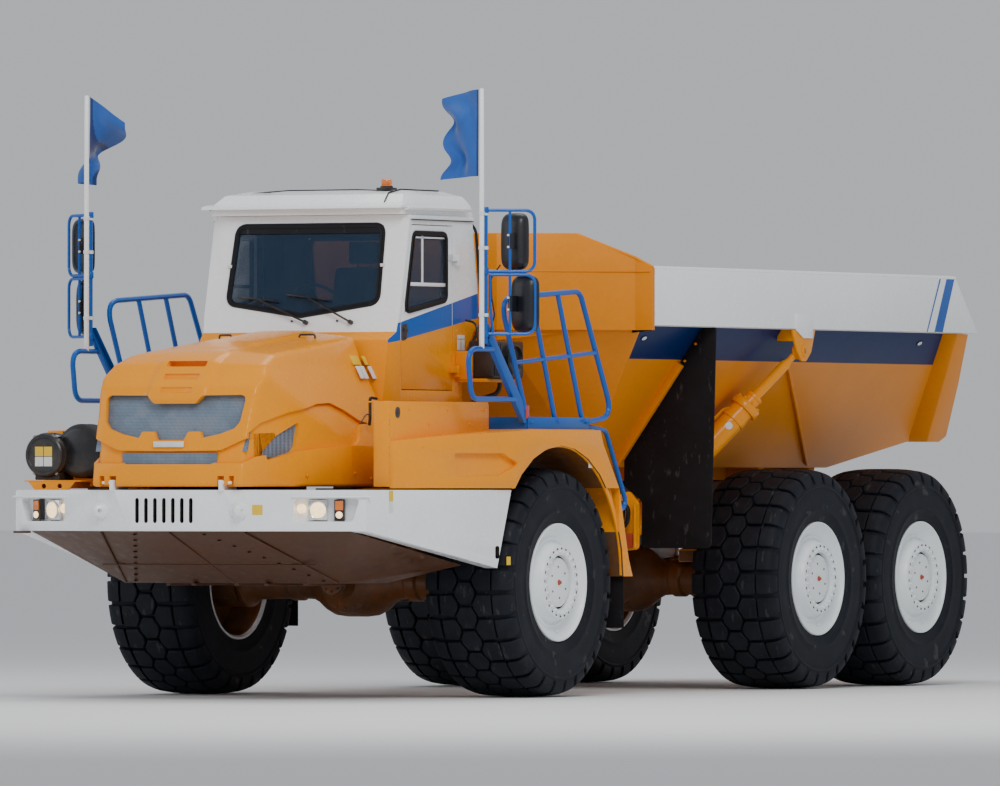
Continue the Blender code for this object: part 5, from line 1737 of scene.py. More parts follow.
    def lower(self) -> Shape:
        """The body under the crease: a sunk band above and a proud skirt with a pod on each side."""
        bench = self.bench
        band = self.form("hood_band", 0.030, self.low, soft=False)
        bench.bevel(band, 0.035, 3, 28)
        bench.cut(band, self.form("hollow", self.wall + 0.03, 1.2, soft=False))
        below = self.crease_tools(-0.035)
        sides = [bench.boolean(bench.again(band, (0, 0, 0))[0], "INTERSECT", tool) for tool in below]
        bench.scrap(band)
        skirt = self.form("hood_skirt", 0.0, self.low, soft=False)
        ridge = rounded(self.ridge, 0.06, 3, closed=False)
        keep = bench.slab("keep", [*ridge, Vector((-1.264, 1.0)), Vector((-3.2, 1.0))], Along.X, -1.2, 1.2)
        bench.bevel(skirt, 0.040, 3, 28)
        bench.boolean(skirt, "INTERSECT", keep)
        bench.cut(skirt, self.form("hollow", 0.028, 1.2, soft=False))
        bench.bevel(skirt, 0.010, 2, 42)
        slit = rounded([(-0.388, 1.783), (0.388, 1.783), (0.385, 1.852), (-0.385, 1.852)], 0.018, 3)
        tools = [bench.slab("slit", slit, Along.Y, -3.3, -2.6)]
        vent = rounded(self.vent_outline, [0.012, 0.04, 0.02, 0.04, 0.03, 0.02], 3)
        tools.append(bench.slab("vent", vent, Along.X, 0.55, 1.2))
        tools.append(bench.other_side(tools[-1], "vent_right"))
        notch = bench.block("notch", (0.44, -3.05, 1.55), (0.585, -2.90, self.hinge[1] + 0.05), 0.0)
        tools += [notch, bench.other_side(notch, "notch_right")]
        for part in (*sides, skirt):
            bench.boolean(part, "DIFFERENCE", *tools, keep=True)
        bench.scrap(*tools)
        return bench.fuse("hood_lower", *sides, skirt)

    def screens(self) -> Shape:
        """The woven mesh behind the grille, the slit and the side vents."""
        bench = self.bench
        lean = [(self.nose(z) + 0.034 + depth, z) for depth, z in ((0.0, 1.88), (0.0, 2.38), (0.008, 2.38),
                                                                   (0.008, 1.88))]
        pane = bench.slab("grille_pane", lean, Along.X, -0.66, 0.66)
        slit = bench.slab("slit_pane", [(-0.41, 1.765), (0.41, 1.765), (0.41, 1.868), (-0.41, 1.868)], Along.Y,
                          -2.915, -2.907)
        vent = bench.trace("vent_pane", [Vector((x - 0.062, y, z)) for x, y, z in
                                         ((0.690, -2.86, 1.80), (0.829, -2.33, 1.87), (0.829, -2.33, 2.13),
                                          (0.690, -2.86, 2.02))])
        bench.wall(vent, 0.008)
        return bench.fuse("nose_screens", pane, slit, bench.both(vent))

    def fittings(self) -> tuple[Shape, Shape, Shape]:
        """The hinge lugs, the side latches, bolts and handles."""
        bench = self.bench
        y = self.hinge[0]
        lug = bench.slab("lug", [(y - 0.012, 1.627), (y - 0.012, 1.70), (-2.86, 1.73), (-2.86, 1.627)], Along.X, 0.50,
                         0.54)
        lug = bench.both(bench.bevel(lug, 0.004, 2))
        bolts = bench.repeat(bench.spun("hood_bolt", [(0, 0.014), (0.004, 0.014), (0.008, 0.010), (0.010, 0.0)],
                                        ORIGIN, ACROSS, 8),
                             (0.845, -2.30, 1.700), (0.950, -1.75, 1.715), (0.950, -1.50, 1.677),
                             (0.950, -1.32, 2.05))
        bolts = bench.both(bolts)
        plate = bench.block("latch", (0.948, -1.452, 1.665), (0.958, -1.395, 1.760), 0.004)
        bar = bench.bent("latch_bar", [(0.972, -1.375, 1.648), (0.976, -1.372, 1.75), (0.972, -1.352, 1.858)], 0.05,
                         0.010)
        hook = bench.bent("latch_hook", [(0.955, -1.42, 1.72), (0.985, -1.42, 1.745), (0.985, -1.385, 1.78),
                                         (0.962, -1.372, 1.80)], 0.012, 0.007)
        latch = bench.both(bench.fuse("hood_latch", plate, bar, hook))
        stay = bench.bent("stay", [(0.945, -1.52, 2.085), (0.965, -1.545, 2.130), (0.965, -1.545, 2.292),
                                   (0.965, -1.445, 2.284)], 0.02, 0.012)
        cord = bench.bent("stay_wire", [(0.962, -1.70, 2.09), (0.985, -1.64, 2.165), (0.975, -1.56, 2.160)], 0.04,
                          0.005, steps=6)
        handle = bench.bent("handle", [(0.30, -1.46, 2.742), (0.30, -1.46, 2.775), (0.42, -1.43, 2.775),
                                       (0.42, -1.43, 2.735)], 0.015, 0.008)
        stays = bench.both(bench.fuse("hood_stays", stay, cord, handle))
        return bench.fuse("hood_bolts", lug, bolts), latch, stays

    def plates(self) -> tuple[Shape, Shape, Shape]:
        """The bare name plate and the blank labels."""
        bench = self.bench
        name = bench.block("bare_plate", (-0.130, -2.938, 1.912), (0.130, -2.918, 1.956), 0.006)
        yellow = [bench.block("label", (0.700, at, 2.545), (0.712, at + wide, 2.615), 0.002)
                  for at, wide in ((-1.28, 0.115), (-1.10, 0.045))]
        white = [bench.block("label", (0.715, at, 2.440), (0.727, at + wide, 2.535), 0.002)
                 for at, wide in ((-1.28, 0.050), (-1.218, 0.050), (-1.10, 0.045))]
        for label in yellow + white:
            for vert in label.data.vertices:
                vert.co.x += (2.53 - vert.co.z) * 0.52 - 0.032 + 0.030 * (vert.co.y + 1.40)
        return name, bench.fuse("hood_labels_yellow", *yellow), bench.fuse("hood_labels_white", *white)

    def build(self) -> None:
        """Builds the hood on its own body."""
        bench = self.bench
        shell = bench.fuse("hood_shell", self.upper(), self.lower())
        bench.deliver(shell, "hood", "orange_paint", ORANGE, Worn(ORANGE), replaces=("hood",), angle=38.0)
        bench.deliver(self.screens(), "hood", "grey_mesh", NOSE_MESH, replaces=("grille",))
        bolts, latch, stays = self.fittings()
        bench.deliver(bolts, "hood", "orange_paint", ORANGE)
        bench.deliver(latch, "hood", "chromed_rod", CHROME)
        bench.deliver(stays, "hood", "black_plastic", BLACK)
        name, yellow, white = self.plates()
        bench.deliver(name, "hood", "white_paint", LABEL_WHITE)
        bench.deliver(yellow, "hood", "white_paint", LABEL_YELLOW)
        bench.deliver(white, "hood", "white_paint", LABEL_WHITE)


# ---------------------------------------------------------------- bumper and belly
@dataclass
class FrontEnd:
    """The white bumper with its lamps and towing eyes, and the plate under the engine."""

    bench: Bench
    face: tuple[tuple[float, float], ...] = ((0.30, -3.00), (0.64, -2.90), (1.53, -2.60), (1.81, -0.60))
    top: float = 1.59
    bottom: float = 1.28
    slot_pitch: float = 0.078
    lamp_x: float = 1.22

    def on_face(self, part: int, x: float, z: float, proud: float = 0.0) -> Matrix:
        """The place of a fitting on one of the bumper's flats.

        Args:
            part: The number of the flat, from the middle outwards.
            x: How far from the truck's middle it is.
            z: Its height.
            proud: How far in front of the flat.

        Returns:
            A matrix whose -Y points out of the flat.
        """
        (x0, y0), (x1, y1) = self.face[part], self.face[part + 1]
        along = Vector((x1 - x0, y1 - y0, 0)).normalized()
        out = Vector((along.y, -along.x, 0))
        place = Vector((x, y0 + (y1 - y0) * (x - x0) / (x1 - x0), z)) + out * proud
        turn = Matrix((along, -out, (0, 0, 1))).transposed().to_4x4()
        return Matrix.Translation(place) @ turn

    def pocket(self, name: str, grow: float, depth: float) -> Shape:
        """The lamps' pocket at the origin, as a rounded slab."""
        outline = rounded([(-0.235 - grow, -0.085 - grow), (0.215 + grow, -0.085 - grow), (0.27 + grow, 0.088 + grow),
                           (-0.235 - grow, 0.088 + grow)], 0.025, 3)
        return self.bench.slab(name, outline, Along.Y, -0.05, depth)

    def bumper(self) -> Shape:
        """The folded plate with its seven slots, lamp pockets and drain holes."""
        bench = self.bench
        plate = bench.copy_node("bumper", "bumper_shown")
        slot = bench.slab("slot", rounded([(-0.016, 1.34), (0.016, 1.34), (0.016, 1.53), (-0.016, 1.53)], 0.016, 3),
                          Along.Y, -3.1, -2.945)
        tools = [bench.repeat(slot, *[((index - 3) * self.slot_pitch, 0, 0) for index in range(7)])]
        pocket = self.pocket("pocket", 0.0, 0.07)
        pocket.data.transform(self.on_face(1, self.lamp_x, 1.438))
        hole = bench.slab("hole", rounded([(-0.026, -0.048), (0.026, -0.048), (0.026, 0.048), (-0.026, 0.048)], 0.016,
                                          3),
                          Along.Y, -0.05, 0.06)
        hole.data.transform(self.on_face(2, 1.757, 1.115))
        tools += [pocket, bench.other_side(pocket, "pocket_right"), hole, bench.other_side(hole, "hole_right")]
        for tool in tools:
            bench.cut(plate, tool)
        bench.bevel(plate, 0.006, 2, 30.0, worn=True)
        # The walls of the slots and drain holes are painted near-black: painted shade.
        bench.tint(plate, 2, lambda place, normal: abs(place.x) < 0.26 and 1.335 < place.z < 1.535
                   and -2.998 < place.y < -2.94)
        bench.tint(plate, 2, lambda place, normal: 1.72 < abs(place.x) < 1.80 and 1.06 < place.z < 1.17
                   and -1.05 < place.y < -0.90 and abs(normal.x) < 0.6)
        return plate

    def hem(self) -> Shape:
        """The thin lip over each lamp pocket and the welded seam at the kinks."""
        bench = self.bench
        lip = bench.slab("lip", [(0.0, 0.092), (-0.016, 0.094), (-0.018, 0.101), (0.0, 0.110)], Along.X, -0.25, 0.36)
        lip = bench.bevel(lip, 0.002, 1)
        lip.data.transform(self.on_face(1, self.lamp_x, 1.438))
        beads = [bench.tube("bead", [(x + 0.001, y - 0.001, z) for z in (self.bottom + 0.01, self.top - 0.01)],
                            0.0035, 1)
                 for x, y in self.face[1:3]]
        return bench.both(bench.fuse("bumper_hems", lip, *beads))

    def eye(self) -> Shape:
        """A towing eye: a cast boss with a cross hole, at the origin."""
        bench = self.bench
        boss = bench.spun("tow_eye", [(0.02, 0.0), (0.02, 0.075), (-0.008, 0.073), (-0.030, 0.066), (-0.062, 0.048),
                                      (-0.075, 0.030), (-0.078, 0.0)], ORIGIN, ALONG, 24)
        for vert in boss.data.vertices:
            if vert.co.y < -0.01:
                vert.co.x *= 0.62
        bench.cut(boss, bench.rod("bore", (-0.2, -0.045, 0.0), (0.2, -0.045, 0.0), 0.017, 14, 0.0))
        return bench.bevel(boss, 0.003, 2, 45)

    def lamps(self) -> dict[str, Shape]:
        """One pocket's lamps at the origin, by finish."""
        bench = self.bench
        lens = bench.spun("lens", [(0.02, 0.0), (0.02, 0.062), (-0.004, 0.062), (-0.010, 0.055), (-0.016, 0.030),
                                   (-0.018, 0.0)],
                          (-0.055, 0.03, 0.0), ALONG, 28)
        small = bench.spun("lens_small", [(0.02, 0.0), (0.02, 0.036), (-0.002, 0.036), (-0.010, 0.024),
                                          (-0.012, 0.0)],
                           (-0.182, 0.035, 0.012), ALONG, 20)
        bezel = bench.spun("bezel", [(0.03, 0.060), (-0.006, 0.060), (-0.010, 0.066), (-0.006, 0.072), (0.03, 0.072),
                                     (0.03, 0.060)],
                           (-0.055, 0.03, 0.0), ALONG, 28)
        plate = bench.block("reflector", (-0.130, 0.036, -0.076), (0.018, 0.066, 0.078), 0.008)
        housing = bench.block("housing", (0.072, 0.012, -0.074), (0.150, 0.066, 0.080), 0.006)
        sill = bench.block("sill", (0.072, 0.004, -0.084), (0.150, 0.030, -0.076), 0.002)
        bulb = bench.spun("bulb", [(0.02, 0.0), (0.02, 0.026), (-0.004, 0.026), (-0.012, 0.016), (-0.014, 0.0)],
                          (0.111, 0.010, -0.036), ALONG, 16)
        window = bench.block("window", (0.080, 0.004, 0.000), (0.142, 0.014, 0.070), 0.003)
        return {"lit": bench.fuse("lit", lens, small, bulb), "black": bench.fuse("black", housing, sill),
                "bezel": bench.fuse("bezel", bezel, plate), "amber": window}

    def labels(self) -> tuple[Shape, Shape]:
        """The blank labels on the bumper."""
        bench = self.bench
        *yellow, white = [bench.repeat(bench.block("label", (-w, -0.0015, -h), (w, 0.003, h), 0.001, 1),
                                       self.on_face(*at, proud=0.0005))
                          for w, h, at in ((0.026, 0.040, (2, 1.571, 1.545)), (0.024, 0.032, (2, 1.777, 1.050)),
                                           (0.040, 0.038, (1, 0.735, 1.44)), (0.026, 0.042, (2, 1.571, 1.460)))]
        return bench.fuse("bumper_labels_yellow", *yellow), bench.fuse("bumper_labels_white", white)

    def belly(self) -> Shape:
        """The plate under the engine, with its weld seams, stiffeners and bolts."""
        bench = self.bench
        pan = bench.bevel(bench.copy_node("belly_plate"), 0.008, 2, 20.0)
        low, high = (0.30, -2.97, 1.279), (0.95, -1.95, 0.880)
        seam = bench.tube("seam", [(0.02, -2.972, 1.272), (0.02, -1.95, 0.882)], 0.006, 1)
        slant = bench.tube("slant", [(0.62, -2.878, 1.268), (0.93, -1.97, 0.884)], 0.008, 1)
        cross = bench.tube("cross", [(-0.93, -2.32, 1.024), (0.93, -2.32, 1.024)], 0.006, 1)
        rib = bench.block("rib", (0.30, -2.0, 0.862), (0.34, -1.3, 0.882), 0.004)
        flange = bench.block("flange", (-1.50, -2.70, 1.262), (-1.40, -2.60, 1.278), 0.004)
        bolts = []
        for index in range(9):
            share = (index + 0.5) / 9
            point = Vector(low).lerp(Vector(high), share)
            bolts.append(bench.spun("bolt", [(0.0, 0.016), (-0.006, 0.016), (-0.010, 0.009), (-0.010, 0.0)],
                                    (point.x * 0.9, point.y, point.z - 0.001), (0, -0.36, 0.93), 8))
        return bench.fuse("belly_shown", pan, seam, bench.both(slant), cross, bench.both(rib),
                          bench.both(bench.fuse("bolts", *bolts)), flange)

    def build(self) -> None:
        """Builds the front end on the front unit."""
        bench = self.bench
        bench.deliver(self.bumper(), "front_unit", "white_paint", WHITE, Worn(WHITE), SHADOW, replaces=("bumper",))
        bench.deliver(self.hem(), "front_unit", "white_paint", WHITE)
        eye = self.eye()
        eye.data.transform(self.on_face(0, 0.60, 1.432))
        bench.deliver(bench.both(eye), "front_unit", "white_paint", WHITE)
        finishes = {"lit": (LIT_LENS, "glass"), "black": (SATIN, "black_plastic"), "bezel": (CHROME, "chromed_rod"),
                    "amber": (AMBER_LENS, "glass")}
        for word, piece in self.lamps().items():
            piece.data.transform(self.on_face(1, self.lamp_x, 1.438))
            pair = bench.both(piece)
            pair.name = pair.data.name = "headlamp_" + word
            bench.deliver(pair, "front_unit", finishes[word][1], finishes[word][0])
        yellow, white = self.labels()
        bench.deliver(yellow, "front_unit", "white_paint", LABEL_YELLOW)
        bench.deliver(white, "front_unit", "white_paint", LABEL_WHITE)
        # The belly plate's near-black brown is mostly painted shade, with some dirt.
        bench.deliver(self.belly(), "front_unit", "frame_paint", BELLY, replaces=("belly_plate",))


# ---------------------------------------------------------------- cab
@dataclass
class Cab:
    """The cab: painted shell, doors, glass in rubber gaskets, roof cap, wipers and the driver's place."""

    bench: Bench
    half: float = 0.86
    slope: float = 0.2222
    stripe_top: tuple[float, float] = (3.042, 0.192)
    stripe_low: tuple[float, float] = (2.866, 0.150)
    sill: float = 3.167
    floor: float = 2.3155
    seat_base: float = 2.315

    def face(self, x: float, z: float, proud: float = 0.0) -> Vector:
        """A point on the cab's sloping front.

        Args:
            x: How far from the middle.
            z: Its height.
            proud: How far in front of the sheet.

        Returns:
            The point.
        """
        lean = math.atan(self.slope)
        return Vector((x, -0.93 + self.slope * (z - 2.80) - proud * math.cos(lean), z + proud * math.sin(lean)))

    def colours(self, piece: Shape) -> None:
        """Cuts the stripe's edges into a piece and gives its parts their colours.

        Args:
            piece: The shell or a door.
        """
        bench = self.bench
        for height, rise in (self.stripe_top, self.stripe_low):
            bench.slice(piece, (0, 0, height), Vector((0, -rise, 1)).normalized(),
                        lambda face: abs(face.calc_center_median().x) > 0.70)

        def edge(stripe: tuple[float, float], place: Vector) -> float:
            """The height of one of the stripe's edges over a place."""
            return stripe[0] + stripe[1] * place.y

        def side(place: Vector) -> bool:
            """Whether a place is on the cab's side."""
            return abs(place.x) > 0.785 and place.y > -1.01

        bench.tint(piece, 3, lambda place, normal: side(place) and abs(place.x) > 0.842
                   and edge(self.stripe_low, place) < place.z < edge(self.stripe_top, place))
        bench.tint(piece, 2, lambda place, normal: place.z < (edge(self.stripe_low, place) if side(place) else 2.795))

    def shell(self) -> Shape:
        """The cab's body."""
        bench = self.bench
        shell = bench.copy_node("cab_shell", "cab_body")
        bench.bevel(shell, 0.016, 3, 24.0, worn=True)
        self.colours(shell)
        middle = Vector((0.0, -0.35, 3.0))
        # The inside faces take INSIDE: painted shade inside the cab.
        bench.tint(shell, 4, lambda place, normal: normal.dot(middle - place) > 0.05 and abs(place.x) < 0.822
                   and -1.04 < place.y < 0.345 and place.z < 3.662)
        return shell

    def door(self, side: Side) -> Shape:
        """One door in its colours, its inside faces darkened as painted shade.

        Args:
            side: The door's side.

        Returns:
            The door.
        """
        bench = self.bench
        door = bench.copy_node(f"door_{side.word}", f"door_{side.word}_skin")
        bench.bevel(door, 0.004, 2, 30.0, worn=True)
        self.colours(door)
        bench.tint(door, 4, lambda place, normal: normal.x * side.value < -0.9 and abs(place.x) < 0.83)
        return door

    def ring(self, name: str, outline: Outline, radius: float, grow: float, shrink: float,
             place: Callable[[float, float, float], Vector],
             depth: float) -> Shape:
        """A flat rubber ring between two rounded outlines, laid on any surface.

        Args:
            name: Its name.
            outline: The opening's corners.
            radius: Their rounding.
            grow: How far the ring reaches outside the opening.
            shrink: How far it reaches inside.
            place: Gives the point in space for two outline values and a depth.
            depth: Its thickness.

        Returns:
            The ring.
        """
        bench = self.bench
        middle = Vector((sum(u for u, _ in outline), sum(v for _, v in outline))) / len(outline)

        def offset(amount: float) -> list[Vector]:
            """The rounded outline moved outwards.

            Args:
                amount: How far.

            Returns:
                The moved outline.
            """
            count, moved = len(outline), []
            for index in range(count):
                corner = Vector(outline[index])
                before, after = Vector(outline[index - 1]), Vector(outline[(index + 1) % count])
                first, second = (corner - before).normalized(), (after - corner).normalized()
                normals = [Vector((edge.y, -edge.x)) for edge in (first, second)]
                normals = [n if n.dot(corner - middle) > 0 else -n for n in normals]
                bisector = (normals[0] + normals[1]).normalized()
                moved.append(corner + bisector * (amount / max(0.4, bisector.dot(normals[0]))))
            return rounded(moved, radius + amount, 5)

        rings = [[place(p.x, p.y, d) for p in offset(a)] for a, d in
                 ((grow, 0.0), (grow - 0.004, depth), ((grow - shrink) / 2, depth * 1.35), (-shrink + 0.003, depth),
                  (-shrink, -0.012))]
        return bench.close_rims(bench.loft(name, rings, capped=False))

    def glazing(self) -> tuple[Shape, Shape, Shape]:
        """The windshield, its gasket with the dark band that paints the shade under the roof's lip, and the rear
        window's gasket.
        """
        bench = self.bench
        outline = [(-0.665, 3.022), (0.0, 2.925), (0.665, 3.022), (0.645, 3.625), (-0.645, 3.625)]
        gasket = self.ring("screen_gasket", outline, 0.07, 0.017, 0.026, lambda x, z, d: self.face(x, z, d), 0.010)
        # The black band across the windshield's top is painted shade under the roof's lip.
        band = bench.trace("band", [self.face(x, z, 0.001) for x, z in ((-0.63, 3.56), (0.63, 3.56), (0.63, 3.61),
                                                                        (-0.63, 3.61))])
        bench.wall(band, 0.004)
        pane = bench.trace("screen_pane", [self.face(p.x, p.y, -0.004) for p in rounded(outline, 0.07, 5)])
        bench.wall(pane, 0.006)
        rear = [(-0.60, 3.05), (0.60, 3.05), (0.60, 3.55), (-0.60, 3.55)]
        back = self.ring("rear_gasket", rear, 0.06, 0.016, 0.024,
                         lambda x, z, d: Vector((x, 0.38 - (z - 2.92) * 0.1538 + d, z)), 0.010)
        rear_pane = bench.trace("rear_pane", [Vector((p.x, 0.38 - (p.y - 2.92) * 0.1538 - 0.010, p.y))
                                              for p in rounded(rear, 0.06, 4)])
        bench.wall(rear_pane, 0.006)
        return bench.fuse("screen_gasket", gasket, band), bench.fuse("cab_panes", pane, rear_pane), back

    def door_glass(self) -> tuple[Shape, Shape, Shape]:
        """The left door's gasket, pane and bars."""
        bench, x = self.bench, self.half
        outline = [(-0.81, 2.95), (-0.675, 3.56), (-0.16, 3.56), (-0.16, 3.05)]
        gasket = self.ring("door_gasket", outline, 0.05, 0.020, 0.022, lambda y, z, d: Vector((x + d + 0.001, y, z)),
                           0.011)
        pane = bench.slab("door_pane", rounded(outline, 0.05, 4), Along.X, x - 0.016, x - 0.010)
        sill = bench.block("sill", (x - 0.012, -0.775, self.sill - 0.014), (x + 0.004, -0.17, self.sill + 0.014),
                           0.003)
        bar = bench.block("bar", (x - 0.012, -0.536, self.sill), (x, -0.516, 3.55), 0.003)
        rail = bench.block("rail", (x - 0.010, -0.66, 3.520), (x, -0.17, 3.534), 0.002)
        side = bench.tube("run", [(x - 0.004, -0.775, self.sill), (x - 0.004, -0.688, 3.530)], 0.005, 1)
        return gasket, pane, bench.fuse("door_bars", sill, bar, rail, side)

    def door_fittings(self) -> Shape:
        """The left door's sunk handle with its lever and lock."""
        bench, x = self.bench, self.half
        cup = bench.bevel(bench.slab("handle_cup",
                                     rounded([(-0.862, 2.725), (-0.782, 2.745), (-0.772, 2.865), (-0.858, 2.855)],
                                             0.02, 3),
                                     Along.X, x - 0.02, x + 0.004), 0.003)
        lever = bench.block("handle_lever", (x + 0.004, -0.845, 2.80), (x + 0.022, -0.790, 2.828), 0.006)
        lock = bench.rod("lock", (x, -0.812, 2.758), (x + 0.012, -0.812, 2.758), 0.013, 14)
        return bench.fuse("door_handle", cup, lever, lock)

    def roof(self) -> tuple[Shape, Shape, Shape]:
        """The roof cap with its front lip and gutters, its black seams, and the beacon's bracket."""
        bench = self.bench
        view = rounded([(-0.82, 3.702), (-0.80, 3.79), (-0.70, 3.862), (-0.50, 3.895), (0.10, 3.895), (0.25, 3.85),
                        (0.30, 3.75), (0.31, 3.702)], [0, 0.03, 0.06, 0.08, 0.08, 0.08, 0.04, 0], 3)
        cap = bench.slab("roof_cap", view, Along.X, -0.90, 0.90)
        front = flipped([(0.845, 3.60), (0.835, 3.78), (0.79, 3.855), (0.68, 3.892), (0.45, 3.912), (0.0, 3.918)])
        bench.boolean(cap, "INTERSECT", bench.slab("front", front, Along.Y, -1.0, 0.5))
        bench.bevel(cap, 0.022, 4, 30.0)
        lip = bench.slab("lip", [(-0.885, 3.748), (-0.875, 3.772), (-0.78, 3.790), (-0.74, 3.765), (-0.78, 3.752)],
                         Along.X, -0.90, 0.862)
        gutter = bench.slab("gutter", [(0.835, 3.735), (0.885, 3.735), (0.893, 3.757), (0.880, 3.757), (0.872, 3.746),
                                       (0.835, 3.750)],
                            Along.Y, -0.80, 0.22)
        fold = bench.slab("fold", [(0.84, 3.664), (0.874, 3.667), (0.874, 3.690), (0.84, 3.702)], Along.Y, -0.74,
                          0.27)
        for strip in (lip, gutter, fold):
            bench.bevel(strip, 0.004, 2)
        cap = bench.fuse("roof_cap", cap, lip, bench.both(gutter), bench.both(fold))
        seam = bench.tube("seam", [(0.675, -0.80, 3.800), (0.655, -0.70, 3.869), (0.650, -0.50, 3.900),
                                   (0.650, 0.10, 3.900)], 0.006, 1)
        edge = bench.tube("edge", [(-0.78, -0.56, 3.872), (-0.30, -0.56, 3.900), (0.30, -0.56, 3.900),
                                   (0.650, -0.56, 3.886)], 0.005, 1)
        drip = bench.tube("drip", [(0.872, -0.72, 3.662), (0.872, 0.26, 3.662)], 0.004, 1)
        hose = bench.bent("hose", [(0.80, 0.30, 3.68), (0.872, 0.300, 3.60), (0.878, 0.372, 3.05),
                                   (0.878, 0.360, 2.86), (0.840, 0.180, 2.60)], 0.08, 0.012, steps=5)
        seams = bench.fuse("roof_seams", seam, edge, bench.both(drip), hose)
        foot = bench.block("beacon_foot", (0.44, -0.51, 3.888), (0.56, -0.39, 3.916), 0.006)
        post = bench.spun("beacon_post", [(3.90, 0.05), (3.925, 0.05), (3.93, 0.042), (3.93, 0.0)],
                          (0.5, -0.45, 0), UP, 20)
        return cap, seams, bench.fuse("beacon_foot", foot, post)

    def beacon(self) -> Shape:
        """The amber beacon's ribbed dome."""
        profile = [(3.925, 0.0), (3.925, 0.043)]
        for step in range(4):
            profile += [(3.932 + 0.010 * step, 0.0445), (3.937 + 0.010 * step, 0.0415)]
        profile += [(3.975, 0.040), (3.984, 0.030), (3.987, 0.0)]
        return self.bench.spun("beacon_dome", profile, (0.5, -0.45, 0), UP, 24)

    def wipers(self) -> Shape:
        """Two wipers with their arms, blades and spindles, and two washer nozzles."""
        bench, parts = self.bench, []
        for pivot, start, end in (((0.054, 2.872), (-0.57, 3.072), (-0.21, 3.032)),
                                  ((0.450, 2.872), (-0.13, 3.085), (0.232, 3.040))):
            middle = (Vector(start) + Vector(end)) / 2
            knee = Vector(pivot).lerp(middle, 0.55)
            arm = bench.tube("arm", [self.face(*pivot, proud=0.030), self.face(*knee, proud=0.050),
                                     self.face(*middle, proud=0.034)], 0.008, 1)
            blade = bench.tube("blade", [self.face(*start, proud=0.022), self.face(*middle, proud=0.028),
                                         self.face(*end, proud=0.022)], 0.0065, 1)
            wiper = bench.tube("edge", [self.face(*start, proud=0.012), self.face(*end, proud=0.012)], 0.004, 1)
            hub = bench.rod("hub", self.face(*pivot, proud=-0.005), self.face(*pivot, proud=0.040), 0.017, 14, 0.004)
            parts += [arm, blade, wiper, hub]
        for x in (-0.075, 0.325):
            parts.append(bench.rod("nozzle", self.face(x, 2.885, -0.004), self.face(x, 2.885, 0.014), 0.008, 8,
                                   0.002))
        return bench.fuse("wipers", *parts)

    def clips(self) -> Shape:
        """The white clips halfway up the windshield's sides."""
        bench = self.bench
        clip = bench.block("screen_clips", (0.655, -0.835, 3.300), (0.688, -0.812, 3.325), 0.003)
        return bench.both(clip)

    def cushions(self) -> tuple[Shape, Shape, Shape]:
        """The seat's cushion, back and headrest: crowned forms with pulled-in sides and sewn channels."""
        bench = self.bench

        def pad(name: str, low: Point, high: Point, up: Vector, channels: Sequence[float]) -> Shape:
            """A padded block.

            Args:
                name: Its name.
                low: Its low corner.
                high: Its high corner.
                up: The way that it is crowned.
                channels: Where its sewn channels run, across the truck.

            Returns:
                The pad.
            """
            bpy.ops.mesh.primitive_cube_add(size=1.0, location=[(a + b) / 2 for a, b in zip(low, high)],
                                            scale=[b - a for a, b in zip(low, high)])
            form = bench.ground(name)
            with bench.editing(form):
                bpy.ops.mesh.subdivide(number_cuts=15)
            bench.apply(form, "SMOOTH", factor=0.6, iterations=4)
            middle, size = (Vector(low) + Vector(high)) / 2, Vector(high) - Vector(low)
            for vert in form.data.vertices:
                offset = vert.co - middle
                share = [abs(offset[axis]) / (size[axis] / 2) for axis in range(3)]
                flat = [1 - min(1.0, share[axis]) ** 2 for axis in range(3) if abs(up[axis]) < 0.5]
                side = 1 if offset.dot(up) > 0 else 0
                crown = 0.035 * flat[0] * flat[1] * side
                for channel in channels:
                    crown -= 0.014 * side * max(0.0, 1.0 - abs(vert.co.x - channel) / 0.014)
                vert.co += up * crown
                vert.co.x -= math.copysign(0.012 * (1 - min(1.0, share[1]) ** 2) * min(1.0, share[0]), offset.x)
            return bench.soften(form, 1)

        floor = self.seat_base
        cushion = pad("seat_cushion", (-0.25, -0.45, floor + 0.31), (0.25, 0.0, floor + 0.43), Vector((0, 0, 1)),
                      (-0.13, 0.13))
        back = pad("seat_back", (-0.24, -0.045, floor + 0.42), (0.24, 0.065, floor + 1.00), Vector((0, -1, 0)),
                   (-0.12, 0.12))
        for vert in back.data.vertices:
            vert.co.y += (vert.co.z - floor - 0.42) * 0.16
        rest = pad("seat_headrest", (-0.12, 0.055, floor + 1.03), (0.12, 0.13, floor + 1.20), Vector((0, -1, 0)), ())
        return cushion, back, rest

    def seat_frame(self) -> Shape:
        """The seat's air-sprung pedestal, slides, posts and armrests."""
        bench, floor = self.bench, self.floor
        base = bench.block("base", (-0.20, -0.38, floor), (0.20, -0.02, floor + 0.05), 0.008)
        bellows = bench.spun("bellows", [(0.05, 0.12), (0.075, 0.14), (0.10, 0.12), (0.125, 0.14), (0.15, 0.12),
                                         (0.175, 0.14), (0.20, 0.12), (0.20, 0.0)], (0, -0.20, floor), UP, 20)
        tray = bench.block("tray", (-0.22, -0.42, floor + 0.20), (0.22, 0.02, floor + 0.30), 0.015, 3)
        posts = [bench.rod("post", (x, 0.09, floor + 0.94), (x, 0.10, floor + 1.08), 0.007, 8) for x in (-0.06, 0.06)]
        arm = bench.block("armrest", (0.27, -0.30, floor + 0.60), (0.335, 0.04, floor + 0.655), 0.018, 4)
        stalk = bench.block("stalk", (0.285, -0.02, floor + 0.40), (0.32, 0.04, floor + 0.61), 0.008)
        return bench.fuse("seat_frame", base, bellows, tray, *posts, bench.both(bench.fuse("arms", arm, stalk)))

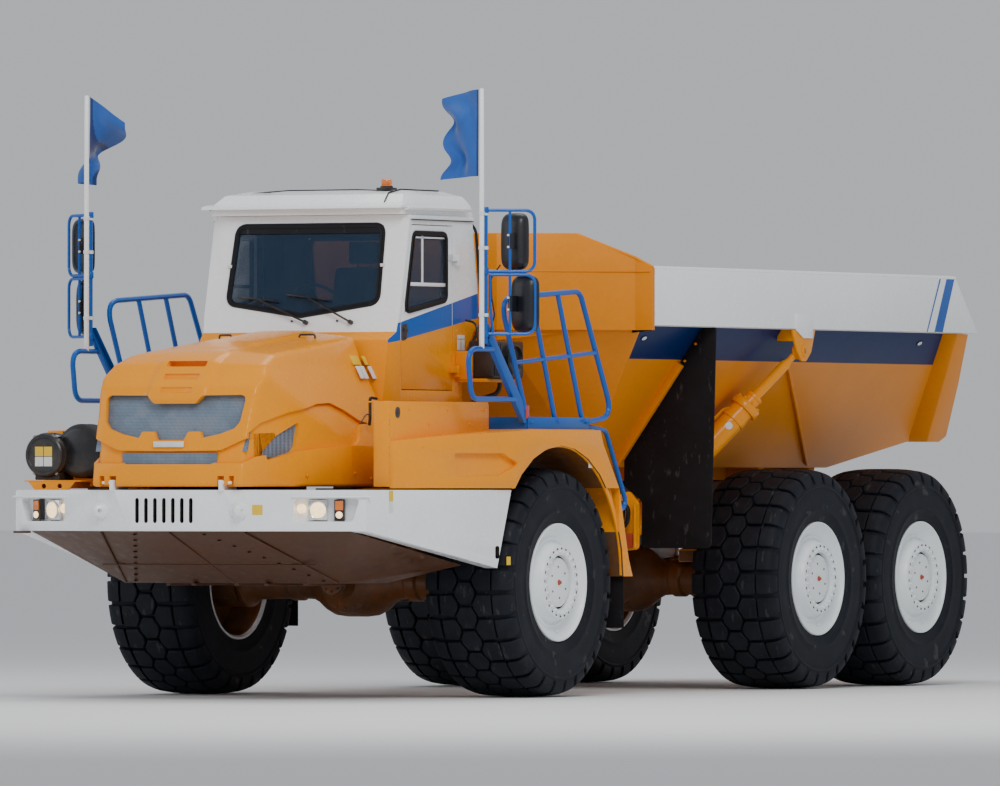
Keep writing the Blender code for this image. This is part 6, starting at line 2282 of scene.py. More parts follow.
    def dashboard(self) -> Shape:
        """The dashboard with its hood over the gauges, the column, the wheel and the levers."""
        bench, floor = self.bench, self.floor
        desk = bench.slab("desk", rounded([(-0.985, floor), (-0.945, floor + 0.40), (-0.86, floor + 0.485),
                                           (-0.83, floor + 0.565), (-0.76, floor + 0.50), (-0.78, floor)],
                                           [0, 0.03, 0.03, 0.02, 0.03, 0], 3), Along.X, -0.54, 0.54)
        bench.bevel(desk, 0.012, 3, 40)
        hood = bench.slab("gauges", rounded([(-0.20, floor + 0.50), (0.20, floor + 0.50), (0.16, floor + 0.62),
                                             (-0.16, floor + 0.62)], 0.03, 3),
                          Along.Y, -0.86, -0.74)
        bench.bevel(hood, 0.006, 2, 50)
        centre, axis = Vector((0, -0.61, floor + 0.71)), Vector((0, 0.24, 0.25)).normalized()
        turn = Matrix.Translation(centre) @ facing(axis)
        ring = [turn @ Vector((0.207 * math.cos(a), 0.207 * math.sin(a), 0))
                for a in (math.tau * i / 36 for i in range(36))]
        wheel = bench.tube("wheel", ring, 0.014, 2, closed=True)
        hub = bench.spun("hub", [(-0.05, 0.0), (-0.05, 0.03), (-0.02, 0.05), (0.005, 0.045), (0.012, 0.0)], centre,
                         axis, 18)
        spokes = [bench.tube("spoke", [turn @ Vector((0.03 * math.cos(a), 0.03 * math.sin(a), -0.01)),
                                       turn @ Vector((0.203 * math.cos(a), 0.203 * math.sin(a), 0))], 0.010, 1)
                  for a in (math.radians(v) for v in (20, 160, 270))]
        column = bench.rod("column", (0, -0.86, floor + 0.45), (0, -0.63, floor + 0.69), 0.028, 12, 0.004)
        lever = bench.bent("lever", [(0.03, -0.67, floor + 0.66), (0.12, -0.66, floor + 0.68),
                                     (0.19, -0.64, floor + 0.72)], 0.03, 0.006, 1)
        console = bench.block("console", (-0.52, -0.50, floor), (-0.34, 0.05, floor + 0.46), 0.02, 3)
        stick = bench.rod("stick", (-0.43, -0.36, floor + 0.45), (-0.43, -0.40, floor + 0.62), 0.012, 10, 0.004)
        knob = bench.spun("knob", [(0.0, 0.0), (0.004, 0.02), (0.022, 0.027), (0.042, 0.018), (0.048, 0.0)],
                          (-0.43, -0.402, floor + 0.61), (0, -0.2, 1), 14)
        return bench.fuse("dashboard_shown", desk, hood, wheel, hub, *spokes, column, lever, console, stick, knob)

    def unit(self) -> tuple[Shape, Shape, Shape]:
        """The black cooling unit behind the cab, its bracket and the labels beside it."""
        bench = self.bench
        box = bench.block("cooler", (0.95, 0.03, 2.45), (1.17, 0.53, 2.74), 0.02, 3)
        drum = bench.spun("drum", [(0.0, 0.0), (0.0, 0.115), (0.05, 0.120), (0.06, 0.105), (0.035, 0.095),
                                   (0.03, 0.03), (0.045, 0.025), (0.045, 0.0)], (1.165, 0.31, 2.595), ACROSS, 28)
        ribs = bench.repeat(bench.block("rib", (1.165, 0.05, 2.47), (1.182, 0.065, 2.72), 0.002, 1),
                            *[(0, 0.03 * i, 0) for i in range(4)])
        pipe = bench.bent("pipe", [(1.05, 0.36, 2.46), (1.05, 0.36, 2.34), (0.95, 0.16, 2.28), (0.80, 0.05, 2.18)],
                          0.08, 0.018, steps=5)
        wire = bench.bent("wire", [(1.0, 0.10, 2.74), (0.98, 0.11, 2.88), (0.88, 0.12, 2.90)], 0.06, 0.009, steps=5)
        box = bench.fuse("cooling_unit", box, drum, ribs, pipe, wire)
        shelf = bench.block("shelf", (0.84, 0.01, 2.42), (1.12, 0.48, 2.448), 0.004)
        tab = bench.block("tab", (0.86, -0.005, 2.44), (1.00, 0.028, 2.66), 0.005)
        bracket = bench.fuse("cooling_bracket", shelf, tab)
        labels = [bench.block("label", (0.861, y, 2.665), (0.8635, y + 0.05, 2.75), 0.001, 1) for y in (0.02, 0.085)]
        labels.append(bench.block("label", (0.861, 0.02, 2.757), (0.8635, 0.135, 2.785), 0.001, 1))
        return box, bracket, bench.fuse("cab_labels", *labels)

    def build(self) -> None:
        """Builds the cab on the front unit and its doors on theirs."""
        bench = self.bench
        # The last of these, INSIDE, is painted shade for the inside faces.
        coats = (WHITE, Worn(WHITE), ORANGE, BLUE, INSIDE)
        bench.deliver(self.shell(), "front_unit", "white_paint", *coats, replaces=("cab_shell",))
        gasket, panes, back = self.glazing()
        bench.deliver(gasket, "front_unit", "rubber", GASKET)
        bench.deliver(back, "front_unit", "rubber", GASKET)
        bench.deliver(panes, "front_unit", "glass", GLASS, replaces=("windshield",))
        cap, seams, foot = self.roof()
        bench.deliver(cap, "front_unit", "white_paint", WHITE, replaces=("cab_roof",))
        bench.deliver(seams, "front_unit", "black_plastic", HOSE)
        bench.deliver(foot, "front_unit", "black_plastic", BLACK)
        bench.deliver(self.beacon(), "front_unit", "glass", AMBER_LENS)
        bench.deliver(self.wipers(), "front_unit", "black_plastic", BLACK)
        bench.deliver(self.clips(), "front_unit", "white_paint", LABEL_WHITE)
        for cushion in self.cushions():
            bench.deliver(cushion, "front_unit", "seat_cloth", SEAT_CLOTH, angle=70.0)
        bench.deliver(self.seat_frame(), "front_unit", "black_plastic", BLACK, replaces=("operator_seat",))
        bench.deliver(self.dashboard(), "front_unit", "black_plastic", BLACK, replaces=("dashboard",))
        box, bracket, labels = self.unit()
        bench.deliver(box, "front_unit", "black_plastic", SATIN)
        bench.deliver(bracket, "front_unit", "orange_paint", ORANGE)
        bench.deliver(labels, "front_unit", "white_paint", LABEL_WHITE)
        gasket, pane, bars = self.door_glass()
        kinds = ((gasket, "rubber", GASKET), (pane, "glass", GLASS), (bars, "white_paint", WHITE),
                 (self.door_fittings(), "black_plastic", BLACK))
        for side in Side:
            body = f"door_{side.word}"
            bench.deliver(self.door(side), body, "orange_paint", *coats, replaces=(body,))
        for piece, slot, finish in kinds:
            bench.deliver_pair(piece, "door_{}", slot, finish)


# ---------------------------------------------------------------- fenders and side panels
@dataclass
class Sides:
    """The flared fenders, the panels beside the walkways and the lying air cleaner."""

    bench: Bench
    centre: tuple[float, float] = (-0.05, 0.91)
    radius: float = 1.02
    outer: float = 1.79

    def skin(self, y: float) -> float:
        """How far out the fender's sheet is at a place along the truck."""
        return 1.53 + (self.outer - 1.53) * min(1.0, max(0.0, (y + 2.20) / 1.41))

    def bolt_heads(self, name: str, places: Sequence[Point], radius: float = 0.011) -> Shape:
        """Six-sided bolt heads on washers, all facing outwards."""
        head = self.bench.spun(name, [(0.0, radius * 1.5), (0.002, radius * 1.5), (0.003, radius), (0.009, radius),
                                      (0.011, radius * 0.7), (0.0112, 0.0)], ORIGIN, ACROSS, 6)
        return self.bench.repeat(head, *places)

    def fender(self) -> tuple[Shape, Shape, Shape]:
        """The left fender with its pressed step, its flange, its inside darkened with dirt and painted shade, and its
        bolts.
        """
        bench, (cy, cz) = self.bench, self.centre
        sheet = bench.copy_node("fender_left", "fender_left_skin")
        pocket = [(-1.50, 1.868), (-0.92, 1.868), (-0.86, 1.835), (-0.72, 1.790), (-0.98, 1.700), (-1.46, 1.690)]
        tool = bench.slab("pocket", rounded(pocket, 0.02, 3), Along.X, 0.0, 0.20)
        for vert in tool.data.vertices:
            deep = 0.034 * max(0.0, (vert.co.z - 1.69) / 0.178) - 0.002
            vert.co.x = self.skin(vert.co.y) + (0.05 if vert.co.x > 0.1 else -deep)
        bench.cut(sheet, tool)
        bench.bevel(sheet, 0.007, 2, 28.0, worn=True)
        # The inside of the arch is painted dark brown: dirt and painted shade.
        bench.tint(sheet, 2, lambda place, normal: math.hypot(place.y - cy, place.z - cz) < self.radius + 0.01
                   and place.x < self.outer - 0.02)
        ends = [(cy + r * math.cos(a), cz + r * math.sin(a))
                for r, low, high in ((self.radius - 0.012, 1.0, 137.0), (self.radius + 0.030, 137.0, 1.0))
                for a in (math.radians(low + (high - low) * step / 36) for step in range(37))]
        flange = bench.bevel(bench.slab("flange", ends, Along.X, self.outer - 0.012, self.outer + 0.006), 0.003, 2,
                             50.0)
        hem = bench.tube("hem", [(self.outer - 0.02, y, z)
                                 for y, z in ((0.597, 2.045), (0.86, 1.49), (1.122, 0.925))], 0.008, 1)
        fold = bench.block("fold", (1.30, -0.50, 2.046), (self.outer - 0.01, 0.55, 2.056), 0.003)
        sheet = bench.fuse("fender_left_skin", sheet, flange, hem, fold)
        bolts = self.bolt_heads("fender_bolts", [(self.skin(y) - 0.001, y, z) for y, z in
                                                 ((-1.86, 1.915), (-0.76, 1.94), (-1.52, 1.655), (-1.06, 1.655),
                                                  (-1.10, 1.63), (-1.56, 1.63))])
        tags = [bench.block("tag", (self.outer + 0.0005, 0.43, 1.76), (self.outer + 0.0025, 0.50, 1.85), 0.001, 1),
                bench.block("tag", (self.outer + 0.0005, 0.42, 1.865), (self.outer + 0.0025, 0.47, 1.925), 0.001, 1)]
        bench.tint(tags[1], 1)
        flap = bench.block("splash", (1.12, 1.020, 0.52), (1.78, 1.033, 1.16), 0.004)
        clamp = bench.block("clamp", (1.14, 1.010, 1.10), (1.76, 1.045, 1.13), 0.003)
        return (bench.fuse("fender_{}_skin", sheet, bolts), bench.fuse("fender_tags", *tags),
                bench.fuse("splash", flap, clamp))

    def locker(self, side: Side) -> tuple[Shape, Shape]:
        """The panel beside a walkway, with its sunk handle and its bolts.

        Args:
            side: Which side of the truck it's on.

        Returns:
            The panel and its black latch.
        """
        bench, top = self.bench, 2.26 if side is Side.LEFT else 2.045
        outline = [(-2.20, 1.613), (-2.20, top - 0.012), (-2.17, top), (-0.64, top), (-0.64, 1.613)]
        sheet = bench.slab("locker", rounded(outline, [0, 0.02, 0.05, 0.03, 0], 3), Along.X, 1.488, 1.50)
        shelf = bench.block("shelf", (1.30, -2.19, top - 0.012), (1.494, -0.64, top), 0.004)
        face = bench.block("face", (1.36, -2.20, 1.613), (1.494, -2.188, top - 0.004), 0.004)
        tail = bench.block("tail", (1.36, -0.652, 1.613), (1.494, -0.64, top - 0.004), 0.004)
        foot = bench.block("foot", (1.38, -2.19, 1.613), (1.494, -0.64, 1.625), 0.003)
        sheet = bench.fuse(f"side_panel_{side.word}", bench.bevel(sheet, 0.004, 2, 50.0, worn=True), shelf, face,
                           tail, foot)
        high = top - 0.085
        cup = bench.slab("cup", rounded([(-2.115, high - 0.042), (-2.045, high - 0.042), (-2.045, high + 0.042),
                                         (-2.115, high + 0.042)],
                                        0.034, 5), Along.X, 1.498, 1.506)
        bench.bevel(cup, 0.003, 2)
        pull = bench.block("pull", (1.503, -2.095, high - 0.012), (1.512, -2.065, high + 0.022), 0.003)
        cup = bench.fuse(f"panel_latch_{side.word}", cup, pull)
        bolts = self.bolt_heads("locker_bolts", [(1.4995, y, top - 0.06) for y in (-1.90, -1.30, -0.72)]
                                + [(1.4995, y, top - 0.17) for y in (-1.60, -0.95)], 0.008)
        sheet = bench.fuse(sheet.name, sheet, bolts)
        if side is Side.RIGHT:
            mirror = Matrix.Scale(-1.0, 4, ACROSS)
            for piece in (sheet, cup):
                piece.data.transform(mirror)
                piece.data.flip_normals()
        return sheet, cup

    def bracket(self) -> Shape:
        """The folded bracket under the air cleaner: a tray with a pierced, tapering face."""
        bench = self.bench
        tray = bench.block("tray", (-1.50, -2.535, 1.652), (-1.00, -2.19, 1.664), 0.003)
        face = bench.slab("face", [(-1.47, 1.656), (-1.405, 1.585), (-1.115, 1.585), (-1.05, 1.656)], Along.Y, -2.532,
                          -2.520)
        bench.cut(face, *[bench.rod("hole", (x, -2.6, 1.618), (x, -2.4, 1.618), 0.020, 20, 0)
                          for x in (-1.330, -1.190)])
        bench.bevel(face, 0.002, 1)
        ribs = [bench.slab("rib", [(-2.52, 1.652), (-2.52, 1.60), (-2.22, 1.60), (-2.20, 1.652)], Along.X, x,
                           x + 0.010) for x in (-1.41, -1.12)]
        return bench.fuse("cleaner_bracket", tray, face, *ribs)

    def cleaner(self) -> tuple[Shape, Shape, Shape]:
        """The air cleaner: a capped drum with the wider ribbed housing behind it, clamps and labels."""
        bench = self.bench
        x, z, r = -1.34, 1.855, 0.165
        drum = bench.spun("drum", [(-2.516, 0.0), (-2.516, 0.128), (-2.524, 0.134), (-2.524, 0.152),
                                   (-2.514, r - 0.003), (-2.480, r), (-2.472, r + 0.006), (-2.458, r + 0.006),
                                   (-2.450, r - 0.004), (-2.32, r - 0.004), (-2.312, r + 0.002), (-2.298, r + 0.002),
                                   (-2.290, r - 0.004), (-2.208, r - 0.004), (-2.208, 0.0)], (x, 0, z), ALONG, 44)
        wide = [(-2.425, 0.0), (-2.425, 0.155), (-2.415, 0.185), (-2.395, 0.202)]
        for step in range(5):
            at = -2.385 + 0.034 * step
            wide += [(at, 0.202), (at + 0.006, 0.208), (at + 0.018, 0.208), (at + 0.024, 0.202)]
        wide += [(-2.208, 0.202), (-2.208, 0.0)]
        house = bench.spun("house", wide, (-1.09, 0, 1.885), ALONG, 48)
        saddle = bench.slab("saddle", rounded([(-1.45, 1.666), (-1.23, 1.666), (-1.24, 1.73), (-1.44, 1.73)], 0.01,
                                              2), Along.Y, -2.46, -2.25)
        strap = bench.spun("strap", [(-2.405, r + 0.001), (-2.405, r + 0.007), (-2.365, r + 0.007),
                                     (-2.365, r + 0.001)], (x, 0, z),
                           ALONG, 40)
        duct = bench.bent("duct", [(-1.09, -2.25, 2.00), (-1.09, -2.02, 2.02), (-0.97, -1.86, 2.00),
                                   (-0.86, -1.84, 2.00)], 0.14, 0.078, steps=6)
        clips = []
        for turn in (35, 145, 215, 325):
            a = math.radians(turn)
            clip = bench.block("clip", (-0.013, -2.492, r - 0.006), (0.013, -2.435, r + 0.016), 0.004)
            clip.data.transform(Matrix.Translation((x, 0, z)) @ Matrix.Rotation(a, 4, "Y"))
            clips.append(clip)
        pair = [bench.block("tag", (x + dx, -2.5185, z + dz), (x + dx + 0.072, -2.5155, z + dz + 0.072), 0.001, 1)
                for dx in (-0.075, 0.003) for dz in (-0.085, -0.008)]
        for tag in (pair[1], pair[3]):
            bench.tint(tag, 1)
        return (bench.fuse("air_cleaner_shown", drum, house, saddle, strap, duct),
                bench.fuse("cleaner_clips", *clips),
                bench.fuse("cleaner_tags", *pair))

    def build(self) -> None:
        """Builds both sides of the front unit."""
        bench = self.bench
        sheet, tags, flap = self.fender()
        bench.deliver_pair(sheet, "front_unit", "orange_paint", ORANGE, Worn(ORANGE), HOLLOW_DIRT_AND_SHADE, replaces="fender_{}")
        bench.deliver_pair(tags, "front_unit", "white_paint", LABEL_WHITE, LABEL_YELLOW)
        bench.deliver_pair(flap, "front_unit", "rubber", FLAP)
        for side in Side:
            panel, latch = self.locker(side)
            if side is Side.RIGHT:
                panel = bench.fuse(panel.name, panel, self.bracket())
            bench.deliver(panel, "front_unit", "orange_paint", ORANGE, Worn(ORANGE),
                          replaces=(f"side_box_{side.word}",))
            bench.deliver(latch, "front_unit", "black_plastic", BLACK)
        body, clips, tags = self.cleaner()
        bench.deliver(body, "front_unit", "black_plastic", SATIN, replaces=("air_cleaner",))
        bench.deliver(clips, "front_unit", "dark_steel", STEEL)
        bench.deliver(tags, "front_unit", "white_paint", LABEL_WHITE, LABEL_YELLOW)


# ---------------------------------------------------------------- rails, mirrors and flags
@dataclass
class Rails:
    """The blue step decks with their rails, the mirrors on their frames, and the flags on their poles."""

    bench: Bench
    x: float = 1.74
    post: float = -1.14
    pole: float = -1.195
    tube: float = 0.021
    pole_top: float = 4.64
    deck_top: float = 2.148

    def deck(self) -> Shape:
        """The left step deck: a folded frame with a grating of toothed bars."""
        bench, x = self.bench, self.x
        low, top = 2.0535, self.deck_top
        outer = bench.block("outer", (x + 0.012, -0.50, low), (x + 0.020, 0.50, top), 0.003)
        inner = bench.block("inner", (x - 0.42, -0.50, low), (x - 0.412, 0.50, top), 0.003)
        front = bench.block("front", (x - 0.42, -0.50, low), (x + 0.020, -0.492, top), 0.003)
        rear = bench.block("rear", (x - 0.42, 0.492, low), (x + 0.020, 0.50, top), 0.003)
        sole = bench.block("sole", (x - 0.42, -0.50, low), (x + 0.020, 0.50, low + 0.006), 0.002, 1)
        bars = bench.repeat(bench.block("bar", (x - 0.415, -0.482, top - 0.030), (x + 0.015, -0.474, top - 0.002),
                                        0.001, 1),
                            *[(0, 0.0475 * step, 0) for step in range(21)])
        runs = bench.repeat(bench.block("run", (x - 0.34, -0.495, top - 0.032), (x - 0.334, 0.495, top - 0.006),
                                        0.001, 1),
                            *[(0.085 * step, 0, 0) for step in range(5)])
        return bench.fuse("deck", outer, inner, front, rear, sole, bars, runs)

    def rail(self) -> Shape:
        """The left rail loops, stringer, hoop, ladder and mirror frame."""
        bench, x, r = self.bench, self.x, self.tube
        loop = bench.bent("loop", [(x, -0.46, 2.10), (x, -0.90, 3.05), (x, 0.38, 3.12), (x, 0.92, 2.16),
                                   (x, 0.48, 2.11)], 0.11, r, steps=6)
        uprights = [bench.tube("upright", path, r * 0.92)
                    for path in ([(x, -0.40, 3.078), (x, -0.02, 2.12)], [(x, 0.02, 3.10), (x, 0.42, 2.12)])]
        middle = bench.tube("middle", [(x, -0.67, 2.56), (x, 0.64, 2.65)], r * 0.8)
        stringer = bench.slab("stringer",
                              rounded([(-1.16, 2.80), (-1.155, 2.86), (-1.10, 2.85), (-0.40, 2.10), (-0.53, 2.10)],
                                                  [0.01, 0.02, 0.03, 0, 0], 3), Along.X, x + 0.004, x + 0.012)
        flange = [bench.slab("flange", [(-1.155, 2.795), (-1.145, 2.795), (-0.52, 2.10), (-0.535, 2.10)], Along.X,
                             x - 0.03, x + 0.010),
                  bench.slab("flange", [(-1.105, 2.845), (-1.095, 2.845), (-0.40, 2.10), (-0.412, 2.10)], Along.X,
                             x - 0.03, x + 0.010)]
        for plate in (stringer, *flange):
            bench.bevel(plate, 0.002, 2)
        hoop = bench.bent("hoop", [(x, -1.02, 2.66), (x, -1.42, 2.66), (x, -1.36, 2.28), (x, -0.66, 2.28)], 0.10, r,
                          steps=6)
        at = x - 0.03
        ladder = bench.bent("ladder", [(at, 0.40, 2.095), (at, 0.86, 2.05), (at, 1.22, 1.46), (at, 1.02, 1.42)], 0.08,
                            r * 0.9, steps=6)
        post = bench.tube("post", [(x, self.post, 2.70), (x, self.post, 3.73)], r)
        parts = [loop, *uprights, middle, stringer, *flange, hoop, ladder, post]
        out = Vector((0.315, 0.21, 0))
        base = Vector((x, self.post, 0))

        def spot(share: float, z: float) -> Vector:
            """A point of the mirror frame's plane."""
            return base + out * share + Vector((0, 0, z))

        parts.append(bench.bent("upper_loop", [spot(0.0, 3.715), spot(1.0, 3.715), spot(1.0, 3.250),
                                               spot(0.0, 3.250)], 0.07, 0.0125, steps=6))
        parts.append(bench.bent("lower_loop", [spot(0.10, 3.225), spot(1.0, 3.225), spot(1.0, 2.775),
                                               spot(0.04, 2.775)], 0.07, 0.0125, steps=6))
        parts.append(bench.bent("inner_run", [spot(0.10, 3.225), spot(0.10, 3.0), spot(0.16, 2.775)], 0.05, 0.011,
                                steps=6))
        parts.append(bench.tube("bar", [spot(0.5, 3.715), spot(0.5, 2.775)], 0.0115))
        for z in (3.715, 3.250, 2.775):
            parts.append(bench.rod("collar", (x, self.post, z - 0.024), (x, self.post, z + 0.024), r + 0.006, 18,
                                   0.003))
        for y, z in ((-0.455, 2.115), (0.482, 2.108), (-0.02, 2.125), (0.42, 2.125)):
            parts.append(bench.rod("foot", (x, y, z - 0.012), (x, y, z + 0.012), r + 0.016, 18, 0.003))
        return bench.fuse("rail", *parts)

    def mirrors(self, upper: float = -16.0, lower: float = -16.0,
                offset: float = -0.045) -> tuple[Shape, Shape, Shape]:
        """The left mirror heads: domed housings with silvered faces at the back, their bolts and cable.

        Args:
            upper: How far the upper head is turned, in degrees.
            lower: How far the lower head is turned.
            offset: How far outboard of the bar the upper head stands.

        Returns:
            The heads, their faces and their bolts.
        """
        bench = self.bench
        middle = Vector((self.x + 0.16, -1.005, 0))
        shells, glasses, bolts = [], [], []
        for height, turn, aside in ((3.480, upper, offset), (3.005, lower, 0.045)):
            place = Matrix.Translation((middle.x + aside, middle.y + 0.100,
                                        height)) @ Matrix.Rotation(math.radians(turn), 4, "Z")
            rings = []
            for depth, scale_x, scale_z, radius in ((0.052, 0.117, 0.212, 0.07), (0.058, 0.121, 0.217, 0.07),
                                                    (0.030, 0.123, 0.219, 0.07), (-0.005, 0.120, 0.214, 0.07),
                                                    (-0.032, 0.104, 0.196, 0.07), (-0.046, 0.075, 0.160, 0.06),
                                                    (-0.052, 0.030, 0.085, 0.028)):
                corners = [(-scale_x, -scale_z), (scale_x, -scale_z), (scale_x, scale_z), (-scale_x, scale_z)]
                rings.append([place @ Vector((p.x, depth, p.y)) for p in rounded(corners, radius, 5)])
            shells.append(bench.soften(bench.loft("shell", rings), 1))
            glass = bench.slab("silver", rounded([(-0.100, -0.192), (0.100, -0.192), (0.100, 0.192), (-0.100, 0.192)],
                                                 0.055, 5), Along.Y,
                               0.049, 0.0545)
            glass.data.transform(place)
            glasses.append(glass)
            bolts += [bench.rod("bolt", (middle.x - 0.010, middle.y - 0.052, z),
                                (middle.x - 0.010, middle.y - 0.036, z), 0.009, 12, 0.003)
                      for z in (height - 0.045, height + 0.045)]
            arm = bench.block("arm", (middle.x - 0.016, middle.y - 0.040, height - 0.06),
                              (middle.x + 0.016, middle.y + 0.055, height + 0.06),
                              0.006)
            shells.append(arm)
        cable = bench.bent("cable", [(self.x + 0.10, -1.08, 3.30), (self.x + 0.03, -1.10, 3.20),
                                     (self.x + 0.035, -1.10, 3.05), (self.x + 0.06, -1.10, 2.92),
                                     (self.x + 0.02, -1.12, 2.74)], 0.06, 0.006, 1, steps=6)
        return bench.fuse("mirror_heads", *shells, cable), bench.fuse("mirror_faces",
                                                                      *glasses), bench.fuse("mirror_bolts", *bolts)

    def mast(self) -> tuple[Shape, Shape]:
        """The left flag pole with its cap and its clips."""
        bench = self.bench
        mast = bench.spun("mast", [(2.655, 0.0), (2.655, 0.016), (2.661, 0.020),
                                   (3.98, 0.0195), (self.pole_top - 0.012, 0.0175),
                                   (self.pole_top - 0.002, 0.013), (self.pole_top, 0.0)], (self.x, self.pole, 0), UP,
                                   20)
        clips = []
        for z in (2.905, 3.415, 3.675):
            band = bench.spun("band", [(z, 0.0195), (z, 0.025), (z + 0.026, 0.025), (z + 0.026, 0.0195)],
                              (self.x, self.pole, 0), UP, 20)
            link = bench.block("link", (self.x - 0.012, self.pole + 0.018, z),
                               (self.x + 0.012, self.post - 0.018, z + 0.026), 0.003)
            hug = bench.spun("hug", [(z, self.tube + 0.0005), (z, self.tube + 0.005), (z + 0.026, self.tube + 0.005),
                                     (z + 0.026, self.tube + 0.0005)], (self.x, self.post, 0), UP, 20)
            clips += [band, link, hug]
        return mast, bench.fuse("mast_clips", *clips)

    def flag(self, side: Side) -> Shape:
        """A flag: cloth that keeps its width along every level while it folds and turns about its pole.

        Args:
            side: Which side of the truck it's on.

        Returns:
            The flag.
        """
        bench, columns, rows = self.bench, 44, 60
        wide, tall = (0.345, 0.66) if side is Side.LEFT else (0.30, 0.66)
        bpy.ops.mesh.primitive_grid_add(x_subdivisions=columns, y_subdivisions=rows, size=1.0, location=(0, 0, 0))
        cloth = bench.ground(f"flag_{side.word}_cloth")
        for vert in cloth.data.vertices:
            along, down = vert.co.x + 0.5, 0.5 - vert.co.y
            steps = max(1, round(along * columns))
            x = y = 0.0
            for step in range(steps):
                u = (step + 0.5) / columns
                if side is Side.LEFT:
                    reach = (0.92 + 0.36 * math.cos(math.tau * (down - 0.29) / 0.48)) * min(1.0, u * 3.0)
                    wave = math.tau * (1.15 * u - 0.10 + 1.1 * down) + 0.9 * math.sin(4.0 * down)
                    swing = reach * math.sin(wave)
                    turn = 0.10 * math.sin(5.2 * down)
                else:
                    waist, foot = ease((down - 0.10) / 0.48), ease((down - 0.55) / 0.38)
                    swing = 0.30 * (1.0 - foot) * math.sin(math.tau * (1.1 * u + 0.8 * down + 0.15))
                    turn = (0.20 + 1.65 * waist) * (1.0 - foot) + foot * (2.90 - 2.60 * ease((u - 0.34) / 0.28))
                x += math.cos(swing + turn) * wide / columns
                y += math.sin(swing + turn) * wide / columns
            if side is Side.LEFT:
                drop = 0.075 * along ** 1.5 * (1.0 - 0.6 * down)
            else:
                drop = 0.20 * along * (1.0 - down) ** 1.4 + 0.03 * along
            vert.co = Vector((side.value * (self.x - 0.022 - x), self.pole + 0.004 + y * 0.9,
                              self.pole_top - 0.008 - down * tall - drop * 0.9))
        bench.outward(cloth)
        bench.tint(cloth, 1, lambda place, normal: abs(abs(place.x) - self.x + 0.022) < 0.022)
        bench.apply(cloth, "SOLIDIFY", thickness=0.0012, offset=0.0)
        return bench.soften(cloth, 1)

    def build(self) -> None:
        """Builds both sides' decks, rails, mirrors, poles and flags."""
        bench = self.bench
        deck = bench.fuse("handrail_shown", self.deck(), self.rail())
        mirrors, far = self.mirrors(), self.mirrors(31.0, 56.0, 0.055)
        mast, clips = self.mast()
        red = bench.block("reflector", (self.x + 0.0125, -0.525, 2.135), (self.x + 0.020, -0.470, 2.235), 0.006, 3)
        for left, right, slot, finish, node in zip(mirrors, far, ("black_plastic", "chromed_rod", "white_paint"),
                                                   (HOUSING, MIRROR, LABEL_WHITE), ("mirrors_{}", "", "")):
            base = left.name.split(".")[0]
            other = bench.other_side(right, base + "_right")
            bench.scrap(right)
            left.name = left.data.name = base + "_left"
            for part, side in ((left, Side.LEFT), (other, Side.RIGHT)):
                bench.deliver(part, "front_unit", slot, finish, replaces=(node.format(side.word),) if node else ())
        for piece, slot, finish, node in ((deck, "blue_paint", BLUE, "handrail_{}"),
                                          (mast, "white_paint", WHITE, "flag_pole_{}"),
                                          (clips, "white_paint", LABEL_WHITE, ""), (red, "glass", RED_LENS, "")):
            bench.deliver_pair(piece, "front_unit", slot, finish, replaces=node)
        for side in Side:
            cloth = self.flag(side)
            bench.deliver(cloth, "front_unit", "flag_cloth", FLAG_BLUE, FLAG_SLEEVE, replaces=(f"flag_{side.word}",),
                          angle=80.0)
            f"mast_{side.word}"


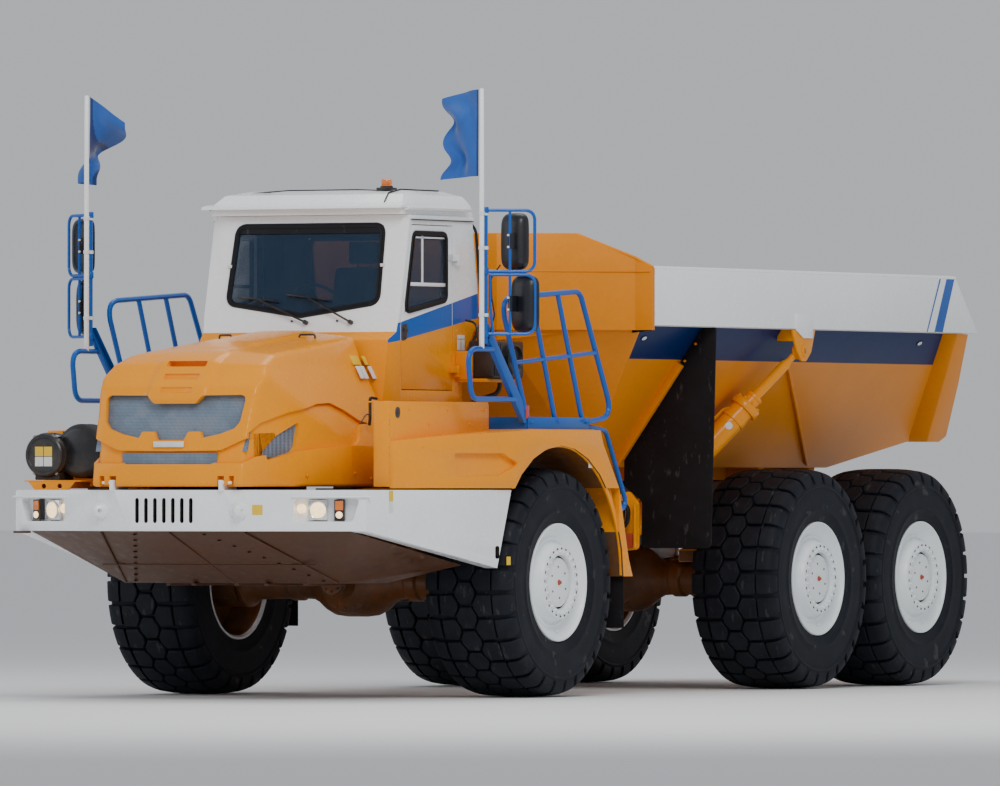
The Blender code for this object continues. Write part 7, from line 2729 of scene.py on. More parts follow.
# ---------------------------------------------------------------- dump body
@dataclass
class Tub:
    """The dump body: the ribbed tub, its boards, the flaps that it carries and the hoist cylinders."""

    bench: Bench
    band_top: float = 2.87
    band_low: float = 2.615
    board_top: float = 3.32
    flap: float = 2.64
    base: tuple[float, float, float] = (0.57, 3.10, 1.12)
    eye: tuple[float, float, float] = (1.695, 4.16, 2.70)

    def wall(self, z: float) -> float:
        """Half the width over the sloping walls at a height."""
        return 1.62 - 0.72 * (self.band_top - z)

    def skin(self) -> Shape:
        """The tub's plates, with the navy band cut in and the inside worn bare."""
        bench = self.bench
        tub = bench.copy_node("dump_tub", "tub_plates")
        for vert in tub.data.vertices:
            if 2.745 < vert.co.z < 2.755 and vert.co.y < 1.62:
                vert.co.z = 2.836

        def outside(face: bmesh.types.BMFace) -> bool:
            """Whether a face is one of the sloping walls'."""
            place = face.calc_center_median()
            return abs(abs(place.x) - self.wall(place.z)) < 0.35

        bench.slice(tub, (0, 0, self.band_low), (0, 0, 1), outside)
        bench.slice(tub, (0, 1.695, 2.745), Vector((0, -0.255, -0.13)).normalized(), outside)
        bench.slice(tub, (0, 6.92, 2.85), Vector((0, 1, 0.70)).normalized(), outside)
        bench.tint(tub, 2, lambda place, normal: abs(normal.x) > 0.75 and normal.z < 0 and place.x * normal.x > 0
                   and abs(abs(place.x) - self.wall(place.z)) < 0.012 and place.z > self.band_low
                   and 1.695 - (place.z - 2.745) * 0.51 < place.y < 6.92 + (2.85 - place.z) * 0.70)
        middle = Vector((0, 4.2, 4.2))
        bench.tint(tub, 3, lambda place, normal: normal.dot(middle - place) > 0.02 and normal.z > 0.02
                   and place.z > 1.79 and place.y > 1.0
                   and abs(place.x) < self.wall(place.z) - 0.02)
        return bench.bevel(tub, 0.005, 2, 30.0, worn=True)

    def across(self, y0: float, z0: float, y1: float, z1: float, width: float, depth: float,
               name: str = "rib") -> Shape:
        """A flat bar standing on the left wall's outer face, from one point to another.

        Args:
            y0: The first end along the truck.
            z0: The first end's height.
            y1: The second end along the truck.
            z1: The second end's height.
            width: The bar's width along the truck.
            depth: How far it stands out.
            name: Its name.

        Returns:
            The bar.
        """
        out = Vector((1, 0, -0.72)).normalized()
        rings = []
        for y, z in ((y0, z0), (y1, z1)):
            foot = Vector((self.wall(z), y, z)) - out * 0.01
            rings.append([foot - Vector((0, width / 2, 0)), foot + Vector((0, width / 2, 0)),
                          foot + Vector((0, width / 2, 0)) + out * (depth + 0.01),
                          foot - Vector((0, width / 2, 0)) + out * (depth + 0.01)])
        return self.bench.bevel(self.bench.loft(name, rings), min(0.006, depth / 3), 2)

    def ribs(self) -> Shape:
        """The tub's stiffeners: raking rib, flap's flange, tail's box beam, lip and edge beams."""
        bench, parts = self.bench, []
        rib = self.across(4.43, self.band_low + 0.005, 5.93, 1.80, 0.045, 0.034)
        weld = self.across(4.465, self.band_low + 0.005, 5.965, 1.80, 0.012, 0.012, "weld")
        flange = self.across(2.60, self.band_top - 0.27, 2.60, 1.80, 0.050, 0.060, "flange")
        for piece in (rib, weld, flange):
            parts.append(bench.both(piece))
        beam = bench.loft("tail_beam", [[Vector(p) for p in ring] for ring in (
            [(1.58, 6.89, 2.865), (1.725, 6.96, 2.865), (1.725, 7.160, 2.865), (1.58, 7.268, 2.865)],
            [(1.30, 7.17, 2.47), (1.46, 7.24, 2.47), (1.46, 7.52, 2.47), (1.30, 7.60, 2.47)],
            [(0.99, 7.48, 2.035), (1.165, 7.55, 2.035), (1.165, 7.885, 2.035), (0.99, 7.915, 2.035)],
            [(0.97, 7.55, 1.985), (1.13, 7.60, 1.985), (1.13, 7.82, 1.985), (0.97, 7.82, 1.985)])])
        parts.append(bench.both(bench.bevel(beam, 0.008, 2)))
        lip = bench.slab("lip", rounded([(7.80, 2.048), (7.90, 2.090), (7.905, 2.060), (7.86, 2.018), (7.60, 1.985),
                                         (7.60, 2.005)], 0.008, 2),
                         Along.X, -1.02, 1.02)
        parts.append(lip)
        for y, z, deep in ((3.35, 1.772, 0.11), (4.30, 1.772, 0.11), (5.25, 1.772, 0.11), (6.15, 1.772, 0.11)):
            parts.append(bench.block("floor_beam", (-0.80, y - 0.05, z - deep), (0.80, y + 0.05, z + 0.004), 0.006))
        gusset = bench.slab("head_rib", [(0.862, 3.50), (0.862, 2.80), (0.842, 2.80), (0.842, 3.50)], Along.X, 0.40,
                            0.44)
        parts.append(bench.both(bench.bevel(gusset, 0.004, 2)))
        fold = bench.slab("head_fold", rounded([(0.868, 3.285), (0.846, 3.293), (0.868, 3.302)], 0.004, 2), Along.X,
                          -0.74, 0.74)
        wing = bench.tube("wing_fold", [(0.745, 0.862, 3.292), (1.60, 1.552, 3.292), (1.735, 1.556, 3.292)], 0.007, 1)
        rim = bench.tube("head_rim", [(0.0, 0.884, 3.578), (0.740, 0.884, 3.578), (1.235, 1.285, 3.578),
                                      (1.60, 1.565, 3.398), (1.745, 1.577, 3.323)],
                         0.014, 2)
        parts += [fold, bench.both(bench.fuse("wing_fold", wing, rim))]
        return bench.fuse("tub_ribs", *parts)

    def lights(self) -> tuple[Shape, Shape]:
        """The oval holes near the band's ends, rimmed and pale inside."""
        bench, out = self.bench, Vector((1, 0, -0.72)).normalized()
        holes, rims = [], []
        for y, z in ((1.80, 2.775), (6.60, 2.785)):
            turn = Matrix.Translation(Vector((self.wall(z), y, z))) @ facing(out)
            plug = bench.spun("hole", [(0.0, 0.0), (0.002, 0.030), (0.003, 0.0)], ORIGIN, UP, 24)
            rim = bench.spun("rim", [(-0.002, 0.031), (0.006, 0.033), (0.006, 0.042), (-0.002, 0.044)], ORIGIN, UP,
                             28)
            for piece in (plug, rim):
                for vert in piece.data.vertices:
                    vert.co.x, vert.co.y = vert.co.x * 0.62, vert.co.y * 1.25
                piece.data.transform(turn)
            holes.append(plug)
            rims.append(rim)
        return bench.both(bench.fuse("band_holes", *holes)), bench.both(bench.fuse("band_rims", *rims))

    def board(self) -> tuple[Shape, Shape]:
        """The left board with its rolled edge, raked ends, stripes and bracket."""
        bench, low, top = self.bench, self.band_top + 0.003, self.board_top
        view = [(1.602, low), (1.602, top - 0.006), (6.885, top - 0.006), (7.285, low)]
        sheet = bench.slab("board", view, Along.X, 1.738, 1.75)
        thin, broad = ((6.341, 6.584), (6.363, 6.612)), ((6.483, 6.711), (6.637, 6.858))
        for y0, y1 in (thin[0], *broad, thin[1]):
            bench.slice(sheet, (0, y0, low), Vector((0, top - low, y0 - y1)).normalized(),
                        lambda face: face.normal.x > 0.9)

        def between(start: tuple[float, float], end: tuple[float, float], place: Vector) -> bool:
            """Whether a place is between two raking lines, each given by its foot and its head."""
            share = (place.z - low) / (top - low)
            return start[0] + (start[1] - start[0]) * share < place.y < end[0] + (end[1] - end[0]) * share

        bench.tint(sheet, 2, lambda place, normal: normal.x > 0.9 and (
            between(thin[0], thin[1], place) or between(broad[0], broad[1], place)))
        bench.bevel(sheet, 0.003, 2, worn=True)
        roll = bench.tube("roll", [(1.728, 1.604, top - 0.004), (1.728, 6.888, top - 0.004)], 0.021)
        shelf = bench.slab("shelf", [(1.604, low), (1.604, low + 0.010), (7.27, low + 0.010), (7.28, low)], Along.X,
                           1.602, 1.742)
        slope = bench.slab("slope", [(1.602, low + 0.010), (1.612, low + 0.010), (1.612, top - 0.008),
                                     (1.602, top - 0.008)], Along.Y, 1.606, 6.90)
        front = bench.slab("front", [(1.604, low), (1.748, low), (1.748, top - 0.01), (1.604, top - 0.01)], Along.Y,
                           1.602, 1.612)
        cap = bench.slab("cap", [(1.604, top - 0.030), (1.735, top - 0.012), (1.735, top - 0.002),
                                 (1.604, top - 0.018)], Along.Y, 1.606, 6.885)
        rear = bench.loft("rear",
                          [[Vector((x, y, z)) for x, y in ((1.604, e - 0.012), (1.748, e - 0.012), (1.748, e),
                                                           (1.604, e))]
                                   for z, e in ((low, 7.284), (top - 0.008, 6.886))])
        x, y, z = self.eye
        bracket = bench.slab("bracket",
                             rounded([(y - 0.16, 2.995), (y + 0.13, 2.995), (y + 0.13, 2.80), (y - 0.03, 2.80),
                                      (y - 0.16, 2.865)],
                                                [0.02, 0.02, 0.02, 0.03, 0.01], 3), Along.X, 1.750, 1.764)
        side = bench.block("side", (x - 0.075, y + 0.112, 2.80), (1.760, y + 0.128, low + 0.01), 0.003)
        board = bench.fuse("board", sheet, roll, shelf, slope, front, cap, rear, bench.bevel(bracket, 0.004, 2), side)
        lug = rounded([(y - 0.20, low - 0.005), (y + 0.20, low - 0.005), (y + 0.13, z - 0.01), (y + 0.04, z - 0.085),
                       (y - 0.04, z - 0.085),
                       (y - 0.11, z - 0.01)], [0, 0, 0.05, 0.04, 0.04, 0.05], 4)
        plate = bench.bevel(bench.slab("lug", lug, Along.X, x + 0.030, x + 0.052), 0.004, 2)
        gusset = bench.block("gusset", (x - 0.12, y - 0.14, z + 0.076), (x + 0.034, y + 0.14, low - 0.004), 0.008)
        pin = bench.rod("pin", (x - 0.022, y, z), (x + 0.062, y, z), 0.029, 20, 0.005)
        head = bench.rod("pin_head", (x + 0.050, y, z), (x + 0.062, y, z), 0.046, 6, 0.004)
        return board, bench.fuse("clevis", plate, gusset, pin, head)

    def mud_flap(self) -> tuple[Shape, Shape]:
        """The left rubber flap with its clamping strip and bolts."""
        bench, y = self.bench, self.flap
        outline = [(1.08, 1.13), (1.70, 1.13),
                   (1.745, self.band_top - 0.002), (self.wall(self.band_top) + 0.004, self.band_top - 0.002),
                   (self.wall(1.90) + 0.004, 1.90), (self.wall(1.90) + 0.004, 1.62), (1.085, 1.50)]
        sheet = bench.slab("flap", rounded(outline, [0.03, 0.04, 0.01, 0, 0, 0.02, 0.03], 4), Along.Y, y, y + 0.016)
        bench.bevel(sheet, 0.004, 2)
        with bench.editing(sheet):
            bpy.ops.mesh.select_all(action="SELECT")
            bpy.ops.mesh.quads_convert_to_tris()
        strip = self.across(y + 0.030, self.band_top - 0.01, y + 0.030, 1.86, 0.010, 0.070, "strip")
        bolts = []
        for step in range(7):
            z = 2.74 - 0.135 * step
            bolts.append(bench.rod("bolt", (self.wall(z) + 0.042, y - 0.012, z), (self.wall(z) + 0.042, y + 0.04, z),
                                   0.011, 6, 0.002))
        return sheet, bench.fuse("flap_strip", strip, *bolts)

    def hoist(self) -> tuple[Shape, Shape, Shape, Shape]:
        """The left hoist cylinder's barrel, sleeve and rod with their eyes, and the barrel's label."""
        bench = self.bench
        base, eye = Vector(self.base), Vector(self.eye)
        along = eye - base
        length, way = along.length, along.normalized()
        r, gland = 0.095, 1.62
        barrel = bench.spun("hoist_barrel_shown", [
            (0.062, 0.0), (0.062, 0.070), (0.075, r - 0.004), (0.09, r), (0.30, r), (0.305, r + 0.006),
            (0.33, r + 0.006), (0.335, r),
            (gland - 0.20, r), (gland - 0.195, r + 0.008), (gland - 0.15, r + 0.008), (gland - 0.145, r),
            (gland - 0.075, r),
            (gland - 0.072, r + 0.024), (gland - 0.062, r + 0.028), (gland - 0.018, r + 0.028),
            (gland - 0.008, r + 0.022), (gland - 0.002, 0.085),
            (gland, 0.071), (gland - 0.05, 0.071)], base, way, 40, 0)
        eye_ring = bench.close_rims(bench.spun("base_eye", lug_profile(0.045, 0.060, 0.100, 0.009, 0.006), base,
                                               ACROSS, 32))
        bolts = []
        turn = Matrix.Translation(base) @ facing(way)
        for step in range(8):
            a = math.tau * step / 8
            bolt = bench.spun("bolt", [(gland - 0.004, 0.013), (gland + 0.008, 0.013), (gland + 0.010, 0.008),
                                       (gland + 0.010, 0.0)], (0, 0, 0),
                              UP, 6)
            bolt.data.transform(turn @ Matrix.Translation(((r + 0.008) * math.cos(a), (r + 0.008) * math.sin(a), 0)))
            bolts.append(bolt)
        port = bench.rod("port", base + way * 0.22 + Vector((0, 0, r - 0.01)),
                         base + way * 0.22 + Vector((0, 0, r + 0.05)), 0.026, 14, 0.003)
        line = bench.bent("line",
                          [base + way * 0.22 + Vector((0, 0, r + 0.045)),
                           base + way * 0.34 + Vector((0, 0, r + 0.075)),
                           base + way * (gland - 0.30) + Vector((0, 0, r + 0.075)),
                           base + way * (gland - 0.17) + Vector((0, 0, r))], 0.05, 0.011, 1)
        barrel = bench.fuse("hoist_barrel_shown", barrel, eye_ring, *bolts, port, line)
        tag = bench.spun("tag", [(0.0, 0.0), (0.0, 0.030), (0.002, 0.030), (0.002, 0.0)], ORIGIN, UP, 20)
        outward = (Vector((0.55, -0.83, 0.0)) - way * Vector((0.55, -0.83, 0.0)).dot(way)).normalized()
        tag.data.transform(Matrix.Translation(base + way * 1.36 + outward * (r + 0.0005)) @ facing(outward))
        sleeve = bench.spun("hoist_sleeve_shown", [(0.16, 0.052), (0.16, 0.0675), (gland + 0.050, 0.0675),
                                                   (gland + 0.055, 0.073),
                                                        (gland + 0.075, 0.073), (gland + 0.082, 0.066),
                                                        (gland + 0.082, 0.0455),
                                                        (gland + 0.06, 0.0455)], base, way, 36, 0)
        rod = bench.spun("hoist_rod_shown", [(0.30, 0.0), (0.30, 0.041), (length - 0.150, 0.041),
                                             (length - 0.118, 0.027), (length - 0.045, 0.027),
                                                  (length - 0.045, 0.0)], base, way, 32, 0)
        ring = bench.close_rims(bench.spun("rod_eye", lug_profile(0.026, 0.031, 0.068, 0.008, 0.008), eye, ACROSS,
                                           32))
        rod = bench.fuse("hoist_rod_shown", rod, ring)
        for piece in (barrel, sleeve, rod):
            bench.outward(piece)
        return barrel, sleeve, rod, tag

    def build(self) -> None:
        """Builds the dump body and the hoists."""
        bench = self.bench
        bench.deliver(self.skin(), "dump_body", "orange_paint", ORANGE_TUB, Worn(ORANGE_TUB), NAVY, TUB_WORN,
                      replaces=("dump_tub",))
        bench.deliver(self.ribs(), "dump_body", "orange_paint", ORANGE_TUB)
        holes, rims = self.lights()
        bench.deliver(holes, "dump_body", "white_paint", LABEL_WHITE)
        bench.deliver(rims, "dump_body", "blue_paint", NAVY)
        board, clevis = self.board()
        flap, strip = self.mud_flap()
        bench.deliver_pair(board, "dump_body", "white_paint", WHITE, Worn(WHITE), BLUE, replaces="side_board_{}")
        bench.deliver_pair(clevis, "dump_body", "orange_paint", ORANGE)
        bench.deliver_pair(flap, "dump_body", "rubber", FLAP, replaces="mud_flap_{}")
        bench.deliver_pair(strip, "dump_body", "orange_paint", ORANGE_TUB)
        barrel, sleeve, rod, tag = self.hoist()
        for piece, node in ((barrel, "hoist_barrel_{}"), (sleeve, "hoist_sleeve_{}"), (rod, "hoist_rod_{}")):
            bench.deliver_pair(piece, node, "orange_paint", ORANGE, replaces=node)
        bench.deliver_pair(tag, "hoist_barrel_{}", "white_paint", LABEL_WHITE)


# ---------------------------------------------------------------- frames, axles, hitch and engine
@dataclass
class Under:
    """What carries the truck: two frames and their hitch, axles, steering cylinders and the engine."""

    bench: Bench
    middle: float = 4.385
    rear: float = 6.220
    hub: float = 0.88
    hitch: float = 1.36
    roll: float = 1.15
    cylinders: int = 6
    cylinder_pitch: float = 0.1135

    def bolts(self, name: str, count: int, radius: float, matrix: Matrix, size: float = 0.013) -> Shape:
        """A ring of bolt heads.

        Args:
            name: Its name.
            count: How many there are.
            radius: The ring's radius.
            matrix: Where the ring is, with its bolts facing along its Z.
            size: A bolt head's radius.

        Returns:
            The ring.
        """
        head = self.bench.spun(name, [(-0.004, size * 1.25), (0.002, size * 1.25), (0.003, size), (0.011, size),
                                      (0.013, size * 0.7), (0.013, 0.0)],
                               ORIGIN, UP, 6)
        turns = [math.tau * step / count for step in range(count)]
        return self.bench.repeat(head, *[matrix @ Matrix.Translation((radius * math.cos(a), radius * math.sin(a), 0))
                                         for a in turns])

    def axle(self, name: str, y: float) -> Shape:
        """A drive axle: cast housing, bolted carrier, pinion flange, brake chambers and lines.

        Args:
            name: Its name.
            y: Where it stands.

        Returns:
            The axle.
        """
        bench, z = self.bench, self.hub
        half = [(-0.992, 0.0), (-0.992, 0.188), (-0.984, 0.203), (-0.952, 0.203), (-0.944, 0.186), (-0.93, 0.172),
                (-0.87, 0.142), (-0.58, 0.134), (-0.56, 0.150), (-0.48, 0.150), (-0.46, 0.134), (-0.37, 0.140),
                (-0.31, 0.170), (-0.24, 0.226), (-0.17, 0.262), (-0.09, 0.272)]
        whole = half + [(-at, radius) for at, radius in reversed(half)]
        case = bench.spun(name, whole, (0, y, z), ACROSS, 44)
        nose = bench.spun("carrier", [(0.30, 0.0), (0.30, 0.225), (0.27, 0.245), (0.05, 0.250), (-0.16, 0.245),
                                      (-0.20, 0.235), (-0.225, 0.17), (-0.26, 0.125), (-0.36, 0.095), (-0.37, 0.080),
                                      (-0.40, 0.078), (-0.405, 0.098), (-0.425, 0.098), (-0.43, 0.0)],
                                      (0, y, z), ALONG, 40)
        forward = Matrix.Translation((0, y - 0.205, z)) @ facing((0, -1, 0))
        flange = Matrix.Translation((0, y - 0.427, z)) @ facing((0, -1, 0))
        parts = [case, nose, self.bolts("carrier_bolt", 16, 0.208, forward),
                 self.bolts("flange_bolt", 8, 0.075, flange, 0.008)]
        plug = bench.rod("plug", (0, y + 0.29, z - 0.10), (0, y + 0.325, z - 0.10), 0.022, 6, 0.003)
        chamber = bench.spun("chamber", [(0.0, 0.0), (0.0, 0.050), (0.01, 0.062), (0.07, 0.066), (0.074, 0.074),
                                         (0.086, 0.074), (0.09, 0.066), (0.14, 0.060), (0.155, 0.045), (0.155, 0.0)],
                                         (0.62, y + 0.17, z + 0.13), (0.3, 0.25, 1), 24)
        mount = bench.block("mount", (0.57, y + 0.08, z + 0.06), (0.67, y + 0.20, z + 0.14), 0.008)
        line = bench.bent("line", [(0.70, y + 0.15, z + 0.17), (0.50, y + 0.155, z + 0.16),
                                   (0.30, y + 0.22, z + 0.16), (0.0, y + 0.295, z + 0.10)], 0.06, 0.007, 1)
        return bench.fuse(name, *parts, plug, bench.both(bench.fuse("chambers", chamber, mount, line)))

    def front_axle(self) -> Shape:
        """The front axle with its struts, arms and dust boots."""
        bench, z = self.bench, self.hub
        axle = self.axle("front_axle_shown", 0.0)
        strut = bench.spun("strut", [(0.0, 0.0), (0.0, 0.085), (0.05, 0.090), (0.08, 0.072), (0.20, 0.072),
                                     (0.205, 0.050), (0.30, 0.050), (0.30, 0.066), (0.417, 0.066), (0.417, 0.0)],
                                     (0.48, 0.0, z), UP, 28)
        arm = bench.slab("arm", rounded([(-0.75, 0.955), (-0.75, 1.065), (-0.10, 1.075), (0.05, 1.03), (0.05, 0.96),
                                         (-0.10, 0.945)], 0.03, 3),
                         Along.X, 0.625, 0.715)
        bench.bevel(arm, 0.010, 2)
        hanger = bench.block("hanger", (0.50, -0.73, 1.00), (0.69, -0.62, 1.296), 0.012)
        bush = bench.rod("bush", (0.60, -0.68, 1.01), (0.74, -0.68, 1.01), 0.062, 24, 0.008)
        pin = bench.rod("pin", (0.59, -0.68, 1.01), (0.752, -0.68, 1.01), 0.026, 16, 0.004)
        return bench.fuse("front_axle_shown", axle, bench.both(bench.fuse("struts", strut, arm, hanger, bush, pin)))

    def front_frame(self) -> Shape:
        """The front frame's welded rails with bolted mounts, pipes and the fork's pin caps."""
        bench = self.bench
        frame = bench.copy_node("front_frame", "front_frame_shown")
        bench.bevel(frame, 0.005, 2, 30.0, worn=True)
        extras = [bench.rod("bolt", (0.536, y, z), (0.553, y, z), 0.016, 6, 0.003)
                  for y in (-2.35, -2.05, -0.45, 0.25, 0.62) for z in (1.36, 1.46)]
        pads = [bench.block("pad", (0.535, y - 0.09, 1.33), (0.546, y + 0.09, 1.49), 0.004) for y in (-2.05, 0.42)]
        pipes = [bench.bent("pipe", [(0.556, -2.2, z), (0.556, y, z), (0.50, 0.80, knee), (0.30, 0.84, end)], 0.08,
                            0.012, 1, 5)
                 for z, y, knee, end in ((1.425, 0.55, 1.35, 1.30), (1.385, 0.50, 1.28, 1.22))]
        caps = [bench.spun("cap", [(0.0, 0.0), (0.0, 0.105), (0.012, 0.110), (0.020, 0.100), (0.022, 0.062),
                                   (0.03, 0.055), (0.03, 0.0)],
                           (0, self.hitch, z), (0, 0, way), 28) for z, way in ((1.602, 1), (0.742, -1))]
        ring = self.bolts("cap_bolt", 6, 0.082, Matrix.Translation((0, self.hitch, 1.622)), 0.010)
        return bench.fuse("front_frame_shown", frame, bench.both(bench.fuse("rail_parts", *extras, *pads, *pipes)),
                          *caps, ring)

    def rear_frame(self) -> Shape:
        """The rear frame with its bolted neck ring, rail pads, steps and pipes."""
        bench = self.bench
        frame = bench.copy_node("rear_frame", "rear_frame_shown")
        bench.bevel(frame, 0.005, 2, 30.0, worn=True)
        extras = [bench.rod("bolt", (0.476, y, z), (0.493, y, z), 0.016, 6, 0.003)
                  for y in (3.95, 4.70, 5.45, 6.10) for z in (1.43, 1.58)]
        pads = [bench.block("pad", (0.40, y, 1.655), (0.475, y + 0.22, 1.668), 0.004)
                for y in (3.75, 4.45, 5.15, 5.85)]
        pipe = bench.bent("pipe", [(0.492, 2.35, 1.20), (0.492, 3.0, 1.24), (0.492, 3.62, 1.50), (0.492, 6.2, 1.505)],
                          0.15, 0.011, 1, steps=5)
        clips = [bench.block("clip", (0.478, y, 1.488), (0.508, y + 0.03, 1.524), 0.003) for y in (3.80, 4.60, 5.40)]
        nose = bench.spun("neck_ring", [(1.70, 0.158), (1.70, 0.208), (1.715, 0.215), (1.745, 0.215), (1.755, 0.20)],
                          (0, 0, self.roll), ALONG, 40)
        bench.wall(nose, 0.006)
        ring = self.bolts("neck_bolt", 12, 0.187, Matrix.Translation((0, 1.700, self.roll)) @ facing((0, -1, 0)),
                          0.010)
        return bench.fuse("rear_frame_shown", frame,
                          bench.both(bench.fuse("rail_parts", *extras, *pads, pipe, *clips)), nose, ring)

    def beams(self) -> Shape:
        """The walking beams with their pads, caps and flanges."""
        bench = self.bench
        beams = bench.copy_node("walking_beams", "walking_beams_shown")
        bench.bevel(beams, 0.006, 2, 30.0, worn=True)
        centre = (self.middle + self.rear) / 2
        cap = bench.spun("cap", [(0.0, 0.0), (0.0, 0.118), (0.014, 0.122), (0.022, 0.112), (0.024, 0.05),
                                 (0.040, 0.046), (0.044, 0.0)],
                         (0.742, centre, 1.281), ACROSS, 32)
        ring = self.bolts("beam_bolt", 8, 0.092, Matrix.Translation((0.764, centre, 1.281)) @ facing(ACROSS), 0.010)
        return bench.fuse("walking_beams_shown", beams, bench.both(bench.fuse("caps", cap, ring)))

    def yoke(self) -> Shape:
        """The hitch yoke with its grease nipple."""
        bench = self.bench
        yoke = bench.copy_node("hitch_yoke", "hitch_yoke_shown")
        bench.bevel(yoke, 0.005, 2, 30.0, worn=True)
        nipple = bench.rod("nipple", (0.12, self.hitch + 0.05, 1.438), (0.12, self.hitch + 0.05, 1.458), 0.008, 6,
                           0.002)
        return bench.fuse("hitch_yoke_shown", yoke, nipple)

    def steering(self) -> tuple[Shape, Shape]:
        """The left steering cylinder's barrel and rod."""
        bench = self.bench
        base, eye = Vector((0.50, 0.36, 1.15)), Vector((0.40, 1.36, 1.15))
        way = (eye - base).normalized()
        barrel = bench.spun("steer_barrel_{}_shown", [(0.055, 0.0), (0.055, 0.048), (0.065, 0.055), (0.60, 0.055),
                                                      (0.605, 0.062), (0.668, 0.062), (0.675, 0.056), (0.675, 0.031),
                                                      (0.62, 0.031)], base, way, 32)
        lug = bench.close_rims(bench.spun("lug", lug_profile(0.045, 0.024, 0.062, 0.007, 0.006), base, UP, 28))
        ports = [bench.rod("port", base + way * at + Vector((0, 0, 0.04)), base + way * at + Vector((0, 0, 0.085)),
                           0.016, 12, 0.003) for at in (0.12, 0.60)]
        rod = bench.spun("steer_rod_{}_shown", [(0.36, 0.0), (0.36, 0.0295), (0.955, 0.0295), (0.96, 0.034),
                                                (0.965, 0.0)], base, way, 28)
        ring = bench.close_rims(bench.spun("ring", lug_profile(0.04, 0.024, 0.060, 0.006, 0.006), eye, UP, 28))
        return bench.fuse("steer_barrel_{}_shown", barrel, lug, *ports), bench.fuse("steer_rod_{}_shown", rod, ring)

    def engine(self) -> tuple[Shape, Shape]:
        """The engine: block, heads, sump, manifold, turbocharger, fan, radiator and filters."""
        bench = self.bench
        row = [(0, self.cylinder_pitch * step, 0) for step in range(self.cylinders)]
        block = bench.block("block", (-0.23, -1.95, 1.58), (0.23, -1.22, 1.90), 0.015)
        sump = bench.slab("sump", rounded([(-0.19, 1.60), (-0.16, 1.43), (0.16, 1.43), (0.19, 1.60)], 0.03, 3),
                          Along.Y, -1.92, -1.26)
        head = bench.block("head", (-0.19, -1.93, 1.90), (0.19, -1.24, 1.99), 0.010)
        covers = bench.repeat(bench.block("cover", (-0.15, -1.915, 1.985), (0.15, -1.815, 2.075), 0.018, 3), *row)
        bolts = bench.repeat(bench.rod("bolt", (0, -1.865, 2.070), (0, -1.865, 2.090), 0.011, 6, 0.002), *row)
        manifold = bench.tube("manifold", [(0.285, -1.88, 1.93), (0.285, -1.30, 1.93)], 0.045)
        runners = bench.repeat(bench.tube("runner", [(0.18, -1.865, 1.93), (0.285, -1.865, 1.93)], 0.028, 1), *row)
        turbo = bench.spun("turbo", [(-0.09, 0.0), (-0.09, 0.05), (-0.07, 0.085), (-0.03, 0.095), (0.0, 0.06),
                                     (0.02, 0.06), (0.04, 0.09), (0.08, 0.085), (0.10, 0.05), (0.10, 0.0)],
                                     (0.29, -1.60, 2.07), ALONG, 28)
        intake = bench.bent("intake", [(0.29, -1.72, 2.07), (0.29, -1.95, 2.10), (0.0, -2.02, 2.13),
                                       (-0.30, -1.98, 2.08), (-0.33, -1.75, 1.95)], 0.12, 0.042, steps=5)
        plenum = bench.block("plenum", (-0.345, -1.90, 1.86), (-0.225, -1.28, 1.98), 0.02, 3)
        filters = [bench.spun("filter", [(0.0, 0.0), (0.0, 0.048), (0.01, 0.055), (0.19, 0.055), (0.20, 0.040),
                                         (0.20, 0.0)], (-0.30, y, 1.58), UP, 24)
                   for y in (-1.60, -1.44)]
        pulleys = [bench.spun("pulley", [(0.0, 0.0), (0.0, r), (0.012, r - 0.014), (0.024, r), (0.036, r - 0.014),
                                         (0.048, r), (0.048, 0.0)], (x, -2.02, z),
                              ALONG, 32) for x, z, r in ((0.0, 1.62, 0.11), (0.0, 1.86, 0.09), (0.22, 1.76, 0.055))]
        fan_hub = bench.spun("fan_hub", [(0.0, 0.0), (0.0, 0.07), (0.06, 0.08), (0.06, 0.0)],
                             (0, -2.10, 1.86), ALONG, 24)
        blade = bench.block("blade", (-0.055, -0.01, 0.06), (0.055, 0.006, 0.30), 0.004)
        blade.data.transform(Matrix.Rotation(math.radians(28), 4, "Z"))
        blades = bench.repeat(blade, *[Matrix.Translation((0, -2.07, 1.86)) @ turn for turn in even_turns(8, "Y")])
        engine = bench.fuse("engine_shown", block, sump, head, covers, bolts, manifold, runners, turbo, intake,
                            plenum, *filters, *pulleys, fan_hub, blades)
        core = bench.block("core", (-0.38, -2.27, 1.45), (0.38, -2.18, 2.15), 0.008)
        fins = bench.repeat(bench.block("fin", (-0.37, -2.283, 1.475), (0.37, -2.268, 1.483), 0.001, 1),
                            *[(0, 0, 0.022 * step) for step in range(30)])
        tanks = [bench.block("tank", (-0.39, -2.29, z), (0.39, -2.16, z + 0.05), 0.015, 3) for z in (1.425, 2.15)]
        shroud = bench.spun("shroud", [(0.0, 0.345), (0.07, 0.325), (0.12, 0.320)], (0, -2.18, 1.83), ALONG, 40)
        bench.wall(shroud, 0.006)
        return engine, bench.fuse("radiator", core, fins, *tanks, shroud)

    def shafts(self) -> Shape:
        """The drive shafts between the axles of the rear unit."""
        bench, z = self.bench, self.hub
        return bench.spun("shafts", [(0.0, 0.0), (0.0, 0.070), (0.02, 0.075), (0.10, 0.055), (0.14, 0.048),
                                     (1.00, 0.048), (1.04, 0.055), (1.10, 0.070), (1.10, 0.0)],
                                     (0, self.middle + 0.315, z), ALONG, 28)

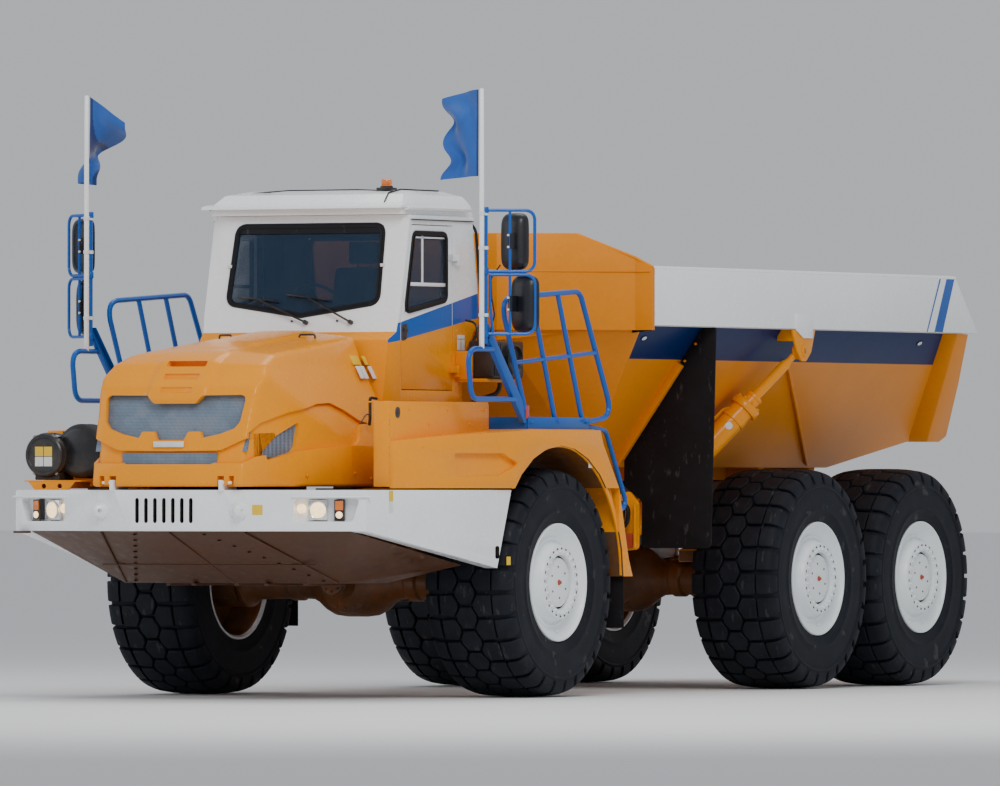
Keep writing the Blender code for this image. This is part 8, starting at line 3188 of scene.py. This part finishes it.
    def hoses(self) -> tuple[Shape, Shape, Shape]:
        """The arms beside the neck, with the hoses looped on them and the red guard plates."""
        bench = self.bench
        arm = bench.slab("arm", rounded([(0.47, 1.18), (0.90, 1.10), (1.13, 1.12), (1.13, 1.49), (1.05, 1.58),
                                         (0.92, 1.54), (0.47, 1.44)], 0.03, 3),
                         Along.Y, 2.485, 2.525)
        bench.bevel(arm, 0.006, 2)
        rim = bench.block("rim", (1.116, 2.44, 1.13), (1.13, 2.49, 1.48), 0.005)
        loops = [bench.bent("hose", [(0.485, 2.462, 1.39 - d), (0.72, 2.41, 1.44 - d), (0.96, 2.40, 1.51 - d),
                                     (1.10 - d, 2.40, 1.46), (1.08 - d, 2.40, 1.31), (0.93, 2.42, 1.27 + d),
                                     (0.86, 2.49, 1.28 + d)], 0.07, 0.019, steps=6)
                 for d in (0.0, 0.048)]
        nuts = [bench.rod("nut", (0.482, 2.462, 1.39 - d), (0.515, 2.456, 1.397 - d), 0.028, 6, 0.003)
                for d in (0.0, 0.048)]
        plate = bench.block("guard_plate", (0.90, 2.452, 1.13), (1.10, 2.466, 1.245), 0.004)
        return (bench.both(bench.fuse("neck_arms", arm, rim)), bench.both(bench.fuse("neck_hoses", *loops, *nuts)),
                bench.both(plate))

    def build(self) -> None:
        """Builds all that carries the truck."""
        bench = self.bench
        # FRAME's dark brown is the orange enamel with dirt and painted shade; the rounded edges keep the orange
        # paint.
        chassis = (FRAME, Worn(ORANGE))
        arms, hoses, plate = self.hoses()
        bench.deliver(arms, "rear_unit", "orange_paint", ORANGE)
        bench.deliver(hoses, "rear_unit", "rubber", HOSE)
        bench.deliver(plate, "rear_unit", "dark_steel", PLUG_RED)
        plain = ((self.front_frame(), "front_unit", "front_frame"), (self.front_axle(), "front_unit", "front_axle"),
                 (self.rear_frame(), "rear_unit", "rear_frame"),
                 (self.axle("middle_axle_shown", self.middle), "rear_unit", "middle_axle"),
                 (self.axle("rear_axle_shown", self.rear), "rear_unit", "rear_axle"),
                 (self.beams(), "rear_unit", "walking_beams"),
                 (self.yoke(), "hitch", "hitch_yoke"))
        for piece, body, node in plain:
            bench.deliver(piece, body, "frame_paint", *chassis, replaces=(node,))
        bench.deliver(self.shafts(), "rear_unit", "dark_steel", CASTING)
        engine, radiator = self.engine()
        bench.deliver(engine, "front_unit", "dark_steel", CASTING, replaces=("engine_block",))
        bench.deliver(radiator, "front_unit", "dark_steel", SATIN)
        barrel, rod = self.steering()
        bench.deliver_pair(barrel, "steer_barrel_{}", "orange_paint", ORANGE, replaces="steer_barrel_{}")
        bench.deliver_pair(rod, "steer_rod_{}", "chromed_rod", CHROME, replaces="steer_rod_{}")


# ---------------------------------------------------------------- the truck
def corners(box: object) -> list[list[float]]:
    """A box as plain lists of numbers."""
    return [[float(value) for value in corner] for corner in box]


def main() -> None:
    """Builds the truck around its frame and measures how big it came out."""
    logging.basicConfig(level=logging.INFO, format="%(name)s: %(message)s")
    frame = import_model()
    before = corners(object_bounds())
    bench = Bench(frame)
    Studio().build(bench)
    for assembly in (Wheels, Hood, FrontEnd, Cab, Sides, Rails, Tub, Under):
        assembly(bench).build()
    bench.close()
    after = corners(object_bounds())
    LOG.info("%d pieces", bench.count)


if __name__ == "__main__":
    main()
